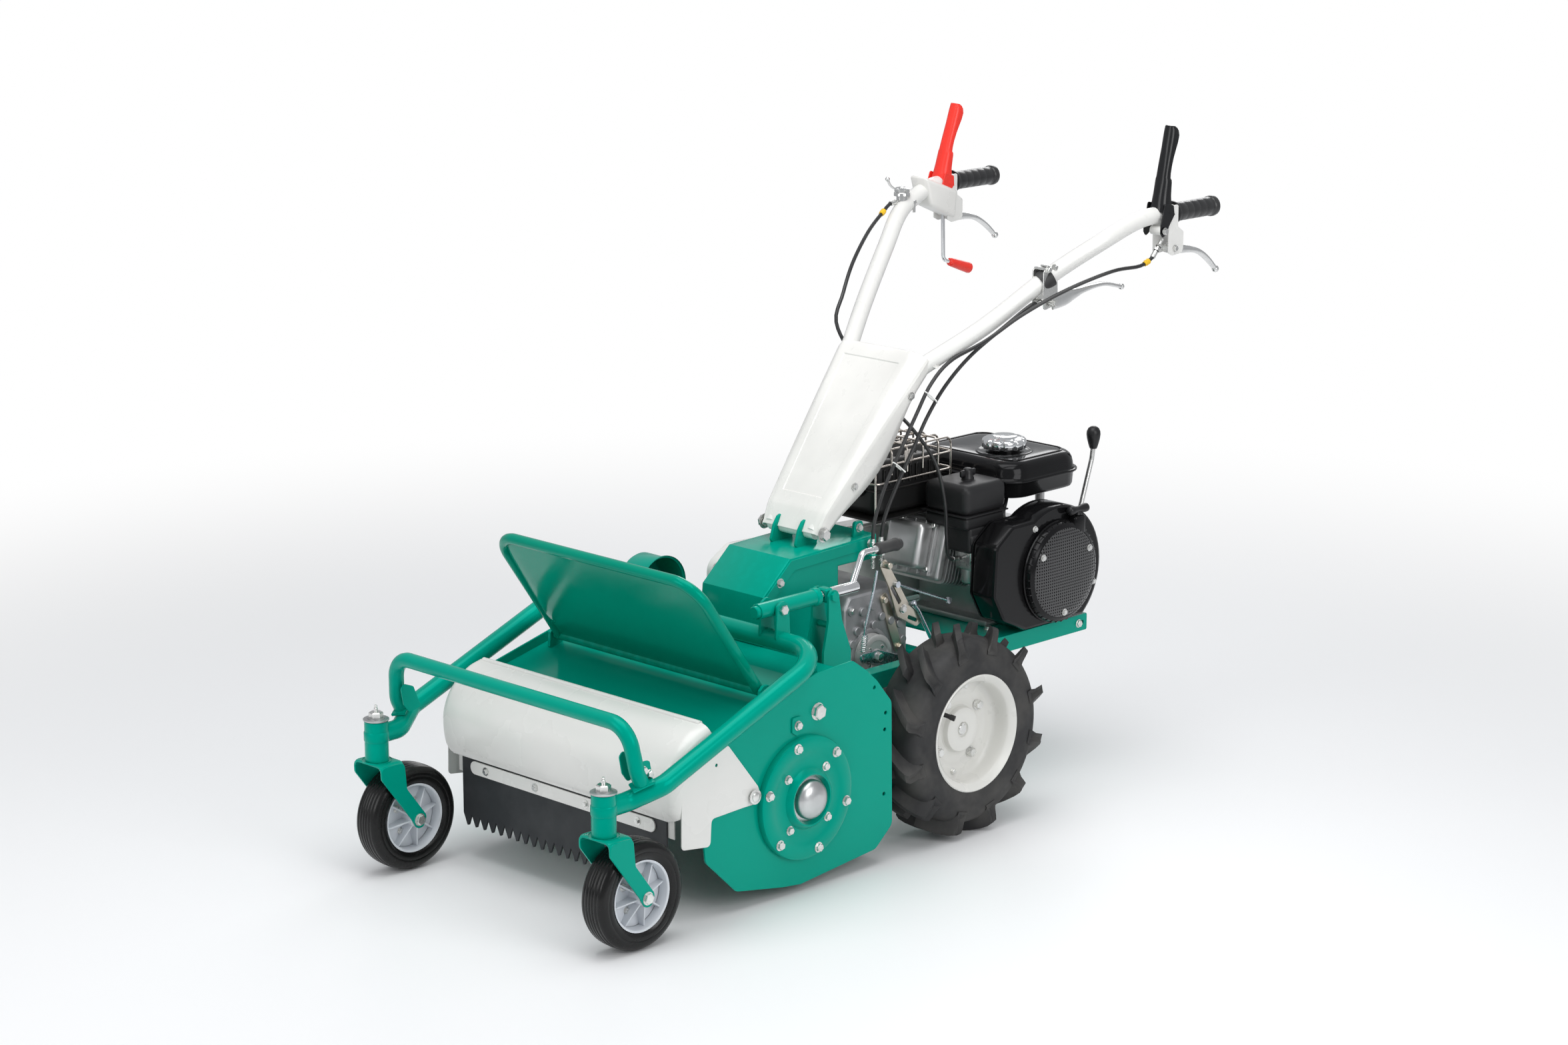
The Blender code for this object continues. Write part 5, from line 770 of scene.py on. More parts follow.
side_bend = rounded([(KING_X, KING_Y, 0.254), (0.838, KING_Y + 0.0005, 0.255),
        (0.785, FRAME_SIDE, slope_at(0.785)),
        (CROSS.x, FRAME_SIDE, CROSS.z)], 0.036, 8)[:-1]
corner = rounded([side_bend[-1], (CROSS.x, FRAME_SIDE, CROSS.z), (CROSS.x, 0, CROSS.z)], 0.075, 14)
half_run = side_bend[:-1] + corner
frame_run = half_run + [Vector((p.x, -p.y, p.z)) for p in reversed(half_run[:-1])]
frame_pieces = [pipe(frame_run, FRAME_TUBE, 32)]
LUG_PLATE = [
    (0.389, 0.4235), (0.425, 0.4235), (0.418, 0.323), (0.412, 0.304), (0.398, 0.299), (0.384, 0.304),
    (0.378, 0.323)]
JACK_EAR = [(0.387, 0.4275), (0.423, 0.4275), (0.419, 0.492), (0.405, 0.5), (0.391, 0.492)]
for side in (1, -1):
    king = [(0.0148, KING_HIGH), (0.0198, KING_HIGH), (0.021, KING_HIGH - 0.0012),
            (0.021, KING_FOOT + 0.0012),
            (0.0198, KING_FOOT), (0.012, KING_FOOT)]
    weld = [(0.0212, 0.262), (0.0222, 0.26), (0.0222, 0.246), (0.0212, 0.244)]
    frame_pieces += [lathe(line, (KING_X, side * KING_Y, 0), "Z", 48) for line in (king, weld)]
    frame_pieces.append(sheet_metal(soft_corners(LUG_PLATE, 0.01, 4), side * 0.276, side * 0.284,
            holes=[ring_of(0.398, 0.317, 0.0088)]))
    ear_inner, ear_outer = 0.2 + side * 0.017, 0.2 + side * 0.022
    frame_pieces.append(sheet_metal(soft_corners(JACK_EAR, 0.009, 4), ear_inner, ear_outer))
keep(frame_pieces, "caster_frame_tube", green_enamel, "caster_frame", ["front_frame"], 35)
EAR_X, EAR_Z = 0.405, 0.484
ear_bolts = [hex_bolt((EAR_X, 0.222, EAR_Z), (0, 1, 0), 0.016, 0.006),
        pipe([(EAR_X, 0.17, EAR_Z), (EAR_X, 0.2225, EAR_Z)], 0.005),
        hex_bolt((EAR_X, 0.1775, EAR_Z), (0, -1, 0), 0.015, 0.006)]
fixings(ear_bolts, "jack_ear_bolt", "caster_frame")


# Guard bar: a thinner tube bent up and across in front of the cover, on two small feet bolted to the
# frame's side tubes.

GUARD_R = 0.0135
low_spot, high_spot = Vector((0.838, KING_Y + 0.0005, 0.255)), Vector((0.785, FRAME_SIDE, slope_at(0.785)))
foot_along = (high_spot - low_spot).normalized()
foot_up = foot_along.cross(Vector((0, 1, 0))).normalized()
foot_up = foot_up if foot_up.z > 0 else -foot_up
foot_across = foot_up.cross(foot_along).normalized()
foot_seat = low_spot.lerp(high_spot, 0.5) + foot_up * (FRAME_TUBE + 0.0003)
bar_foot = foot_seat + foot_up * 0.002
half_bar = [bar_foot, bar_foot + foot_up * 0.022 + Vector((0.002, 0, 0)),
        Vector((0.84, bar_foot.y - 0.012, 0.385))]
bar_run = rounded(half_bar + [Vector((p.x, -p.y, p.z)) for p in reversed(half_bar)], 0.045, 12)
guard = [pipe(bar_run, GUARD_R, 28)]
foot_bolts = []
lie = Matrix((foot_along, foot_across, foot_up)).transposed().to_4x4()
for side in (1, -1):
    pad = bmesh.new()
    bmesh.ops.create_cube(pad, size=1.0)
    bmesh.ops.scale(pad, vec=(0.04, 0.028, 0.005), verts=pad.verts)
    bmesh.ops.bevel(pad, geom=pad.edges[:], offset=0.0012, segments=2, affect="EDGES")
    bmesh.ops.transform(pad, matrix=Matrix.Translation(foot_seat + foot_up * 0.0025) @ lie, verts=pad.verts)
    for v in pad.verts:
        v.co.y *= side
    guard.append(from_bmesh(pad))
    tab = [(0.7975, 0.29), (0.8235, 0.284), (0.829, 0.3), (0.8235, 0.322), (0.804, 0.322)]
    guard.append(sheet_metal(soft_corners(tab, 0.005, 3), side * 0.306, side * 0.3105))
    cheek = [(0.8, 0.29), (0.826, 0.284), (0.838, 0.3), (0.844, 0.33), (0.836, 0.338), (0.816, 0.33)]
    guard.append(sheet_metal(soft_corners(cheek, 0.006, 3), side * 0.278, side * 0.281))
    for x, z in ((0.806, 0.3), (0.819, 0.308)):
        foot_bolts.append(hex_bolt((x, side * 0.3105, z), (0, side, 0), 0.011, 0.006, 0.0075, x * 50))
keep(guard, "guard_tube", green_enamel, "caster_frame", ["guard_bar"], 35)
fixings(foot_bolts, "guard_bolts", "caster_frame")


# Caster forks: a flat steel strap bent into a fork, welded to a kingpin that turns in the king tube and
# is held by a washer, a nut and a grease nipple; the axle is a long bolt.

STRAP_INNER, STRAP_THICK, CROWN = 0.0345, 0.004, 0.2079
CASTER_X, CASTER_Z = 0.8296, 0.0946
FORK_WIDE = [
    (0.8602, CROWN - 0.002), (0.9122, CROWN - 0.002), (0.9112, CROWN - 0.024), (0.847, 0.0986),
    (0.835, 0.078),
    (0.82, 0.0796), (0.8126, 0.0986), (0.8556, 0.1562)]
grey_washer = plated("grey_washer", (0.5, 0.51, 0.51), 0.38)
for side, word in SIDES:
    y = side * KING_Y
    fork = []
    for s in (1, -1):
        fork.append(sheet_metal(soft_corners(FORK_WIDE, 0.011, 5), y + s * STRAP_INNER,
                y + s * (STRAP_INNER + STRAP_THICK), edge=0.0008))
    arc = [Vector((0, y + (STRAP_INNER + 0.002 - 0.01) * k + 0.01 * math.sin(a),
            CROWN - 0.012 + 0.01 * math.cos(a)))
            for k, swing in ((-1, (-90, -60, -30, 0)), (1, (0, 30, 60,
            90))) for a in [math.radians(v) for v in swing]]
    rows = [[Vector((x, p.y, p.z)) for p in arc] for x in (0.861, 0.87, 0.886, 0.902, 0.9115)]
    fork.append(thick(grid_mesh(rows), STRAP_THICK, 0.0, 0.0006))
    fork.append(pipe([(KING_X, y, CROWN - 0.006), (KING_X, y, KING_FOOT + 0.002)], 0.016))
    collar = [(0.016, CROWN + 0.0005), (0.0255, CROWN + 0.0008), (0.0262, CROWN + 0.002),
            (0.0262, KING_FOOT - 0.0012), (0.0255, KING_FOOT - 0.0004), (0.016, KING_FOOT - 0.0003)]
    fork.append(lathe(collar, (KING_X, y, 0), "Z", 48))
    keep(fork, "fork_strap_" + word, green_enamel, word + "_fork", ["fork_" + word], 35)
    top = KING_HIGH + 0.0003
    nut = [lathe([(0.0225, top), (0.0228, top + 0.0004), (0.0228, top + 0.0026), (0.0222, top + 0.003),
            (0.0, top + 0.003)], (KING_X, y, 0), "Z", 48),
            lathe([(0.015, top + 0.003), (0.015, top + 0.005), (0.0, top + 0.005)], (KING_X, y, 0), "Z",
            36)]
    keep(nut, "king_washer_" + word, grey_washer, word + "_fork")
    nipple = [(r, top + rise) for r, rise in ((0.0, 0.0275), (0.002, 0.027), (0.0028, 0.025),
            (0.0018, 0.0228), (0.0034, 0.0215), (0.0036, 0.018), (0.0036, 0.015))]
    metal = [hex_bolt((KING_X, y, top + 0.005), (0, 0, 1), 0.022, 0.01, 0.0, 0.4),
            lathe(nipple, (KING_X, y, 0), "Z", 20)]
    reach = STRAP_INNER + STRAP_THICK
    for s in (1, -1):
        metal.append(hex_bolt((CASTER_X, y + s * reach, CASTER_Z), (0, s, 0), 0.017, 0.0052, 0.0115, 0.2))
    metal.append(pipe([(CASTER_X, y - reach, CASTER_Z), (CASTER_X, y + reach, CASTER_Z)], 0.006))
    fixings(metal, "fork_bolts_" + word, word + "_fork")


# Casters: glossy black rubber tyres with two rings of fine ribs on moulded pale plastic rims, which have
# eight spokes on each face, a bored hub and four zinc plated bolts.

CASTER_AXLE = Vector((CASTER_X, 0, CASTER_Z))
CASTER_TREAD = [
    (0.0935, 0.0), (0.0946, 0.0015), (0.0946, 0.005), (0.0936, 0.006), (0.0936, 0.0072), (0.0943, 0.0082),
    (0.0941, 0.013),
    (0.0932, 0.014), (0.0931, 0.0152), (0.0936, 0.0163), (0.0928, 0.02), (0.0905, 0.024), (0.0868, 0.0268),
    (0.082, 0.0282), (0.077, 0.0285), (0.0762, 0.0278), (0.074, 0.0284), (0.07, 0.028), (0.065, 0.0262),
    (0.0625, 0.024), (0.061, 0.0228)]
CASTER_RIM = [
    (0.056, 0.006), (0.057, 0.021), (0.0585, 0.024), (0.062, 0.025), (0.0618, 0.0232), (0.06, 0.0205),
    (0.059, 0.0)]
caster_rubber = rubber("caster_rubber", (0.005, 0.005, 0.005), 0.22, (0.01, 0.01, 0.01), 0.0, 0.3)


def moulded(name, rgb, rough, spread=0.1, grain=260.0, depth=0.06, coat=0.0, shine=0.5):
    """Moulded plastic: even colour with a light drift, a fine spark-eroded grain and a soft sheen."""
    made, tree, shader, _ = nodes_of(name)
    drift = ranged(tree, noise(tree, 6.0, 3.0), 0.0, 1.0)
    join(tree, tinted(tree, drift, [c * 0.93 for c in rgb], [min(1, c * 1.06) for c in rgb]),
            shader.inputs["Base Color"])
    join(tree, ranged(tree, noise(tree, 25.0, 4.0), rough, rough + spread), shader.inputs["Roughness"])
    put(shader, Specular_IOR_Level=shine, Coat_Weight=coat, Coat_Roughness=0.15)
    bumped(tree, shader, noise(tree, grain, 3.0), depth, 0.0004)
    return made


rim_plastic = moulded("rim_plastic", (0.66, 0.69, 0.73), 0.34, 0.1)
for side, word in SIDES:
    centre = CASTER_AXLE + Vector((0, side * KING_Y, 0))
    tread = CASTER_TREAD[:0:-1] + [(r, -h) for r, h in CASTER_TREAD]
    keep(lathe(tread, centre, "Y", 128), "caster_tread_" + word, caster_rubber, word + "_caster",
            ["caster_tyre_" + word], 50)
    rim = [lathe(CASTER_RIM + [(r, -h) for r, h in reversed(CASTER_RIM[:-1])], centre, "Y", 96)]
    hub = [(0.0068, 0.0325), (0.0125, 0.0325), (0.014, 0.031), (0.015, 0.007), (0.02, 0.0055),
            (0.056, 0.005)]
    rim.append(lathe(hub + [(r, -h) for r, h in reversed(hub)], centre, "Y", 48))
    for i in range(8):
        turn = math.tau * i / 8 + 0.2
        for way in (1, -1):
            rib = bmesh.new()
            bmesh.ops.create_cube(rib, size=1.0)
            bmesh.ops.scale(rib, vec=(0.044, 0.013, 0.003), verts=rib.verts)
            for v in rib.verts:
                if v.co.y > 0 and v.co.x < 0:
                    v.co.y += 0.012
            bmesh.ops.bevel(rib, geom=rib.edges[:], offset=0.0007, segments=1, affect="EDGES")
            bmesh.ops.translate(rib, vec=(0.0345, 0.0105, 0), verts=rib.verts)
            swung = Matrix.Rotation(turn, 4, "Y") @ Matrix.Diagonal((1, way, 1, 1))
            bmesh.ops.transform(rib, matrix=Matrix.Translation(centre) @ swung, verts=rib.verts)
            rim.append(from_bmesh(rib))
    keep(rim, "caster_wheel_" + word, rim_plastic, word + "_caster", ["caster_rim_" + word],
            35)
    rim_bolts = []
    for i, (x, z) in enumerate(ring_of(0, 0, 0.03, 4, 0.6)):
        for way in (1, -1):
            rim_bolts.append(hex_bolt(centre + Vector((x, way * 0.0052, z)), (0, way, 0), 0.01, 0.005,
                    0.0072, i))
    fixings(rim_bolts, "caster_bolts_" + word, word + "_caster")


# Height adjuster: a green tube pinned to the front frame, and the chromed screw that turns in it by a
# crank with a black rubber grip.

chrome_steel = plated("chrome_steel", (0.86, 0.87, 0.88), 0.07, 0.05, 300.0)
grip_rubber = rubber("grip_rubber", (0.016, 0.016, 0.017), 0.52, (0.04, 0.04, 0.04))
JACK_Y, CRANK_Z = 0.2, 0.542
SCREW = (0, JACK_Y, EAR_Z)
tube_line = [(0.0112, 0.447), (0.0132, 0.447), (0.014, 0.446), (0.014, 0.3115), (0.016, 0.3095),
        (0.0162, 0.3085), (0.0162, 0.3008),
        (0.0155, 0.3), (0.0108, 0.3)]
bolt_end = [(0.0, 0.455), (0.0095, 0.455), (0.011, 0.4535), (0.0112, 0.446)]
jack = [lathe(tube_line, SCREW, "X", 48), lathe(bolt_end, SCREW, "X", 48)]
keep(jack, "jack_outer_tube", green_enamel, "jack_tube", ["adjuster_tube"])
thread = [Vector((0.29 + 0.1 * i / 400, JACK_Y + 0.0076 * math.cos(i * 0.55),
        EAR_Z + 0.0076 * math.sin(i * 0.55))) for i in range(401)]
crank_run = rounded([(0.214, JACK_Y, EAR_Z), (0.186, JACK_Y, CRANK_Z), (0.151, JACK_Y, CRANK_Z)], 0.012, 8)
crank = [pipe([(0.2026, JACK_Y, EAR_Z), (0.385, JACK_Y, EAR_Z)], 0.0075, 24), pipe(thread, 0.0011, 6),
        pipe([(0.2026, JACK_Y, EAR_Z), (0.2705, JACK_Y, EAR_Z)], 0.0105, 28),
        pipe(crank_run, 0.0055, 20), pipe([(0.16, JACK_Y, CRANK_Z), (0.1495, JACK_Y, CRANK_Z)], 0.0072, 24)]
keep(crank, "jack_screw", chrome_steel, "jack_crank", ["adjuster_crank"])
handle = [(0.0, 0.088), (0.0075, 0.0882), (0.0092, 0.09), (0.0104, 0.096), (0.0118, 0.0985), (0.012, 0.101),
        (0.0108, 0.108), (0.0105, 0.12),
        (0.0108, 0.134), (0.0115, 0.144), (0.0108, 0.148), (0.009, 0.1494), (0.0, 0.15)]
keep(lathe(handle, (0, JACK_Y, CRANK_Z), "X", 40), "crank_grip", grip_rubber, "jack_crank")


# Column cover: a deep white moulding over the feet of the two handlebar tubes. Its face has a shallow
# raised border, its edges are chamfered more and more towards the top, and it is screwed on at the sides.

FOOT = Vector((0.155, 0, 0.547))
COLUMN_UP = (Vector((-0.08, 0, 0.83)) - FOOT).normalized()
COLUMN_OUT = Vector((COLUMN_UP.z, 0, -COLUMN_UP.x))
COVER_LONG, WALL = 0.371, 0.0022


def on_column(along, y, out):
    return FOOT + COLUMN_UP * along + COLUMN_OUT * out + Vector((0, y, 0))


def column_ring(along, shrink=0.0, sink=0.0):
    """One cross-section of the cover, from the rear edge of the right side round to the left side's."""
    share = max(0.0, min(1.0, along / COVER_LONG))
    half = 0.0725 + (0.111 - 0.0725) * share - shrink
    flat_half = 0.06 + 0.024 * share - shrink
    lift = 0.0205 + 0.008 * share - sink
    step = 0.0015 + 0.015 * share ** 1.5
    rear = -0.01 - 0.026 * math.sin(math.pi * min(1.0, share * 1.15)) ** 2
    if along < 0.032:
        lift -= 0.007 * (1 - along / 0.032)
    side = [(half, rear), (half, rear * 0.5), (half, (lift - step) * 0.45),
            (half - 0.0004, lift - step - 0.007),
            (half - 0.0022, lift - step - 0.0025), (half - 0.006, lift - step + 0.0004)]
    face = [(flat_half + 0.0045, lift - 0.0014), (flat_half, lift), (flat_half - 0.006, lift + 0.0002)]
    panel_half = flat_half - 0.015
    inside = 0.06 < along < 0.345
    dip = 0.0014 if inside else 0.0
    panel = [(panel_half + 0.0016, lift), (panel_half, lift - dip), (panel_half * 0.5, lift - dip + 0.0003),
            (0, lift - dip + 0.0004)]
    half_ring = side + face + panel
    return [on_column(along, -y, n) for y, n in half_ring] + [on_column(along, y, n) for y,
            n in reversed(half_ring[:-1])]


stations = [-0.008, -0.0065, 0.0, 0.01, 0.02, 0.03, 0.034, 0.04, 0.05, 0.0592, 0.0612, 0.075]
stations += [0.075 + 0.0265 * i for i in range(1, 11)] + [0.344, 0.346, 0.356, 0.364]
rows = [column_ring(s) for s in stations]
for shrink, sink, along in (
        (0.0003, 0.0006, 0.369), (0.0012, 0.0026, 0.373), (0.003, 0.0062, 0.376), (0.006, 0.012, 0.378),
        (0.01, 0.022, 0.379)):
    rows.append(column_ring(along, shrink, sink))
shell = grid_mesh(rows)
facing = shell.data.polygons[len(shell.data.polygons) // 2].normal.dot(COLUMN_OUT) > 0
thick(shell, WALL, -1.0 if facing else 1.0)
smooth_white = moulded("cover_white", (0.8, 0.79, 0.76), 0.26, 0.08, 500.0, 0.03, 0.2)
keep(shell, "column_moulding", smooth_white, "chassis", ["column_cover"], 24)
cover_screws = []
for side in (1, -1):
    for along, half in ((0.105, 0.0838), (0.3, 0.104)):
        cover_screws.append(hex_bolt(on_column(along, side * half, -0.004), (0, side, 0), 0.0095, 0.004,
                0.0075, along))
    cover_screws.append(hex_bolt((FOOT.x, side * 0.0738, FOOT.z), (0, side, 0), 0.019, 0.0085, 0.014, 0.3))
cover_screws.append(pipe([(FOOT.x, -0.074, FOOT.z), (FOOT.x, 0.074, FOOT.z)], 0.0058))
fixings(cover_screws, "column_screws")


# Handlebar: two bent steel tubes enamelled white that spread from the foot under the cover to the grips,
# each with a sheet steel bracket for its levers.

GRIP_Y, GRIP_Z, PIN_X, PIN_Z = 0.275, 1.07, -0.511, 1.043
HANDLE = [
    (0.155, 0.052, 0.547), (-0.08, 0.088, 0.83), (-0.182, 0.152, 0.89), (-0.299, 0.207, 0.977),
    (-0.391, 0.252, 1.034), (-0.473, 0.266, 1.064), (-0.53, GRIP_Y, GRIP_Z), (-0.558, GRIP_Y, GRIP_Z)]
BRACKET = [
    (-0.571, 1.003), (-0.566, 0.996), (-0.54, 0.994), (-0.528, 1.0), (-0.528, 1.086), (-0.555, 1.088),
    (-0.555, 1.047),
    (-0.571, 1.036)]
bar_pieces = []
for side in (1, -1):
    foot, bend = [Vector((x, side * y, z)) for x, y, z in HANDLE[:2]]
    run = flowing([foot.lerp(bend, 0.8), foot.lerp(bend, 0.93)] + [(x, side * y, z) for x, y,
            z in HANDLE[2:]], 64)
    bar_pieces.append(pipe([foot] + run, 0.016, 32))
    bar_pieces.append(pipe([(-0.556, side * GRIP_Y, GRIP_Z), (-0.676, side * GRIP_Y, GRIP_Z)], 0.0119, 24))
    for inner in (0.2917, 0.256):
        bar_pieces.append(sheet_metal(soft_corners(BRACKET, 0.004, 3), side * inner,
                side * (inner + 0.0027)))
    bar_pieces.append(pipe([(PIN_X, side * 0.269, PIN_Z), (PIN_X, side * 0.2944, PIN_Z)], 0.0085))
    bar_pieces.append(pipe([(-0.546, side * 0.257, 1.007), (-0.546, side * 0.294, 1.007)], 0.0045))
bar_pieces.append(pipe([(0.155, -0.056, 0.547), (0.155, 0.056, 0.547)], 0.012, 24))
bar_pieces.append(pipe([(-0.076, -0.088, 0.826), (-0.076, 0.088, 0.826)], 0.009))
keep(bar_pieces, "handlebar_tubes", white_enamel, "chassis", ["handlebar"], 35)
shroud = bmesh.new()
bmesh.ops.create_cube(shroud, size=1.0)
for v in shroud.verts:
    front, top, inner = v.co.x > 0, v.co.z > 0, v.co.y > 0
    v.co.x = (-0.452 if top else -0.47) if front else (-0.5545 if top else -0.548)
    v.co.z = (1.093 if front else 1.056) if top else (1.033 if front else 1.0)
    v.co.y = (-0.244 if front else -0.252) if inner else -0.2915
bmesh.ops.bevel(shroud, geom=shroud.edges[:], offset=0.0085, segments=5, affect="EDGES", profile=0.5)
keep(from_bmesh(shroud), "right_shroud", smooth_white, "chassis")
lever_bolts = []
for side in (1, -1):
    lever_bolts.append(hex_bolt((PIN_X, side * 0.2985, PIN_Z), (0, side, 0), 0.01, 0.0045, 0.007, 0.4))
    lever_bolts.append(hex_bolt((-0.546, side * 0.295, 1.007), (0, side, 0), 0.009, 0.004, 0.0062, 0.1))
fixings(lever_bolts, "lever_bolts")


# Grips: glossy black rubber sleeves, moulded with a flange at both ends and finger ridges between, and
# pushed onto the tube ends.

GRIP = [
    (0.0122, -0.5583), (0.02, -0.5583), (0.0214, -0.5592), (0.0216, -0.562), (0.0205, -0.564),
    (0.0178, -0.565), (0.0172, -0.568)]
ridge_x = -0.57
while ridge_x > -0.664:
    GRIP += [(0.0166, ridge_x), (0.0175, ridge_x - 0.003), (0.0175, ridge_x - 0.015),
            (0.0167, ridge_x - 0.0178)]
    ridge_x -= 0.0185
GRIP += [(0.0168, -0.666), (0.0182, -0.668), (0.0194, -0.67), (0.0196, -0.675), (0.0186, -0.6795),
        (0.015, -0.6815), (0.0, -0.682)]
gloss_grip = rubber("gloss_grip", (0.013, 0.013, 0.014), 0.34, (0.03, 0.03, 0.03), 0.25)
for side, word in SIDES:
    sleeve = lathe([(r, -x) for r, x in GRIP], (0, side * GRIP_Y, GRIP_Z), "X", 56, -1)
    keep(sleeve, "grip_sleeve_" + word, gloss_grip, "chassis", ["grip_" + word], 40)


# Tall levers: dead-man levers pressed from sheet steel into a channel that lies over the grip when it is
# held down, dipped in red plastic on the right and black on the left.

LEVER_PIN = Vector((PIN_X, 0, PIN_Z))


# The channel's stations: distance from the pin, half width and depth.
CHANNEL = [
    (0.033, 0.0205, 0.033), (0.042, 0.02, 0.028), (0.052, 0.0168, 0.022), (0.066, 0.0156, 0.019),
    (0.082, 0.015, 0.017),
    (0.09, 0.0148, 0.016), (0.0945, 0.0144, 0.015), (0.0975, 0.0128, 0.013), (0.106, 0.0124, 0.012),
    (0.12, 0.0122, 0.012),
    (0.137, 0.0122, 0.0135), (0.152, 0.0123, 0.016), (0.166, 0.0124, 0.0185), (0.178, 0.0124, 0.019),
    (0.186, 0.0118, 0.016),
    (0.1905, 0.0105, 0.012), (0.1925, 0.0085, 0.008)]
LEVER_EAR = [
    (0.05, 0.0), (0.03, 0.0), (0.01, -0.002), (-0.006, 0.001), (-0.013, 0.009), (-0.006, 0.017),
    (0.01, 0.022), (0.033, 0.033),
    (0.05, 0.026)]


def channel_lever(side, tip_x, tip_z):
    tip = Vector((tip_x, 0, tip_z))
    up = (tip - LEVER_PIN).normalized()
    back = Vector((-up.z, 0, up.x))
    long = (tip - LEVER_PIN).length
    rows = []
    for u, half, depth in CHANNEL:
        u = u * long / CHANNEL[-1][0]
        corner = min(half * 0.75, depth * 0.6)
        section = [(-half, depth), (-half, corner + (depth - corner) * 0.5)]
        section += [(-half + corner * (1 - math.cos(a)), corner * (1 - math.sin(a))) for a in (0.0, 0.35,
                0.7, 1.05, 1.35)]
        section += [(-(half - corner) * 0.6, 0.0), (0, -0.0002)]
        section += [(-y, d) for y, d in reversed(section[:-1])]
        rows.append([LEVER_PIN + up * u - back * (0.009 - d) + Vector((0, side * 0.2755 + y, 0)) for y,
                d in section])
    web = thick(grid_mesh(rows), 0.0018, 0.0)
    web.modifiers["wall"].use_even_offset = False
    pieces = [web]
    ear = [LEVER_PIN + up * u - back * (0.009 - d) for u, d in LEVER_EAR]
    ear = soft_corners([(p.x, p.z) for p in ear], 0.004, 3)
    pieces += [sheet_metal(ear, y - 0.001, y + 0.001) for y in (side * 0.2955, side * 0.2555)]
    return one_piece(pieces)


red_dip = moulded("red_dip", (0.86, 0.04, 0.026), 0.26, 0.06, 300.0, 0.03, 0.1, 0.35)
black_dip = moulded("black_dip", (0.008, 0.008, 0.009), 0.18, 0.06, 300.0, 0.03, 0.1, 0.35)
keep(channel_lever(1, -0.552, 1.231), "black_channel_lever", black_dip, "left_tall_lever", ["black_lever"],
        45)
keep(channel_lever(-1, -0.572, 1.219), "red_channel_lever", red_dip, "right_tall_lever", ["red_lever"],
        45)


# Clutch levers under the grips and the parking brake lever under the left tube: polished forgings with a
# ball end, flat at the pin and thinner towards the tip.

def capped(obj):
    """Closes a skin's open ends with a face each."""
    bm = bmesh.new()
    bm.from_mesh(obj.data)
    bmesh.ops.holes_fill(bm, edges=[e for e in bm.edges if e.is_boundary])
    bm.to_mesh(obj.data)
    bm.free()
    return obj


def blade_bar(points, sizes, ball):
    """A bar of oval section through the points; sizes are (across, deep) half widths from start to tip."""
    line, spread, rows = flowing(points, 28), Vector((0, 1, 0)), []
    for i, p in enumerate(line):
        along = (line[min(i + 1, 28)] - line[max(i - 1, 0)]).normalized()
        deep = along.cross(spread).normalized()
        share = i / 28 * (len(sizes) - 1)
        k = min(int(share), len(sizes) - 2)
        wide, tall = [sizes[k][j] + (sizes[k + 1][j] - sizes[k][j]) * (share - k) for j in (0, 1)]
        ring = []
        for n in range(16):
            a = math.tau * n / 16
            c, s = math.cos(a), math.sin(a)
            across, down = wide * math.copysign(abs(c) ** 0.6, c), tall * math.copysign(abs(s) ** 0.6, s)
            ring.append(p + spread * across + deep * down)
        rows.append(ring)
    bar = capped(grid_mesh(rows, True))
    end = bmesh.new()
    bmesh.ops.create_uvsphere(end, u_segments=24, v_segments=14, radius=ball)
    bmesh.ops.translate(end, vec=line[-1], verts=end.verts)
    return one_piece([bar, from_bmesh(end)])


polished = plated("polished_steel", (0.8, 0.8, 0.79), 0.13, 0.08, 200.0)
for side, word in SIDES:
    run = [(-0.548, side * 0.2755, 1.0045), (-0.575, side * 0.2755, 1.001), (-0.6, side * 0.277, 0.998),
            (-0.632, side * 0.279, 0.99),
            (-0.66, side * 0.278, 0.974), (-0.69, side * 0.277, 0.949)]
    lever = blade_bar(run, ((0.0125, 0.008), (0.0125, 0.0085), (0.01, 0.006), (0.0085, 0.004),
            (0.0075, 0.0034), (0.005, 0.0034)), 0.0068)
    keep(lever, "clutch_blade_" + word, polished, word + "_clutch", ["clutch_lever_" + word], 50)
brake_run = [(-0.291, 0.219, 0.927), (-0.318, 0.219, 0.93), (-0.35, 0.218, 0.937), (-0.39, 0.216, 0.943),
        (-0.44, 0.213, 0.944), (-0.485, 0.212, 0.934),
        (-0.494, 0.2118, 0.932)]
keep(blade_bar(brake_run, ((0.0025, 0.012), (0.003, 0.0125), (0.0065, 0.006), (0.0075, 0.004),
        (0.0065, 0.0036), (0.005, 0.0034)), 0.006),
        "brake_blade", polished, "hand_brake", ["brake_lever"], 50)
clamp_line = [(-0.3105, 0.924), (-0.272, 0.915), (-0.269, 0.94), (-0.27, 0.99), (-0.307, 0.992),
        (-0.309, 0.955)]
clamp = [sheet_metal(soft_corners(clamp_line, 0.006, 3), 0.2135, 0.2158),
        sheet_metal(soft_corners(clamp_line, 0.006, 3), 0.188, 0.1903),
        pipe([(-0.291, 0.187, 0.928), (-0.291, 0.2235, 0.928)], 0.0042),
        hex_bolt((-0.291, 0.2225, 0.928), (0, 1, 0), 0.01, 0.005, 0.0075)]
for x, z in ((-0.28, 0.984), (-0.298, 0.986)):
    clamp += [pipe([(x, 0.186, z + 0.006), (x, 0.22, z + 0.006)], 0.003),
            hex_bolt((x, 0.2158, z + 0.006), (0, 1, 0), 0.009, 0.006, 0.007, x * 90)]
fixings(clamp, "brake_clamp")
lining = lathe(oblong(0.0162, -0.012, 0.0192, 0.012), (0, 0, 0), "Z", 40)
lining = stood(lining, (-0.289, 0.202, 0.969), Vector((-0.117, 0.05, 0.072)))
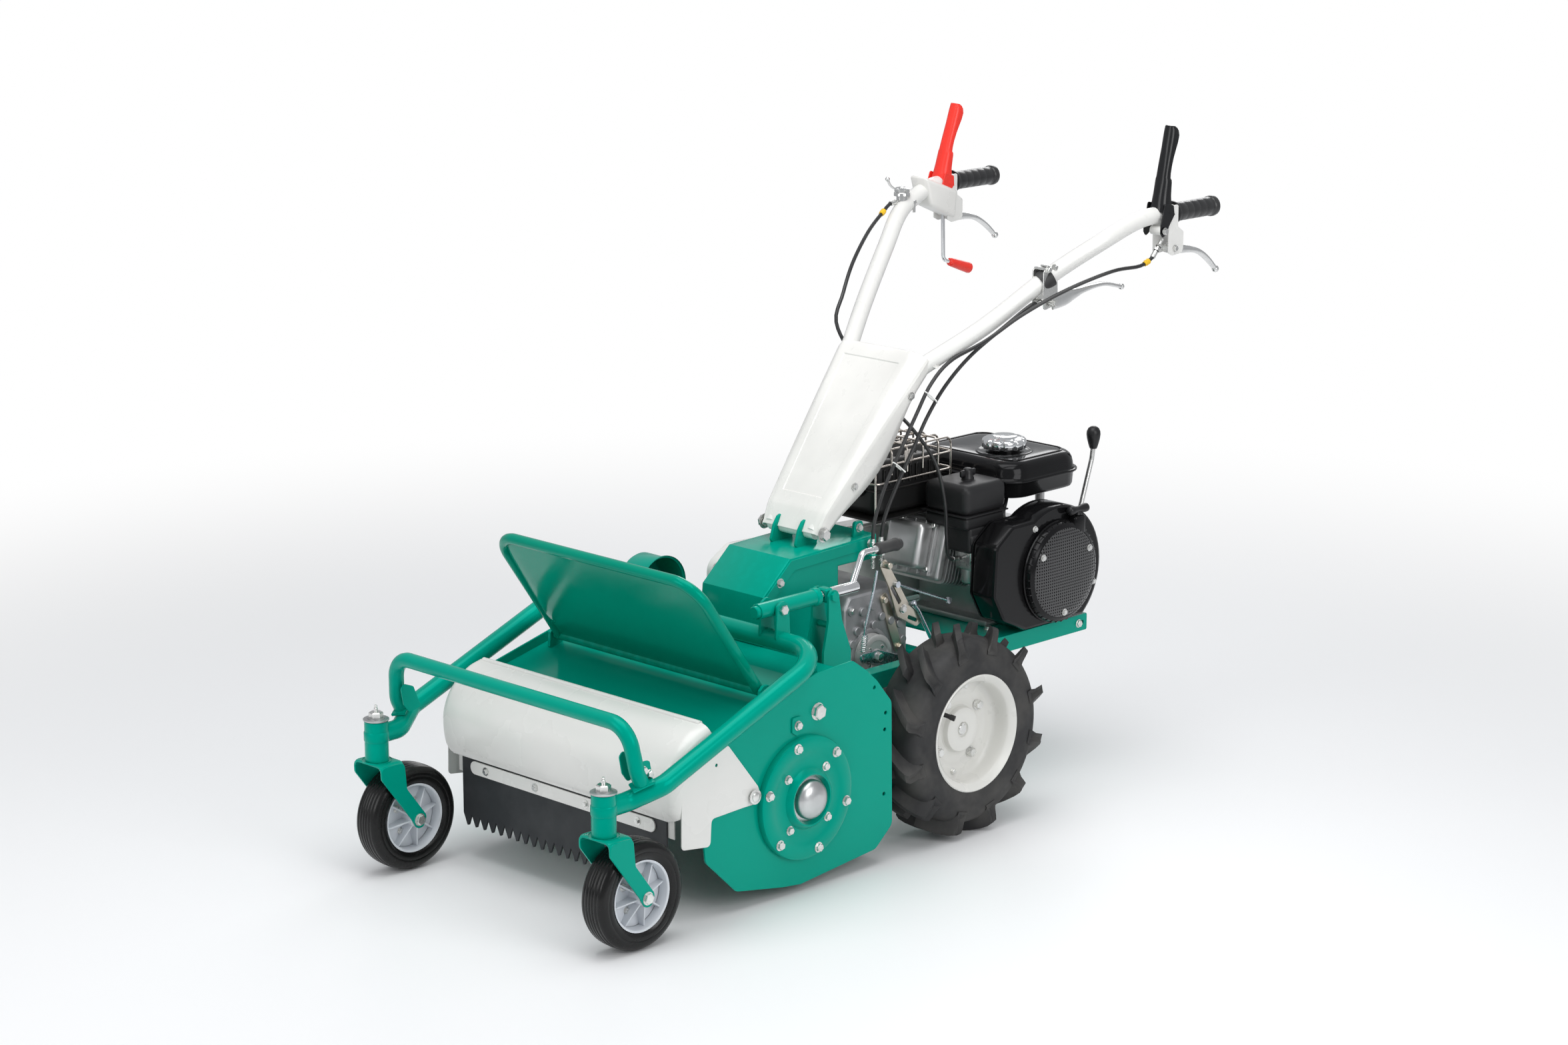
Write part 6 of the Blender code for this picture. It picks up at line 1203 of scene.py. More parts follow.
keep([lining], "clamp_lining", grip_rubber, "chassis")


# Throttle on the right tube: a friction stack of bright plated discs with a thin lever and its clamp, and
# the latch crank below it, a bent rod with a red handle.

STACK = Vector((-0.4, -0.258, 1.073))
discs = [lathe([(0.0, -0.005), (0.015, -0.005), (0.016, -0.0065), (0.016, -0.012), (0.011, -0.013),
        (0.011, -0.03), (0.0, -0.03)], STACK, "Z", 40),
        sheet_metal(soft_corners(oblong(-0.426, -0.272, -0.38, -0.244), 0.008, 4), 1.044, 1.0465, "XY"),
        pipe([(-0.42, -0.245, 1.045), (-0.42, -0.245, 1.028)], 0.0028),
        hex_bolt((-0.42, -0.245, 1.0465), (0, 0, 1), 0.008, 0.004, 0.006)]
keep(discs, "throttle_body", polished, "chassis", soft=35)
stick = [lathe([(0.0, 0.006), (0.006, 0.006), (0.0066, 0.0045), (0.012, 0.0035), (0.015, 0.002),
        (0.015, -0.0042), (0.0, -0.0042)], STACK, "Z", 40),
        blade_bar([STACK + Vector((0.002, 0, 0.0)), STACK + Vector((0.02, 0, 0.003)),
        STACK + Vector((0.034, 0, 0.012)), STACK + Vector((0.041, 0, 0.024))],
        ((0.005, 0.0016), (0.0045, 0.0014), (0.0032, 0.0014), (0.0026, 0.0018)), 0.0045)]
keep(stick, "throttle_stick", polished, "throttle", ["throttle_lever"], 40)
latch_run = rounded([(-0.535, -GRIP_Y, 1.03), (-0.535, -GRIP_Y, 1.002), (-0.537, -GRIP_Y, 0.918),
        (-0.606, -GRIP_Y, 0.8945)], 0.012, 8)
keep(pipe(latch_run, 0.0038, 20), "latch_crank", chrome_steel, "latch", ["latch_rod"])
way = (Vector((-0.606, 0, 0.8945)) - Vector((-0.537, 0, 0.918))).normalized()
red_grip = [(0.0, -0.002), (0.006, -0.002), (0.0078, 0.0), (0.0085, 0.006), (0.0096, 0.03), (0.0104, 0.05),
        (0.0108, 0.056), (0.0104, 0.059), (0.0088, 0.0605), (0.0, 0.061)]
handle = lathe(red_grip, (0, 0, 0), "Z", 40)
handle = stood(handle, Vector((-0.5465, -GRIP_Y, 0.9148)) + way * 0.01, way)
keep([handle], "latch_handle", red_dip, "latch")


# Control cables: black sheathed steel cables for the clutch, the parking brake and the throttle. They run
# from the levers down beside the column, with some slack, to the belt housing and the carburettor.

GLAND_Y, GLAND = 0.098, ((0.004, 0.006), (0.0055, 0.012), (0.0048, 0.01), (0.0042, 0.006))
cable_black = rubber("cable_sheath", (0.012, 0.012, 0.013), 0.36, (0.03, 0.03, 0.03), 0.2)
CLUTCH_ROUTE = [
    (-0.4969, 0.2885, 1.0047), (-0.488, 0.2885, 0.9955), (-0.455, 0.287, 0.984), (-0.385, 0.28, 0.982),
    (-0.3, 0.245, 0.954), (-0.225, 0.205, 0.913), (-0.165, 0.17, 0.868), (-0.115, 0.132, 0.834),
    (-0.075, 0.121, 0.796), (-0.04, 0.118, 0.745), (-0.005, 0.114, 0.687), (0.03, 0.107, 0.62),
    (0.049, 0.1, 0.56), (0.052, GLAND_Y, 0.523), (0.052, GLAND_Y, 0.5043)]
BRAKE_ROUTE = [
    (-0.2706, 0.205, 0.93), (-0.246, 0.204, 0.9265), (-0.205, 0.182, 0.892), (-0.15, 0.15, 0.842),
    (-0.11, 0.126, 0.79), (-0.075, 0.113, 0.735), (-0.042, 0.108, 0.678), (-0.005, 0.103, 0.615),
    (0.022, 0.099, 0.56), (0.03, GLAND_Y, 0.523), (0.03, GLAND_Y, 0.5043)]
THROTTLE_ROUTE = [
    (-0.3808, -0.26, 1.05), (-0.368, -0.26, 1.0485), (-0.345, -0.255, 1.037), (-0.279, -0.232, 1.008),
    (-0.19, -0.187, 0.965), (-0.132, -0.156, 0.918), (-0.1, -0.142, 0.868), (-0.114, -0.105, 0.8),
    (-0.125, -0.05, 0.738), (-0.134, 0.02, 0.688), (-0.143, 0.07, 0.63), (-0.15, 0.088, 0.56),
    (-0.154, 0.09, 0.49), (-0.162, 0.086, 0.457), (-0.175, 0.084, 0.444), (-0.1891, 0.084, 0.4432)]


def bowden(name, route):
    line = flowing(route, 72)
    sheath = keep(pipe(line, 0.0035, 16), name + "_sheath", cable_black, "chassis", [name], 60)
    return line


clutch_line = bowden("clutch_cable", CLUTCH_ROUTE)
brake_line = bowden("brake_cable", BRAKE_ROUTE)
throttle_line = bowden("throttle_cable", THROTTLE_ROUTE)


# Cable ends: zinc plated adjusters with lock nuts at the levers, bare inner wires with a weak spring, and
# threaded glands on a small angle plate of the belt housing.

def ferrule(start, way, parts):
    """Round parts of (radius, length) one after the other from the start, each kept as a turned piece."""
    way, profile, height = Vector(way).normalized(), [(0.0, 0.0)], 0.0
    for radius, length in parts:
        profile += [(radius, height + 0.0003), (radius, height + length - 0.0003)]
        height += length
    profile.append((0.0, height))
    piece = lathe(profile, (0, 0, 0), "Z", 24)
    piece.matrix_world = Matrix.Translation(start) @ aimed(way)
    return piece


def coil(start, end, radius, wire, turns):
    axis = Vector(end) - Vector(start)
    frame_of = Matrix.Translation(start) @ aimed(axis)
    points = []
    for i in range(turns * 12 + 1):
        a = math.tau * i / 12
        points.append(frame_of @ Vector((radius * math.cos(a), radius * math.sin(a),
                axis.length * i / (turns * 12))))
    return pipe(points, wire, 8)


ends = []
for line, adjust in ((clutch_line, 0.024), (brake_line, 0.02), (throttle_line, 0.0)):
    back = (line[0] - line[1]).normalized()
    ends.append(ferrule(line[0] - back * 0.012, back, ((0.0048, 0.014), (0.0034, adjust + 0.004))))
    if adjust:
        ends.append(hex_bolt(line[0] + back * 0.004, back, 0.01, 0.005, 0, 0.4))
        ends.append(hex_bolt(line[0] + back * 0.013, back, 0.01, 0.004, 0, 0.1))
INNER_WIRES = (
    ((-0.488, 0.2885, 0.996), (-0.546, 0.29, 1.029)), ((-0.296, 0.205, 0.933), (-0.33, 0.212, 0.933)),
    ((-0.38, -0.26, 1.05), (-0.405, -0.252, 1.056)))
ends += [pipe(wire, 0.0009, 8) for wire in INNER_WIRES]
for x in (0.03, 0.052):
    ends.append(ferrule((x, GLAND_Y, 0.492), (0, 0, 1), GLAND))
    ends.append(hex_bolt((x, GLAND_Y, 0.4982), (0, 0, 1), 0.0115, 0.0045, 0, x * 50))
    ends.append(hex_bolt((x, GLAND_Y, 0.4948), (0, 0, -1), 0.0115, 0.004, 0, x * 70))
    ends.append(coil((x, GLAND_Y, 0.492), (x, GLAND_Y + 0.0005, 0.47), 0.0036, 0.0007, 9))
ends.append(ferrule((-0.1891, 0.084, 0.4432), (1, 0, 0.05), ((0.0042, 0.01), (0.0036, 0.004))))
keep(ends, "cable_ends", zinc_plate, "chassis", soft=40)
yellow_clip = moulded("yellow_clip", (0.86, 0.52, 0.01), 0.34, 0.08, 300.0, 0.04, 0.2)
white_tie = moulded("white_tie", (0.84, 0.84, 0.82), 0.36, 0.08, 300.0, 0.04)
clips = []
for line, share in ((clutch_line, 2), (throttle_line, 3)):
    along = (line[share + 1] - line[share]).normalized()
    clips.append(ferrule(line[share], along, ((0.0056, 0.009), (0.0048, 0.004))))
keep(clips, "cable_clips", yellow_clip, "chassis")
ties = []
for a, b, share in ((clutch_line, brake_line, 46), (clutch_line, brake_line, 58)):
    middle = a[share]
    near = min(b, key=lambda p: (p - middle).length)
    along = (a[share + 1] - a[share - 1]).normalized()
    centre, across = (middle + near) / 2, near - middle
    half = across.length / 2
    side_way = across.normalized() if half > 1e-4 else Vector((1, 0, 0))
    other = along.cross(side_way).normalized()
    turns = [math.tau * i / 24 for i in range(25)]
    wide = half + 0.0046
    loop = [centre + side_way * (wide * math.cos(t)) + other * (0.005 * math.sin(t)) for t in turns]
    ties.append(pipe(loop, 0.0013, 8))
    ties.append(pipe([loop[6], loop[6] + other * 0.012 + along * 0.004], 0.0012, 8))
keep(ties, "cable_ties", white_tie, "chassis")


# Gearbox: a cast iron case under the belt housing, split at a bolted flange, with ribs, bosses for the
# axle on both sides, a filler plug and the drum of the parking brake.

def cast_metal(name, rgb, rough, metal=0.55, grain=160.0, depth=0.35):
    """Sand cast metal: coarse skin, a dull shine and a tone that drifts at random."""
    made, tree, shader, _ = nodes_of(name)
    drift = ranged(tree, noise(tree, 9.0, 5.0), 0.0, 1.0, 0.3, 0.7)
    join(tree, tinted(tree, drift, [c * 0.82 for c in rgb], [min(1, c * 1.15) for c in rgb]),
            shader.inputs["Base Color"])
    join(tree, ranged(tree, noise(tree, 40.0, 5.0), rough - 0.06, rough + 0.12), shader.inputs["Roughness"])
    put(shader, Metallic=metal)
    bumped(tree, shader, noise(tree, grain, 4.0), depth, 0.0008)
    return made


grey_casting = cast_metal("grey_casting", (0.4, 0.4, 0.41), 0.42, 0.75)
CASE = [(-0.055, 0.14), (-0.04, 0.125), (0.098, 0.125), (0.113, 0.14), (0.113, 0.4), (0.098, 0.424),
        (-0.03, 0.424), (-0.055, 0.395)]
BOX_HALF = 0.085
casting = [sheet_metal(soft_corners(CASE, 0.014, 5), -BOX_HALF, BOX_HALF, edge=0.006)]
casting.append(sheet_metal(soft_corners(oblong(-0.06, -0.09, 0.118, 0.09), 0.012, 5), 0.255, 0.267, "XY",
        edge=0.0015))
FLANGE_SCREWS = ((-0.036, 0.285), (0.094, 0.396), (-0.038, 0.15), (0.096, 0.15))
AXLE_BOSS = [(0.04, -0.004), (0.0385, 0.002), (0.034, 0.006), (0.031, 0.02), (0.029, 0.036), (0.027, 0.04),
        (0.0, 0.04)]
EYE_BOSS = [(0.01, -0.004), (0.009, 0.0035), (0.0, 0.0035)]
STUD = [(0.0085, -0.003), (0.008, 0.0045), (0.0068, 0.0055), (0.0, 0.0055)]
SEAT_RING = [(0.05, -0.002), (0.0495, 0.002), (0.047, 0.0032), (0.042, 0.0032), (0.041, 0.001),
        (0.0, 0.001)]
for side in (1, -1):
    casting.append(lathe(AXLE_BOSS, (0, side * BOX_HALF, AXLE_Z), "Y", 48, side))
    for x in (-0.03, 0.045, 0.08):
        casting.append(sheet_metal(oblong(x - 0.0022, 0.14, x + 0.0022, 0.254), side * 0.084, side * 0.0895,
                edge=0.0012))
    for x, z in ((-0.036, 0.285), (0.094, 0.285), (0.094, 0.396), (-0.028, 0.4), (-0.038, 0.15),
            (0.096, 0.15)):
        casting.append(lathe(EYE_BOSS, (x, side * BOX_HALF, z), "Y", 24, side))
    for x, z in (
            (-0.03, 0.35), (-0.008, 0.36), (0.016, 0.372), (0.036, 0.36), (0.058, 0.366), (0.08, 0.356),
            (0.094, 0.334),
            (0.066, 0.39), (0.04, 0.396), (0.088, 0.262), (0.012, 0.262), (-0.04, 0.318)):
        casting.append(lathe(STUD, (x, side * BOX_HALF, z), "Y", 20, side))
    casting.append(lathe(SEAT_RING, (0.047, side * BOX_HALF, 0.306), "Y", 56, side))
for z in (0.3, 0.33, 0.36, 0.39):
    casting.append(sheet_metal(oblong(-0.07, z - 0.0022, 0.07, z + 0.0022), 0.112, 0.1172, "YZ",
            edge=0.0012))
keep(casting, "gearbox_case", grey_casting, "chassis", ["gearbox"], 32)
case_bolts = []
for side in (1, -1):
    for x in (-0.048, -0.01, 0.03, 0.07, 0.106):
        case_bolts.append(hex_bolt((x, side * 0.0868, 0.267), (0, 0, 1), 0.0095, 0.0055, 0.007, x * 40))
    for x, z in FLANGE_SCREWS:
        case_bolts.append(hex_bolt((x, side * 0.0886, z), (0, side, 0), 0.0105, 0.005, 0.0, z * 60))
case_bolts.append(hex_bolt((0.07, 0.085, 0.21), (0, 1, 0), 0.017, 0.008, 0.012, 0.2))
fixings(case_bolts, "gearbox_bolts")


# Parking brake and shift linkage: a pressed drum with four rivets, a nickel plated strap and slotted arm,
# and a blue zinc plated lever, rod and link. A chromed spring pulls the brake lever back.

blue_zinc = plated("blue_zinc", (0.66, 0.7, 0.76), 0.24, 0.06)
nickel_strap = plated("nickel_strap", (0.66, 0.61, 0.52), 0.3, 0.06)
DRUM = (0.047, 0.085, 0.306)
drum = [lathe([(0.0385, -0.002), (0.04, 0.0), (0.04, 0.003), (0.0392, 0.004), (0.0392, 0.015),
        (0.04, 0.016), (0.04, 0.019),
        (0.0372, 0.0203), (0.03, 0.0205), (0.028, 0.019), (0.014, 0.0188), (0.012, 0.0205), (0.0, 0.0205)],
        DRUM, "Y", 64)]
drum_steel = cast_metal("drum_steel", (0.58, 0.58, 0.57), 0.34, 0.45, 260.0, 0.05)
keep(drum, "brake_drum", drum_steel, "chassis", soft=35)
rivets = []
RIVET = [(0.0042, -0.001), (0.0038, 0.0008), (0.002, 0.0016), (0.0, 0.0018)]
for x, z in ring_of(DRUM[0], DRUM[2], 0.022, 4, math.tau / 8):
    rivets.append(lathe(RIVET, (x, 0.104, z), "Y", 20))
rivets.append(hex_bolt((DRUM[0], 0.1098, DRUM[2]), (0, 1, 0), 0.015, 0.0052, 0.01, 0.3))
rivets.append(pipe([(-0.027, 0.084, 0.38), (-0.027, 0.1015, 0.38)], 0.006))
rivets.append(hex_bolt((-0.027, 0.1006, 0.38), (0, 1, 0), 0.012, 0.003, 0.0085, 0.3))
fixings(rivets, "drum_fixings")
strap_line = soft_corners([(0.022, 0.41), (0.004, 0.416), (-0.018, 0.36), (-0.04, 0.302), (-0.022, 0.294),
        (0.0, 0.35)], 0.006, 4)
strap = [sheet_metal(strap_line, 0.0852, 0.0885, edge=0.0008)]
for x, z in ((0.012, 0.402), (-0.03, 0.306)):
    strap.append(hex_bolt((x, 0.0885, z), (0, 1, 0), 0.0105, 0.005, 0.0075, z * 30))
keep(strap, "drum_strap", nickel_strap, "chassis", soft=30)
ARM = [(-0.034, 0.276), (-0.026, 0.274), (0.047, 0.292), (0.093, 0.305), (0.094, 0.318), (0.047, 0.319),
        (-0.03, 0.291), (-0.036, 0.286)]
arm = [sheet_metal(soft_corners(ARM, 0.005, 4), 0.106, 0.1096,
        holes=[ring_of(0.087, 0.312, 0.003), ring_of(-0.03, 0.283, 0.0028)])]
keep(arm, "brake_arm_plate", blue_zinc, "brake_linkage", ["brake_arm"], 30)
ROD_Y = 0.1078
EYE, SPRING_TOP = Vector((0.087, ROD_Y, 0.312)), Vector((0.0808, ROD_Y, 0.366))
up = (SPRING_TOP - EYE).normalized()
hook = [EYE + Vector((0, -0.004, 0)), EYE + Vector((0, 0.003, 0.004)), EYE + up * 0.0115]
hooks = [coil(hook[-1], EYE + up * 0.042, 0.006, 0.001, 9), pipe(hook, 0.001, 8)]
keep(hooks, "brake_spring", chrome_steel, "brake_linkage", ["return_spring"], 60)
rod_line = rounded([EYE + up * 0.04, SPRING_TOP, (0.06, ROD_Y, 0.43), (0.051, ROD_Y, 0.468)], 0.02, 6)
keep(pipe(rod_line, 0.0028, 16), "brake_pull_rod", blue_zinc, "brake_linkage", ["brake_rod"], 60)
SLOT_ARM = [(0.02, 0.484), (0.036, 0.474), (0.01, 0.426), (-0.012, 0.368), (-0.064, 0.34), (-0.08, 0.348),
        (-0.074, 0.36), (-0.046, 0.382), (-0.022, 0.42)]
long_slot = soft_corners([(0.0, 0.43), (0.0075, 0.427), (-0.016, 0.39), (-0.023, 0.394)], 0.003, 3)
short_slot = soft_corners([(-0.042, 0.366), (-0.038, 0.36), (-0.064, 0.348), (-0.068, 0.354)], 0.0028, 3)
swinging = [sheet_metal(soft_corners(SLOT_ARM, 0.006, 4), 0.0967, 0.1003,
        holes=[long_slot, short_slot, ring_of(0.022, 0.472, 0.003)])]
swinging.append(lathe([(0.0, -0.001), (0.0062, -0.001), (0.0062, 0.015), (0.005, 0.0165), (0.0, 0.0165)],
        (0.022, 0.0985, 0.472), "Y", 24))
keep(swinging, "slotted_plate", nickel_strap, "slotted_arm", ["slot_arm"], 30)
stay = [pipe(rounded([(-0.05, 0.103, 0.388), (-0.064, 0.103, 0.372), (-0.096, 0.106, 0.314)], 0.01, 4),
        0.0042), hex_bolt((-0.052, 0.103, 0.386), (0, 1, 0), 0.01, 0.0045, 0.0065)]
keep(stay, "shift_stay", blue_zinc, "slotted_arm", soft=50)
LINK_ENDS = ((-0.009, 0.43), (-0.148, 0.374))
link = [pipe([(x, 0.1027, z) for x, z in LINK_ENDS], 0.0024)]
link += [lathe([(0.006, -0.001), (0.006, 0.0042), (0.0, 0.0046)], (x, 0.1008, z), "Y", 24) for x,
        z in LINK_ENDS]
keep(link, "shift_link", blue_zinc, "link", ["link_rod"], 30)


# Rear frame: two welded steel channels with the engine plate between them and ears for the shift lever,
# enamelled green. The channels have slotted holes near both ends and are bolted from outside.

RAIL_REAR, RAIL_FRONT, RAIL_OUT = -0.47, 0.2137, 0.165
frame_parts = []
for side in (1, -1):
    web = soft_corners(oblong(RAIL_REAR, 0.268, RAIL_FRONT, 0.3), 0.003, 2)
    slots = [soft_corners(oblong(x - 0.011, 0.28, x + 0.011, 0.288), 0.0038, 4) for x in (-0.45, 0.14)]
    frame_parts.append(sheet_metal(web, side * 0.1618, side * RAIL_OUT, holes=slots))
    for z in (0.268, 0.297):
        frame_parts.append(block((RAIL_REAR, side * 0.135, z), (RAIL_FRONT, side * 0.1645, z + 0.003),
                0.0008, 1))
    for x in (-0.4685, -0.163, 0.0):
        frame_parts.append(block((x, side * 0.136, 0.269), (x + 0.003, side * 0.164, 0.299), 0.0008, 1))
    ear = soft_corners([(-0.47, 0.298), (-0.44, 0.298), (-0.447, 0.3235), (-0.468, 0.3235)], 0.005, 4)
    frame_parts.append(sheet_metal(ear, 0.1 + side * 0.0066, 0.1 + side * 0.0092))
PLATE = soft_corners(oblong(-0.466, -0.15, -0.17, 0.15), 0.01, 4)
mounting_slots = [soft_corners(oblong(x - 0.012, y - 0.005, x + 0.012, y + 0.005), 0.0045, 4)
        for x in (-0.452, -0.2) for y in (-0.118, 0.118)]
frame_parts.append(sheet_metal(PLATE, 0.2942, 0.2994, "XY", mounting_slots))
frame_parts.append(block((-0.09, -0.135, 0.27), (-0.0553, 0.135, 0.293), 0.003, 2))
frame_parts.append(sheet_metal(soft_corners(oblong(-0.15, 0.27, 0.15, 0.298), 0.004, 3), -0.469, -0.466,
        "YZ"))
keep(frame_parts, "rear_channels", green_enamel, "chassis", ["rear_frame"], 30)
EYE_X, SHIFT_Y, EYE_Z = -0.4575, 0.1, 0.312
frame_bolts = [pipe([(EYE_X, 0.089, EYE_Z), (EYE_X, 0.111, EYE_Z)], 0.004)]
frame_bolts += [hex_bolt((EYE_X, SHIFT_Y + s * 0.0092, EYE_Z), (0, s, 0), 0.01, 0.0042, 0.007,
        0.2) for s in (1, -1)]
for side in (1, -1):
    for x in (-0.445, -0.21, 0.03, 0.17):
        frame_bolts.append(hex_bolt((x, side * RAIL_OUT, 0.284), (0, side, 0), 0.0115, 0.0048, 0.008,
                x * 31))
    for x in (-0.425, -0.25):
        frame_bolts.append(hex_bolt((x, side * 0.11, 0.2994), (0, 0, 1), 0.0115, 0.006, 0.0085, x * 57))
fixings(frame_bolts, "frame_bolts")


# Belt housing: a folded steel case between the deck and the column, with faceted front edges, the ears
# that carry the column and the small plate that holds the cable glands.

HOUSING = [
    (0.02, 0.4826), (0.119, 0.4826), (0.119, 0.2705), (0.2137, 0.2705), (0.2137, 0.2865), (0.2515, 0.3315),
    (0.2855, 0.3565), (0.3145, 0.3715), (0.3175, 0.382), (0.31, 0.46), (0.243, 0.519), (0.02, 0.5255)]
housing = [sheet_metal(HOUSING, -0.078, 0.078, edge=0.0035)]
SEAM = [(0.0235, 0.503), (0.0235, 0.522), (0.242, 0.5155), (0.307, 0.458), (0.314, 0.385), (0.296, 0.37),
        (0.288, 0.45), (0.233, 0.496)]
for side in (1, -1):
    housing.append(sheet_metal(SEAM, side * 0.0776, side * 0.08, edge=0.0008))
    ear = [(0.128, 0.52), (0.134, 0.552), (0.144, 0.566), (0.155, 0.57), (0.166, 0.566), (0.176, 0.552),
            (0.186, 0.52)]
    housing.append(sheet_metal(soft_corners(ear, 0.006, 4), side * 0.028, side * 0.034,
            holes=[ring_of(0.155, 0.547, 0.0062)]))
lug = [(0.036, 0.518), (0.066, 0.518), (0.061, 0.552), (0.041, 0.552)]
housing.append(sheet_metal(soft_corners(lug, 0.006, 4), 0.056, 0.062, holes=[ring_of(0.051, 0.54, 0.0042)]))
housing.append(sheet_metal(soft_corners(oblong(0.022, 0.077, 0.06, 0.105), 0.003, 3), 0.495, 0.498, "XY"))
housing.append(block((0.022, 0.077, 0.482), (0.06, 0.0795, 0.4975), 0.0008, 1))
keep(housing, "belt_case", green_enamel, "chassis", ["belt_housing"], 28)
case_screws = [hex_bolt((0.051, 0.062, 0.54), (0, 1, 0), 0.0115, 0.005, 0.008, 0.3)]
for side in (1, -1):
    for x, z in ((0.04, 0.512), (0.27, 0.48), (0.165, 0.3)):
        case_screws.append(hex_bolt((x, side * 0.0795, z), (0, side, 0), 0.0115, 0.005, 0.0085, x * 47))
fixings(case_screws, "case_screws")


# Covers on the right side: a long pressed cover over the engine's belt, white, and a round green cover
# over the rotor's pulley, each with a raised rim and screws.

BELT_COVER = [
    (-0.44, 0.345), (-0.44, 0.425), (-0.395, 0.463), (0.145, 0.486), (0.196, 0.455), (0.196, 0.365),
    (0.15, 0.326),
    (-0.4, 0.3115)]
inner_line = [(-0.42, 0.352), (-0.42, 0.416), (-0.386, 0.443), (0.138, 0.464), (0.176, 0.442),
        (0.176, 0.374), (0.142, 0.346), (-0.392, 0.3325)]
flange_line = [
    (-0.444, 0.342), (-0.444, 0.428), (-0.397, 0.467), (0.147, 0.49), (0.2, 0.457), (0.2, 0.362),
    (0.152, 0.322),
    (-0.402, 0.308)]
side_cover = [sheet_metal(soft_corners(BELT_COVER, 0.03, 8), -0.124, -0.187, edge=0.005),
        sheet_metal(soft_corners(inner_line, 0.022, 8), -0.186, -0.1905, edge=0.002),
        sheet_metal(soft_corners(flange_line, 0.032, 8), -0.13, -0.133, edge=0.0008)]
shaft_disc = [(0.04, 0.0), (0.04, 0.003), (0.037, 0.0048), (0.012, 0.0048), (0.01, 0.003), (0.0, 0.003)]
side_cover.append(lathe(shaft_disc, (-0.361, -0.1895, 0.392), "Y", 48, -1))
keep(side_cover, "long_belt_cover", white_enamel, "chassis", ["side_belt_cover"], 30)
PULLEY_X, PULLEY_Z = 0.285, 0.425
round_line = [
    (0.056, 0.0), (0.056, 0.003), (0.052, 0.004), (0.052, 0.06), (0.049, 0.0655), (0.044, 0.0672),
    (0.03, 0.0672),
    (0.028, 0.07), (0.012, 0.0716), (0.0, 0.0718)]
round_cover = [lathe(round_line, (PULLEY_X, -0.205, PULLEY_Z), "Y", 64, -1)]
foot_line = [(0.256, 0.34), (0.286, 0.3585), (0.312, 0.372), (0.333, 0.425), (0.285, 0.425), (0.237, 0.425)]
round_cover.append(sheet_metal(foot_line, -0.212, -0.267, edge=0.003))
keep(round_cover, "round_pulley_cover", green_enamel, "chassis", ["pulley_cover"], 32)
cover_bolts = [hex_bolt((x, -0.1905, z), (0, -1, 0), 0.01, 0.0042, 0.0065, x * 21) for x,
        z in ((-0.29, 0.385), (-0.1, 0.405), (0.155, 0.41))]
for a in (0.6, 2.7, 4.8):
    spot = (PULLEY_X + 0.04 * math.cos(a), -0.2722, PULLEY_Z + 0.04 * math.sin(a))
    cover_bolts.append(hex_bolt(spot, (0, -1, 0), 0.0085, 0.0036, 0.0058, a))
fixings(cover_bolts, "side_cover_bolts")


# Engine: an air cooled single cylinder engine with its cylinder leaning forward. The crankcase and the
# finned cylinder are die cast aluminium, left bare; the head has a bolted valve cover.

bare_alloy = cast_metal("bare_alloy", (0.6, 0.6, 0.6), 0.34, 0.8, 260.0, 0.1)
CRANK = Vector((-0.361, 0, 0.406))
lean = Matrix.Translation(CRANK) @ Matrix.Rotation(-math.radians(15), 4, "Y")


def leaning(piece):
    bpy.context.view_layer.update()
    piece.matrix_world = lean @ piece.matrix_world
    return piece


engine = [block((-0.435, -0.105, 0.2998), (-0.285, 0.1212, 0.475), 0.012, 4),
        block((-0.441, -0.095, 0.2998), (-0.255, 0.1, 0.312), 0.004, 2)]
engine.append(leaning(block((0.06, -0.06, -0.044), (0.172, 0.05, 0.044), 0.01, 3)))
for i in range(9):
    at = 0.095 + i * 0.0087
    fin = soft_corners(oblong(-0.084, -0.064, 0.058, 0.064), 0.014, 4)
    engine.append(leaning(sheet_metal(fin, at, at + 0.0026, "YZ", edge=0.0007)))
engine.append(leaning(block((0.172, -0.078, -0.058), (0.19, 0.056, 0.058), 0.006, 3)))
for i in range(5):
    engine.append(leaning(block((0.19, -0.066 + i * 0.026, -0.052), (0.199, -0.0635 + i * 0.026, 0.05),
            0.0008, 1)))
engine.append(leaning(block((0.19, -0.052, -0.046), (0.198, 0.042, 0.048), 0.002, 2)))
engine.append(leaning(block((0.198, -0.048, -0.042), (0.236, 0.038, 0.044), 0.011, 4)))
for x in (-0.42, -0.31):
    for y in (-0.085, 0.085):
        engine.append(pipe([(x, y, 0.465), (x, y, 0.5397)], 0.009))
exhaust = rounded([(-0.19, -0.066, 0.47), (-0.172, -0.066, 0.5), (-0.17, -0.066, 0.5197)], 0.02, 4)
engine.append(pipe(exhaust, 0.014))
for x in (-0.41, -0.38, -0.35, -0.32):
    engine.append(block((x, -0.107, 0.33), (x + 0.003, -0.103, 0.455), 0.0008, 1))
    engine.append(block((x - 0.01, 0.02, 0.474), (x - 0.007, 0.115, 0.479), 0.0008, 1))
SHAFT_SEAT = [(0.056, -0.002), (0.056, 0.003), (0.052, 0.005), (0.03, 0.006), (0.025, 0.012), (0.0, 0.012)]
engine.append(lathe(SHAFT_SEAT, (-0.361, -0.105, 0.4), "Y", 48, -1))
keep(engine, "engine_castings", bare_alloy, "chassis", ["engine_block"], 32)
head_bolts = []
for y in (-0.036, 0.026):
    for z in (-0.034, 0.036):
        spot = (0.198, y * 1.3 + 0.002, z * 1.18)
        head_bolts.append(leaning(hex_bolt(spot, (1, 0, 0), 0.0095, 0.006, 0.0, y * 70)))
for x in (-0.425, -0.295):
    for z in (0.325, 0.455):
        head_bolts.append(hex_bolt((x, -0.105, z), (0, -1, 0), 0.01, 0.005, 0.0072, x * 33))
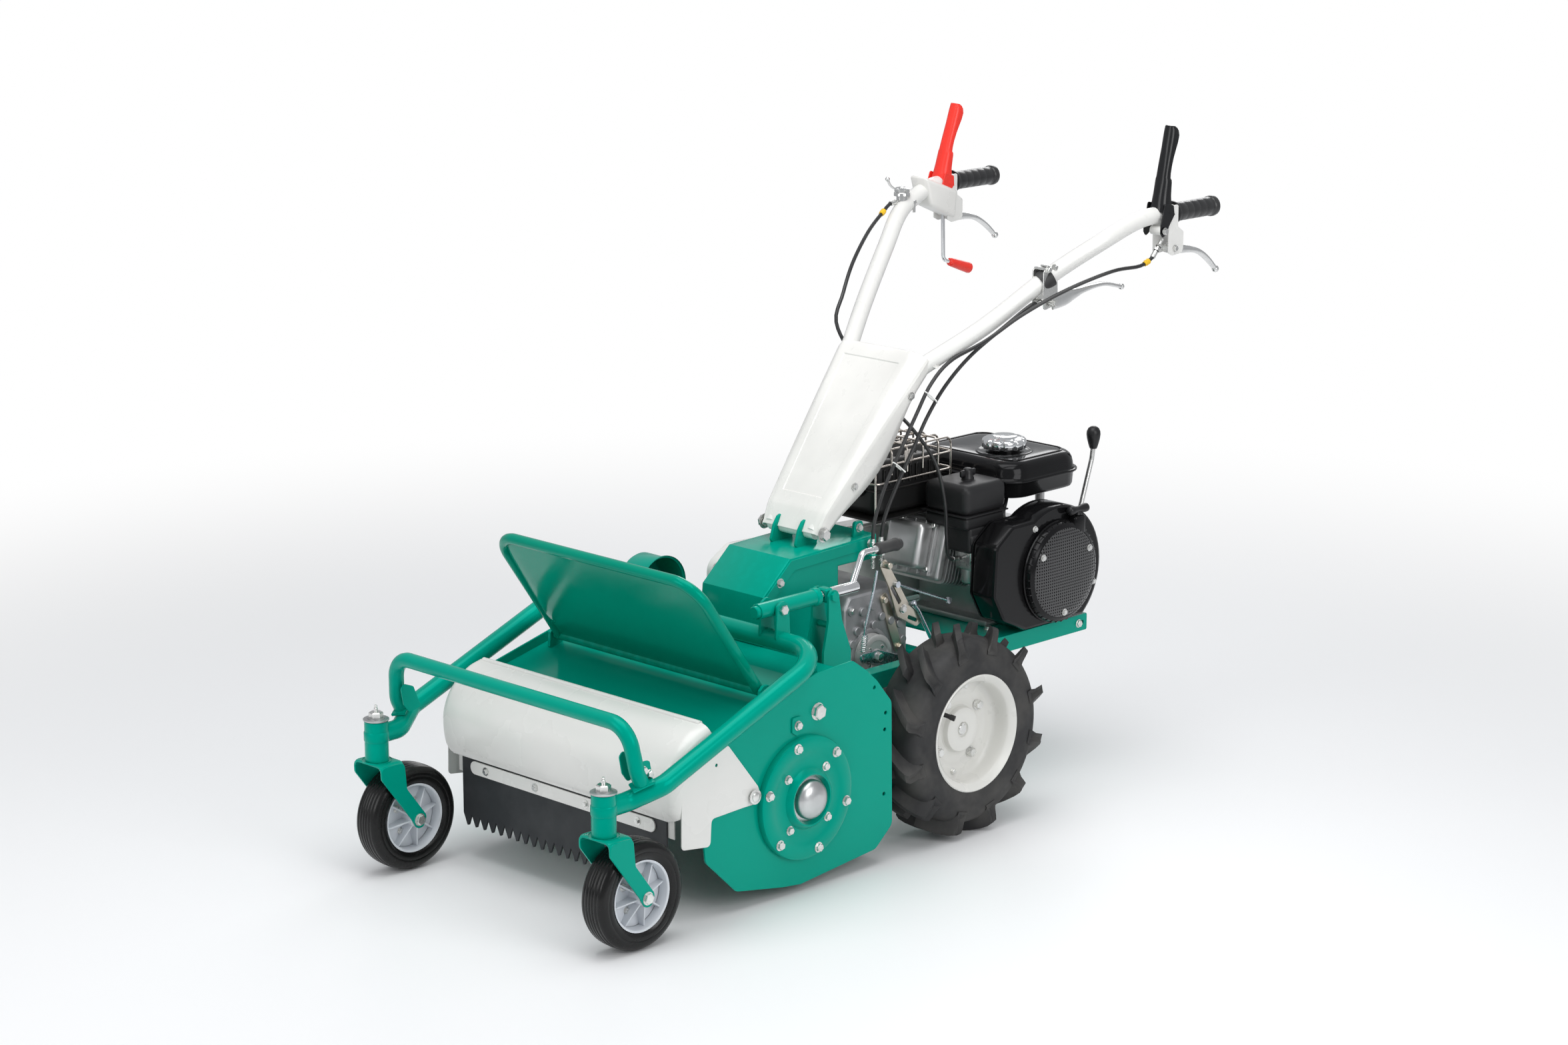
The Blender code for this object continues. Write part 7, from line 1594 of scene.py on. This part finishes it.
fixings(head_bolts, "engine_bolts")


# Fan housing and recoil starter: pressed steel in gloss black. The starter cover has a fine perforated
# face, vent ribs round its side, three zinc screws and a rope guide under the black T grip.

BLACK_SHEEN = (0.42, 0.42, 0.43)
black_enamel = enamel("black_enamel", (0.006, 0.006, 0.0065), (0.012, 0.012, 0.012), 0.12, 0.02,
        BLACK_SHEEN)
FAN_R, FAN_LOW = 0.126, 0.306
arc = [math.radians(a) for a in range(232, 53, -6)]
fan_line = [(CRANK.x + FAN_R * math.cos(a), CRANK.z + FAN_R * math.sin(a)) for a in arc]
DUCT = [(-0.275, FAN_LOW), (-0.287, 0.52), (-0.235, 0.512), (-0.19, 0.48), (-0.184, 0.385), (-0.212, 0.335)]
duct_line = soft_corners(DUCT, 0.018, 6)[14:]
fan_line = [(CRANK.x - 0.0776, FAN_LOW), *fan_line[1:], *duct_line, DUCT[0]]
housing_hole = ring_of(CRANK.x, CRANK.z, 0.078, 48)
fan = [sheet_metal(fan_line, 0.125, 0.1815, edge=0.006, holes=[housing_hole]),
        sheet_metal(fan_line, 0.1217, 0.1245, edge=0.001),
        sheet_metal(ring_of(CRANK.x, CRANK.z, 0.079, 48), 0.156, 0.158)]
fan.append(block((-0.246, 0.1235, 0.4), (-0.188, 0.179, 0.44), 0.006, 3))
keep(fan, "fan_housing", black_enamel, "chassis", ["blower_housing"], 32)


def perforated(name, pitch):
    """Gloss black sheet with a fine grid of round holes, shown as dull dark spots: their near black colour
    is painted shade for the dark inside seen through them.
    """
    made = black_enamel.copy()
    made.name = name
    tree = made.node_tree
    shader = next(n for n in tree.nodes if n.type == "BSDF_PRINCIPLED")
    spot = tree.nodes.new("ShaderNodeTexCoord").outputs["Object"]
    for operation, value in (("SCALE", 1 / pitch), ("FRACTION", None), ("SUBTRACT", (0.5, 0.5, 0.5)),
            ("MULTIPLY", (1, 0, 1))):
        step = tree.nodes.new("ShaderNodeVectorMath")
        step.operation = operation
        join(tree, spot, step.inputs[0])
        if operation == "SCALE":
            put(step, Scale=value)
        elif value:
            step.inputs[1].default_value = value
        spot = step.outputs[0]
    reach = tree.nodes.new("ShaderNodeVectorMath")
    reach.operation = "LENGTH"
    join(tree, spot, reach.inputs[0])
    shaded_hole = ranged(tree, reach.outputs["Value"], 0.0, 1.0, 0.24, 0.3)
    # Painted shade: the holes get a near black colour for the shade inside the cover seen through them.
    join(tree, tinted(tree, shaded_hole, (0.0005, 0.0005, 0.0005), (0.055, 0.055, 0.056)),
            shader.inputs["Base Color"])
    join(tree, ranged(tree, reach.outputs["Value"], 0.9, 0.2, 0.24, 0.3), shader.inputs["Roughness"])
    join(tree, ranged(tree, reach.outputs["Value"], 0.0, 0.5, 0.24, 0.3), shader.inputs["Coat Weight"])
    bumped(tree, shader, shaded_hole, 0.6, 0.001)
    return made


STARTER = [(0.0975, 0.0), (0.0985, 0.001), (0.0985, 0.003), (0.0965, 0.0045), (0.096, 0.01),
        (0.0935, 0.015), (0.089, 0.0172)]
STARTER_SEAT = (CRANK.x, 0.1823, CRANK.z)
starter = [lathe(STARTER + [(0.087, 0.0184), (0.085, 0.0186)], STARTER_SEAT, "Y", 96)]
for i in range(40):
    a = math.tau * i / 40
    way = Vector((math.cos(a), 0, math.sin(a)))
    foot = Vector((CRANK.x, 0.187, CRANK.z)) + way * 0.0962
    rib = [foot, foot + Vector((0, 0.0075, 0)) - way * 0.0008, foot + Vector((0, 0.0105, 0)) - way * 0.004]
    starter.append(pipe(rib, 0.0013, 8))
starter.append(block((-0.42, 0.1823, 0.47), (-0.39, 0.201, 0.5075), 0.005, 3))
keep(starter, "starter_cover", black_enamel, "chassis", ["recoil_cover"], 32)
DOME = [(0.0852, 0.0184), (0.084, 0.0192), (0.08, 0.0204), (0.07, 0.0216), (0.05, 0.0226), (0.03, 0.0231),
        (0.0, 0.0233)]
face = lathe(DOME, STARTER_SEAT, "Y", 96)
keep([face], "starter_grille", perforated("starter_mesh", 0.0058), "chassis", soft=32)
starter_screws = []
for turns, out, y, head in (
        ((0.55, 2.64, 4.74), 0.076, 0.203, (0.009, 0.0036, 0.0066)),
        ((0.95, 3.5), 0.112, 0.1815, (0.0085, 0.004, 0.0062))):
    for a in turns:
        spot = (CRANK.x + out * math.cos(a), y, CRANK.z + out * math.sin(a))
        starter_screws.append(hex_bolt(spot, (0, 1, 0), *head, a))
fixings(starter_screws, "starter_screws")
black_plastic = moulded("black_plastic", (0.01, 0.01, 0.011), 0.3, 0.1, 400.0, 0.05, 0.0, 0.4)
T_END = [(0.0, -0.027), (0.005, -0.0266), (0.008, -0.024), (0.0085, -0.0195), (0.0078, -0.012),
        (0.0062, -0.005)]
T_GRIP = T_END + [(0.0058, 0.0)] + [(r, -x) for r, x in reversed(T_END)]
T_NECK = [(0.0072, -0.01), (0.0062, -0.0085), (0.0048, -0.004), (0.0048, 0.0)]
PULL = (-0.405, 0.193, 0.5185)
pull = [lathe(T_GRIP, PULL, "X", 32), lathe(T_NECK, PULL, "Z", 24)]
keep(pull, "pull_handle", black_plastic, "pull_grip", ["starter_grip"], 50)


# Fuel tank: two pressed halves in gloss black, joined at a flat lip, with a raised ridge on top and a dish
# round the filler, closed by a chrome plated cap with ten finger notches.

def box_ring(x0, x1, half, corner, z):
    ring = soft_corners(oblong(x0, -half, x1, half), corner, 8)
    return [Vector((x, y, z)) for x, y in ring]


TANK_REAR, TANK_MIDDLE, TANK_FRONT, TANK_HALF, LIP_Z = -0.5, -0.392, -0.284, 0.135, 0.574
tank_rows = []
for inset, z, corner in (
        (0.06, 0.54, 0.03), (0.016, 0.5403, 0.04), (0.01, 0.543, 0.042), (0.0075, 0.548, 0.045),
        (0.006, LIP_Z - 0.005, 0.046), (0.0045, LIP_Z - 0.0028, 0.048),
        (0.0005, LIP_Z - 0.0022, 0.05), (0.0, LIP_Z - 0.0012, 0.05), (0.0, LIP_Z + 0.0012, 0.05),
        (0.0005, LIP_Z + 0.0022, 0.05), (0.004, LIP_Z + 0.003, 0.048),
        (0.006, LIP_Z + 0.0055, 0.047), (0.007, 0.588, 0.046), (0.0085, 0.596, 0.046),
        (0.0115, 0.602, 0.044), (0.0165, 0.6065, 0.041), (0.023, 0.6092, 0.037),
        (0.032, 0.6106, 0.032), (0.046, 0.6114, 0.026), (0.062, 0.6117, 0.02), (0.09, 0.6118, 0.01)):
    tank_rows.append(box_ring(TANK_REAR + inset, TANK_FRONT - inset, TANK_HALF - inset, corner, z))
shell = capped(grid_mesh(tank_rows, True))
ridge = box_ring(TANK_MIDDLE - 0.078, TANK_MIDDLE + 0.078, 0.108, 0.026, 0.6098)
tank = [shell, pipe(ridge + [ridge[0]], 0.0022, 12)]
FILLER = (-0.372, 0.036)
NECK = [
    (0.056, 0.61), (0.054, 0.6124), (0.051, 0.6134), (0.0485, 0.613), (0.046, 0.6118), (0.031, 0.6116),
    (0.03, 0.6122),
    (0.03, 0.618), (0.0, 0.618)]
tank.append(lathe(NECK, (*FILLER, 0), "Z", 64))
keep(tank, "tank_halves", black_enamel, "chassis", ["fuel_tank"], 40)
CAP_LOW, CAP_R, NOTCHES = 0.6183, 0.042, 10
cap_rows = []
for shrink, z in (
        (0.006, 0.0), (0.0006, 0.0002), (0.0, 0.001), (0.0, 0.014), (0.0012, 0.0165), (0.004, 0.0182),
        (0.008, 0.0196),
        (0.016, 0.0212), (0.017, 0.0222), (0.019, 0.0232), (0.026, 0.0237), (0.0415, 0.0238)):
    ring = []
    for i in range(120):
        a = math.tau * i / 120
        notch = max(0.0, math.cos(NOTCHES * a)) ** 4 * 0.005 * max(0.0, 1 - shrink / 0.012)
        r = CAP_R - shrink - notch
        ring.append(Vector((FILLER[0] + r * math.cos(a), FILLER[1] + r * math.sin(a), CAP_LOW + z)))
    cap_rows.append(ring)
keep(grid_mesh(cap_rows, True), "notched_cap", chrome_steel, "cap", ["fuel_cap"], 50)


# Air cleaner and carburettor: a matt black plastic case in two halves with a wing knob, above a die cast
# carburettor with its bowl, fuel cup, throttle crank and a looped fuel hose.

KNOB_X, KNOB_Y = -0.227, 0.075
case_plastic = moulded("case_plastic", (0.016, 0.016, 0.017), 0.42, 0.08, 500.0, 0.06, 0.0, 0.35)
cleaner = [block((-0.286, 0.012, 0.528), (-0.172, 0.1225, 0.586), 0.015, 5),
        block((-0.2875, 0.0105, 0.5265), (-0.1705, 0.124, 0.5295), 0.0012, 2),
        block((-0.2835, 0.0145, 0.501), (-0.1745, 0.12, 0.5275), 0.009, 4),
        block((-0.268, 0.056, 0.456), (-0.186, 0.119, 0.506), 0.007, 4),
        block((-0.266, 0.058, 0.47), (-0.188, 0.1215, 0.492), 0.006, 3)]
cleaner.append(lathe([(0.018, 0.5825), (0.017, 0.585), (0.012, 0.5862), (0.011, 0.588), (0.0, 0.588)],
        (KNOB_X, KNOB_Y, 0), "Z", 40))
keep(cleaner, "cleaner_case", case_plastic, "chassis", ["air_cleaner"], 40)
KNOB = [
    (0.0, 0.608), (0.006, 0.6076), (0.0084, 0.606), (0.0095, 0.6), (0.011, 0.5905), (0.012, 0.589),
    (0.012, 0.5884),
    (0.0, 0.5884)]
wing = [lathe(KNOB, (KNOB_X, KNOB_Y, 0), "Z", 40)]
for s in (1, -1):
    wing.append(block((KNOB_X + s * 0.004, 0.0715, 0.5915), (KNOB_X + s * 0.0205, 0.0785, 0.605), 0.0034,
            4))
keep(wing, "wing_nut", black_plastic, "wing_knob", ["cleaner_knob"], 50)
BOWL = [
    (0.0, 0.424), (0.0205, 0.424), (0.0205, 0.42), (0.019, 0.419), (0.019, 0.4), (0.0175, 0.393),
    (0.013, 0.3892),
    (0.006, 0.388), (0.0, 0.388)]
FUEL_CUP = [(0.0, 0.43), (0.0105, 0.43), (0.0105, 0.426), (0.0092, 0.425), (0.0092, 0.401), (0.007, 0.394),
        (0.0, 0.393)]
carb = [block((-0.252, 0.064, 0.418), (-0.205, 0.106, 0.4697), 0.005, 3),
        lathe(BOWL, (KNOB_X, 0.085, 0), "Z", 40), lathe(FUEL_CUP, (-0.252, 0.096, 0), "Z", 32),
        hex_bolt((KNOB_X, 0.085, 0.3892), (0, 0, -1), 0.0105, 0.005, 0, 0.2),
        block((-0.206, 0.078, 0.44), (-0.19, 0.09, 0.446), 0.0015, 2),
        sheet_metal(soft_corners(oblong(-0.262, 0.066, -0.246, 0.1), 0.004, 3), 0.444, 0.4465, "XY"),
        pipe([(-0.215, 0.098, 0.44), (-0.215, 0.108, 0.44), (-0.2, 0.108, 0.436)], 0.0018, 10),
        block((-0.248, 0.06, 0.43), (-0.209, 0.066, 0.464), 0.003, 2)]
carburettor_zinc = cast_metal("carburettor_zinc", (0.8, 0.8, 0.78), 0.24, 0.9, 300.0, 0.03)
keep(carb, "carburettor_body", carburettor_zinc, "chassis", ["carburettor"], 35)
cleaner_screws = [hex_bolt((x, 0.119, 0.464), (0, 1, 0), 0.01, 0.0044, 0.007, x * 40) for x in (-0.252,
        -0.202)]
cleaner_screws += [hex_bolt((-0.2455, 0.106, 0.46), (0, 1, 0), 0.007, 0.0032, 0.0, 0.2),
        hex_bolt((-0.212, 0.106, 0.426), (0, 1, 0), 0.007, 0.0032, 0.0, 0.6)]
fixings(cleaner_screws, "cleaner_screws")
hose = flowing([(-0.26, 0.097, 0.418), (-0.275, 0.101, 0.416), (-0.282, 0.104, 0.435),
        (-0.276, 0.106, 0.47), (-0.28, 0.108, 0.505), (-0.3, 0.102, 0.525), (-0.32, 0.09, 0.54)], 40)
keep(pipe(hose, 0.0042, 16), "fuel_hose", cable_black, "chassis", soft=60)


# Muffler: a pressed steel box in stove black with louvres on its top and side and a shield plate below,
# inside a guard of crossed, warm toned chrome wires.

stove_black = enamel("stove_black", (0.014, 0.014, 0.014), (0.03, 0.027, 0.024), 0.34, 0.0, (0.6, 0.6, 0.6))
MUFFLER = ((-0.246, -0.15, 0.524), (-0.066, -0.004, 0.628))
silencer = [block(*MUFFLER, 0.018, 5), block((-0.262, -0.162, 0.52), (-0.05, 0.01, 0.5238), 0.0012, 1),
        block((-0.249, -0.153, 0.572), (-0.063, -0.001, 0.576), 0.0016, 1)]
for i in range(9):
    x = -0.226 + i * 0.0175
    slat = block((-0.005, -0.054, -0.0012), (0.005, 0.054, 0.0012), 0.0011, 1)
    slat.matrix_world = Matrix.Translation((x, -0.077, 0.629)) @ Matrix.Rotation(math.radians(24), 4, "Y")
    silencer.append(slat)
    slat = block((-0.005, -0.0012, -0.016), (0.005, 0.0012, 0.016), 0.0011, 1)
    slat.matrix_world = Matrix.Translation((x, -0.0035, 0.598)) @ Matrix.Rotation(math.radians(24), 4, "Z")
    silencer.append(slat)
silencer.append(lathe([(0.016, -0.004), (0.016, 0.008), (0.0135, 0.008), (0.0135, -0.002), (0.0, -0.002)],
        (-0.066, -0.05, 0.575), "X", 40))
keep(silencer, "silencer_box", stove_black, "chassis", ["muffler"], 35)
guard, WIRE = [], 0.0021
CAGE_REAR, CAGE_FRONT = -0.258, -0.054
for i in range(6):
    y = -0.156 + 0.16 * i / 5
    hoop = [(CAGE_REAR, y, 0.59), (CAGE_REAR, y, 0.652), (CAGE_FRONT, y, 0.652), (CAGE_FRONT, y, 0.59)]
    guard.append(pipe(rounded(hoop, 0.016, 6), WIRE, 12))
for x in (-0.22, -0.178, -0.136, -0.094):
    hoop = [(x, -0.159, 0.605), (x, -0.159, 0.6545), (x, 0.007, 0.6545), (x, 0.007, 0.605)]
    guard.append(pipe(rounded(hoop, 0.012, 5), WIRE, 12))
for z in (0.592, 0.624):
    loop = [Vector((p.x, p.y - 0.076, z)) for p in box_ring(-0.2605, -0.0515, 0.083, 0.014, 0)]
    guard.append(pipe(loop + [loop[0]], WIRE, 12))
for y in (-0.156, 0.004):
    for x in (CAGE_REAR, CAGE_FRONT):
        guard.append(pipe([(x, y, 0.5243), (x, y, 0.6)], WIRE, 12))
guard.append(sheet_metal(soft_corners(oblong(-0.15, 0.62, -0.128, 0.646), 0.004, 3), 0.006, 0.008))
warm_chrome = plated("warm_chrome", (0.74, 0.68, 0.62), 0.16, 0.1)
keep(guard, "silencer_guard", warm_chrome, "chassis", ["muffler_cage"], 60)


# Shift lever behind the engine: a bent, zinc plated rod with a pear shaped black plastic knob, hung on a
# pin between the rear frame's ears.

LEVER_BEND = ((EYE_X, EYE_Z), (-0.525, 0.497), (-0.552, 0.576), (-0.556, 0.6))
lever_run = rounded([(x, SHIFT_Y, z) for x, z in LEVER_BEND], 0.03, 8)
BUSH = [(0.0042, -0.006), (0.0094, -0.006), (0.0098, -0.005), (0.0098, 0.005), (0.0094, 0.006),
        (0.0042, 0.006)]
stick = [pipe(lever_run, 0.0048, 20), lathe(BUSH, (EYE_X, SHIFT_Y, EYE_Z), "Y", 32)]
keep(stick, "shift_rod", zinc_plate, "gear_lever", ["shift_lever"], 50)
PEAR = [(0.0, 0.64), (0.005, 0.6393), (0.01, 0.636), (0.013, 0.63), (0.0135, 0.624), (0.0125, 0.616),
        (0.01, 0.606), (0.0078, 0.599), (0.0068, 0.5965), (0.0, 0.596)]
keep(one_piece([lathe(PEAR, (-0.5562, SHIFT_Y, 0), "Z", 40)]), "pear_knob", black_plastic, "gear_lever",
        soft=60)
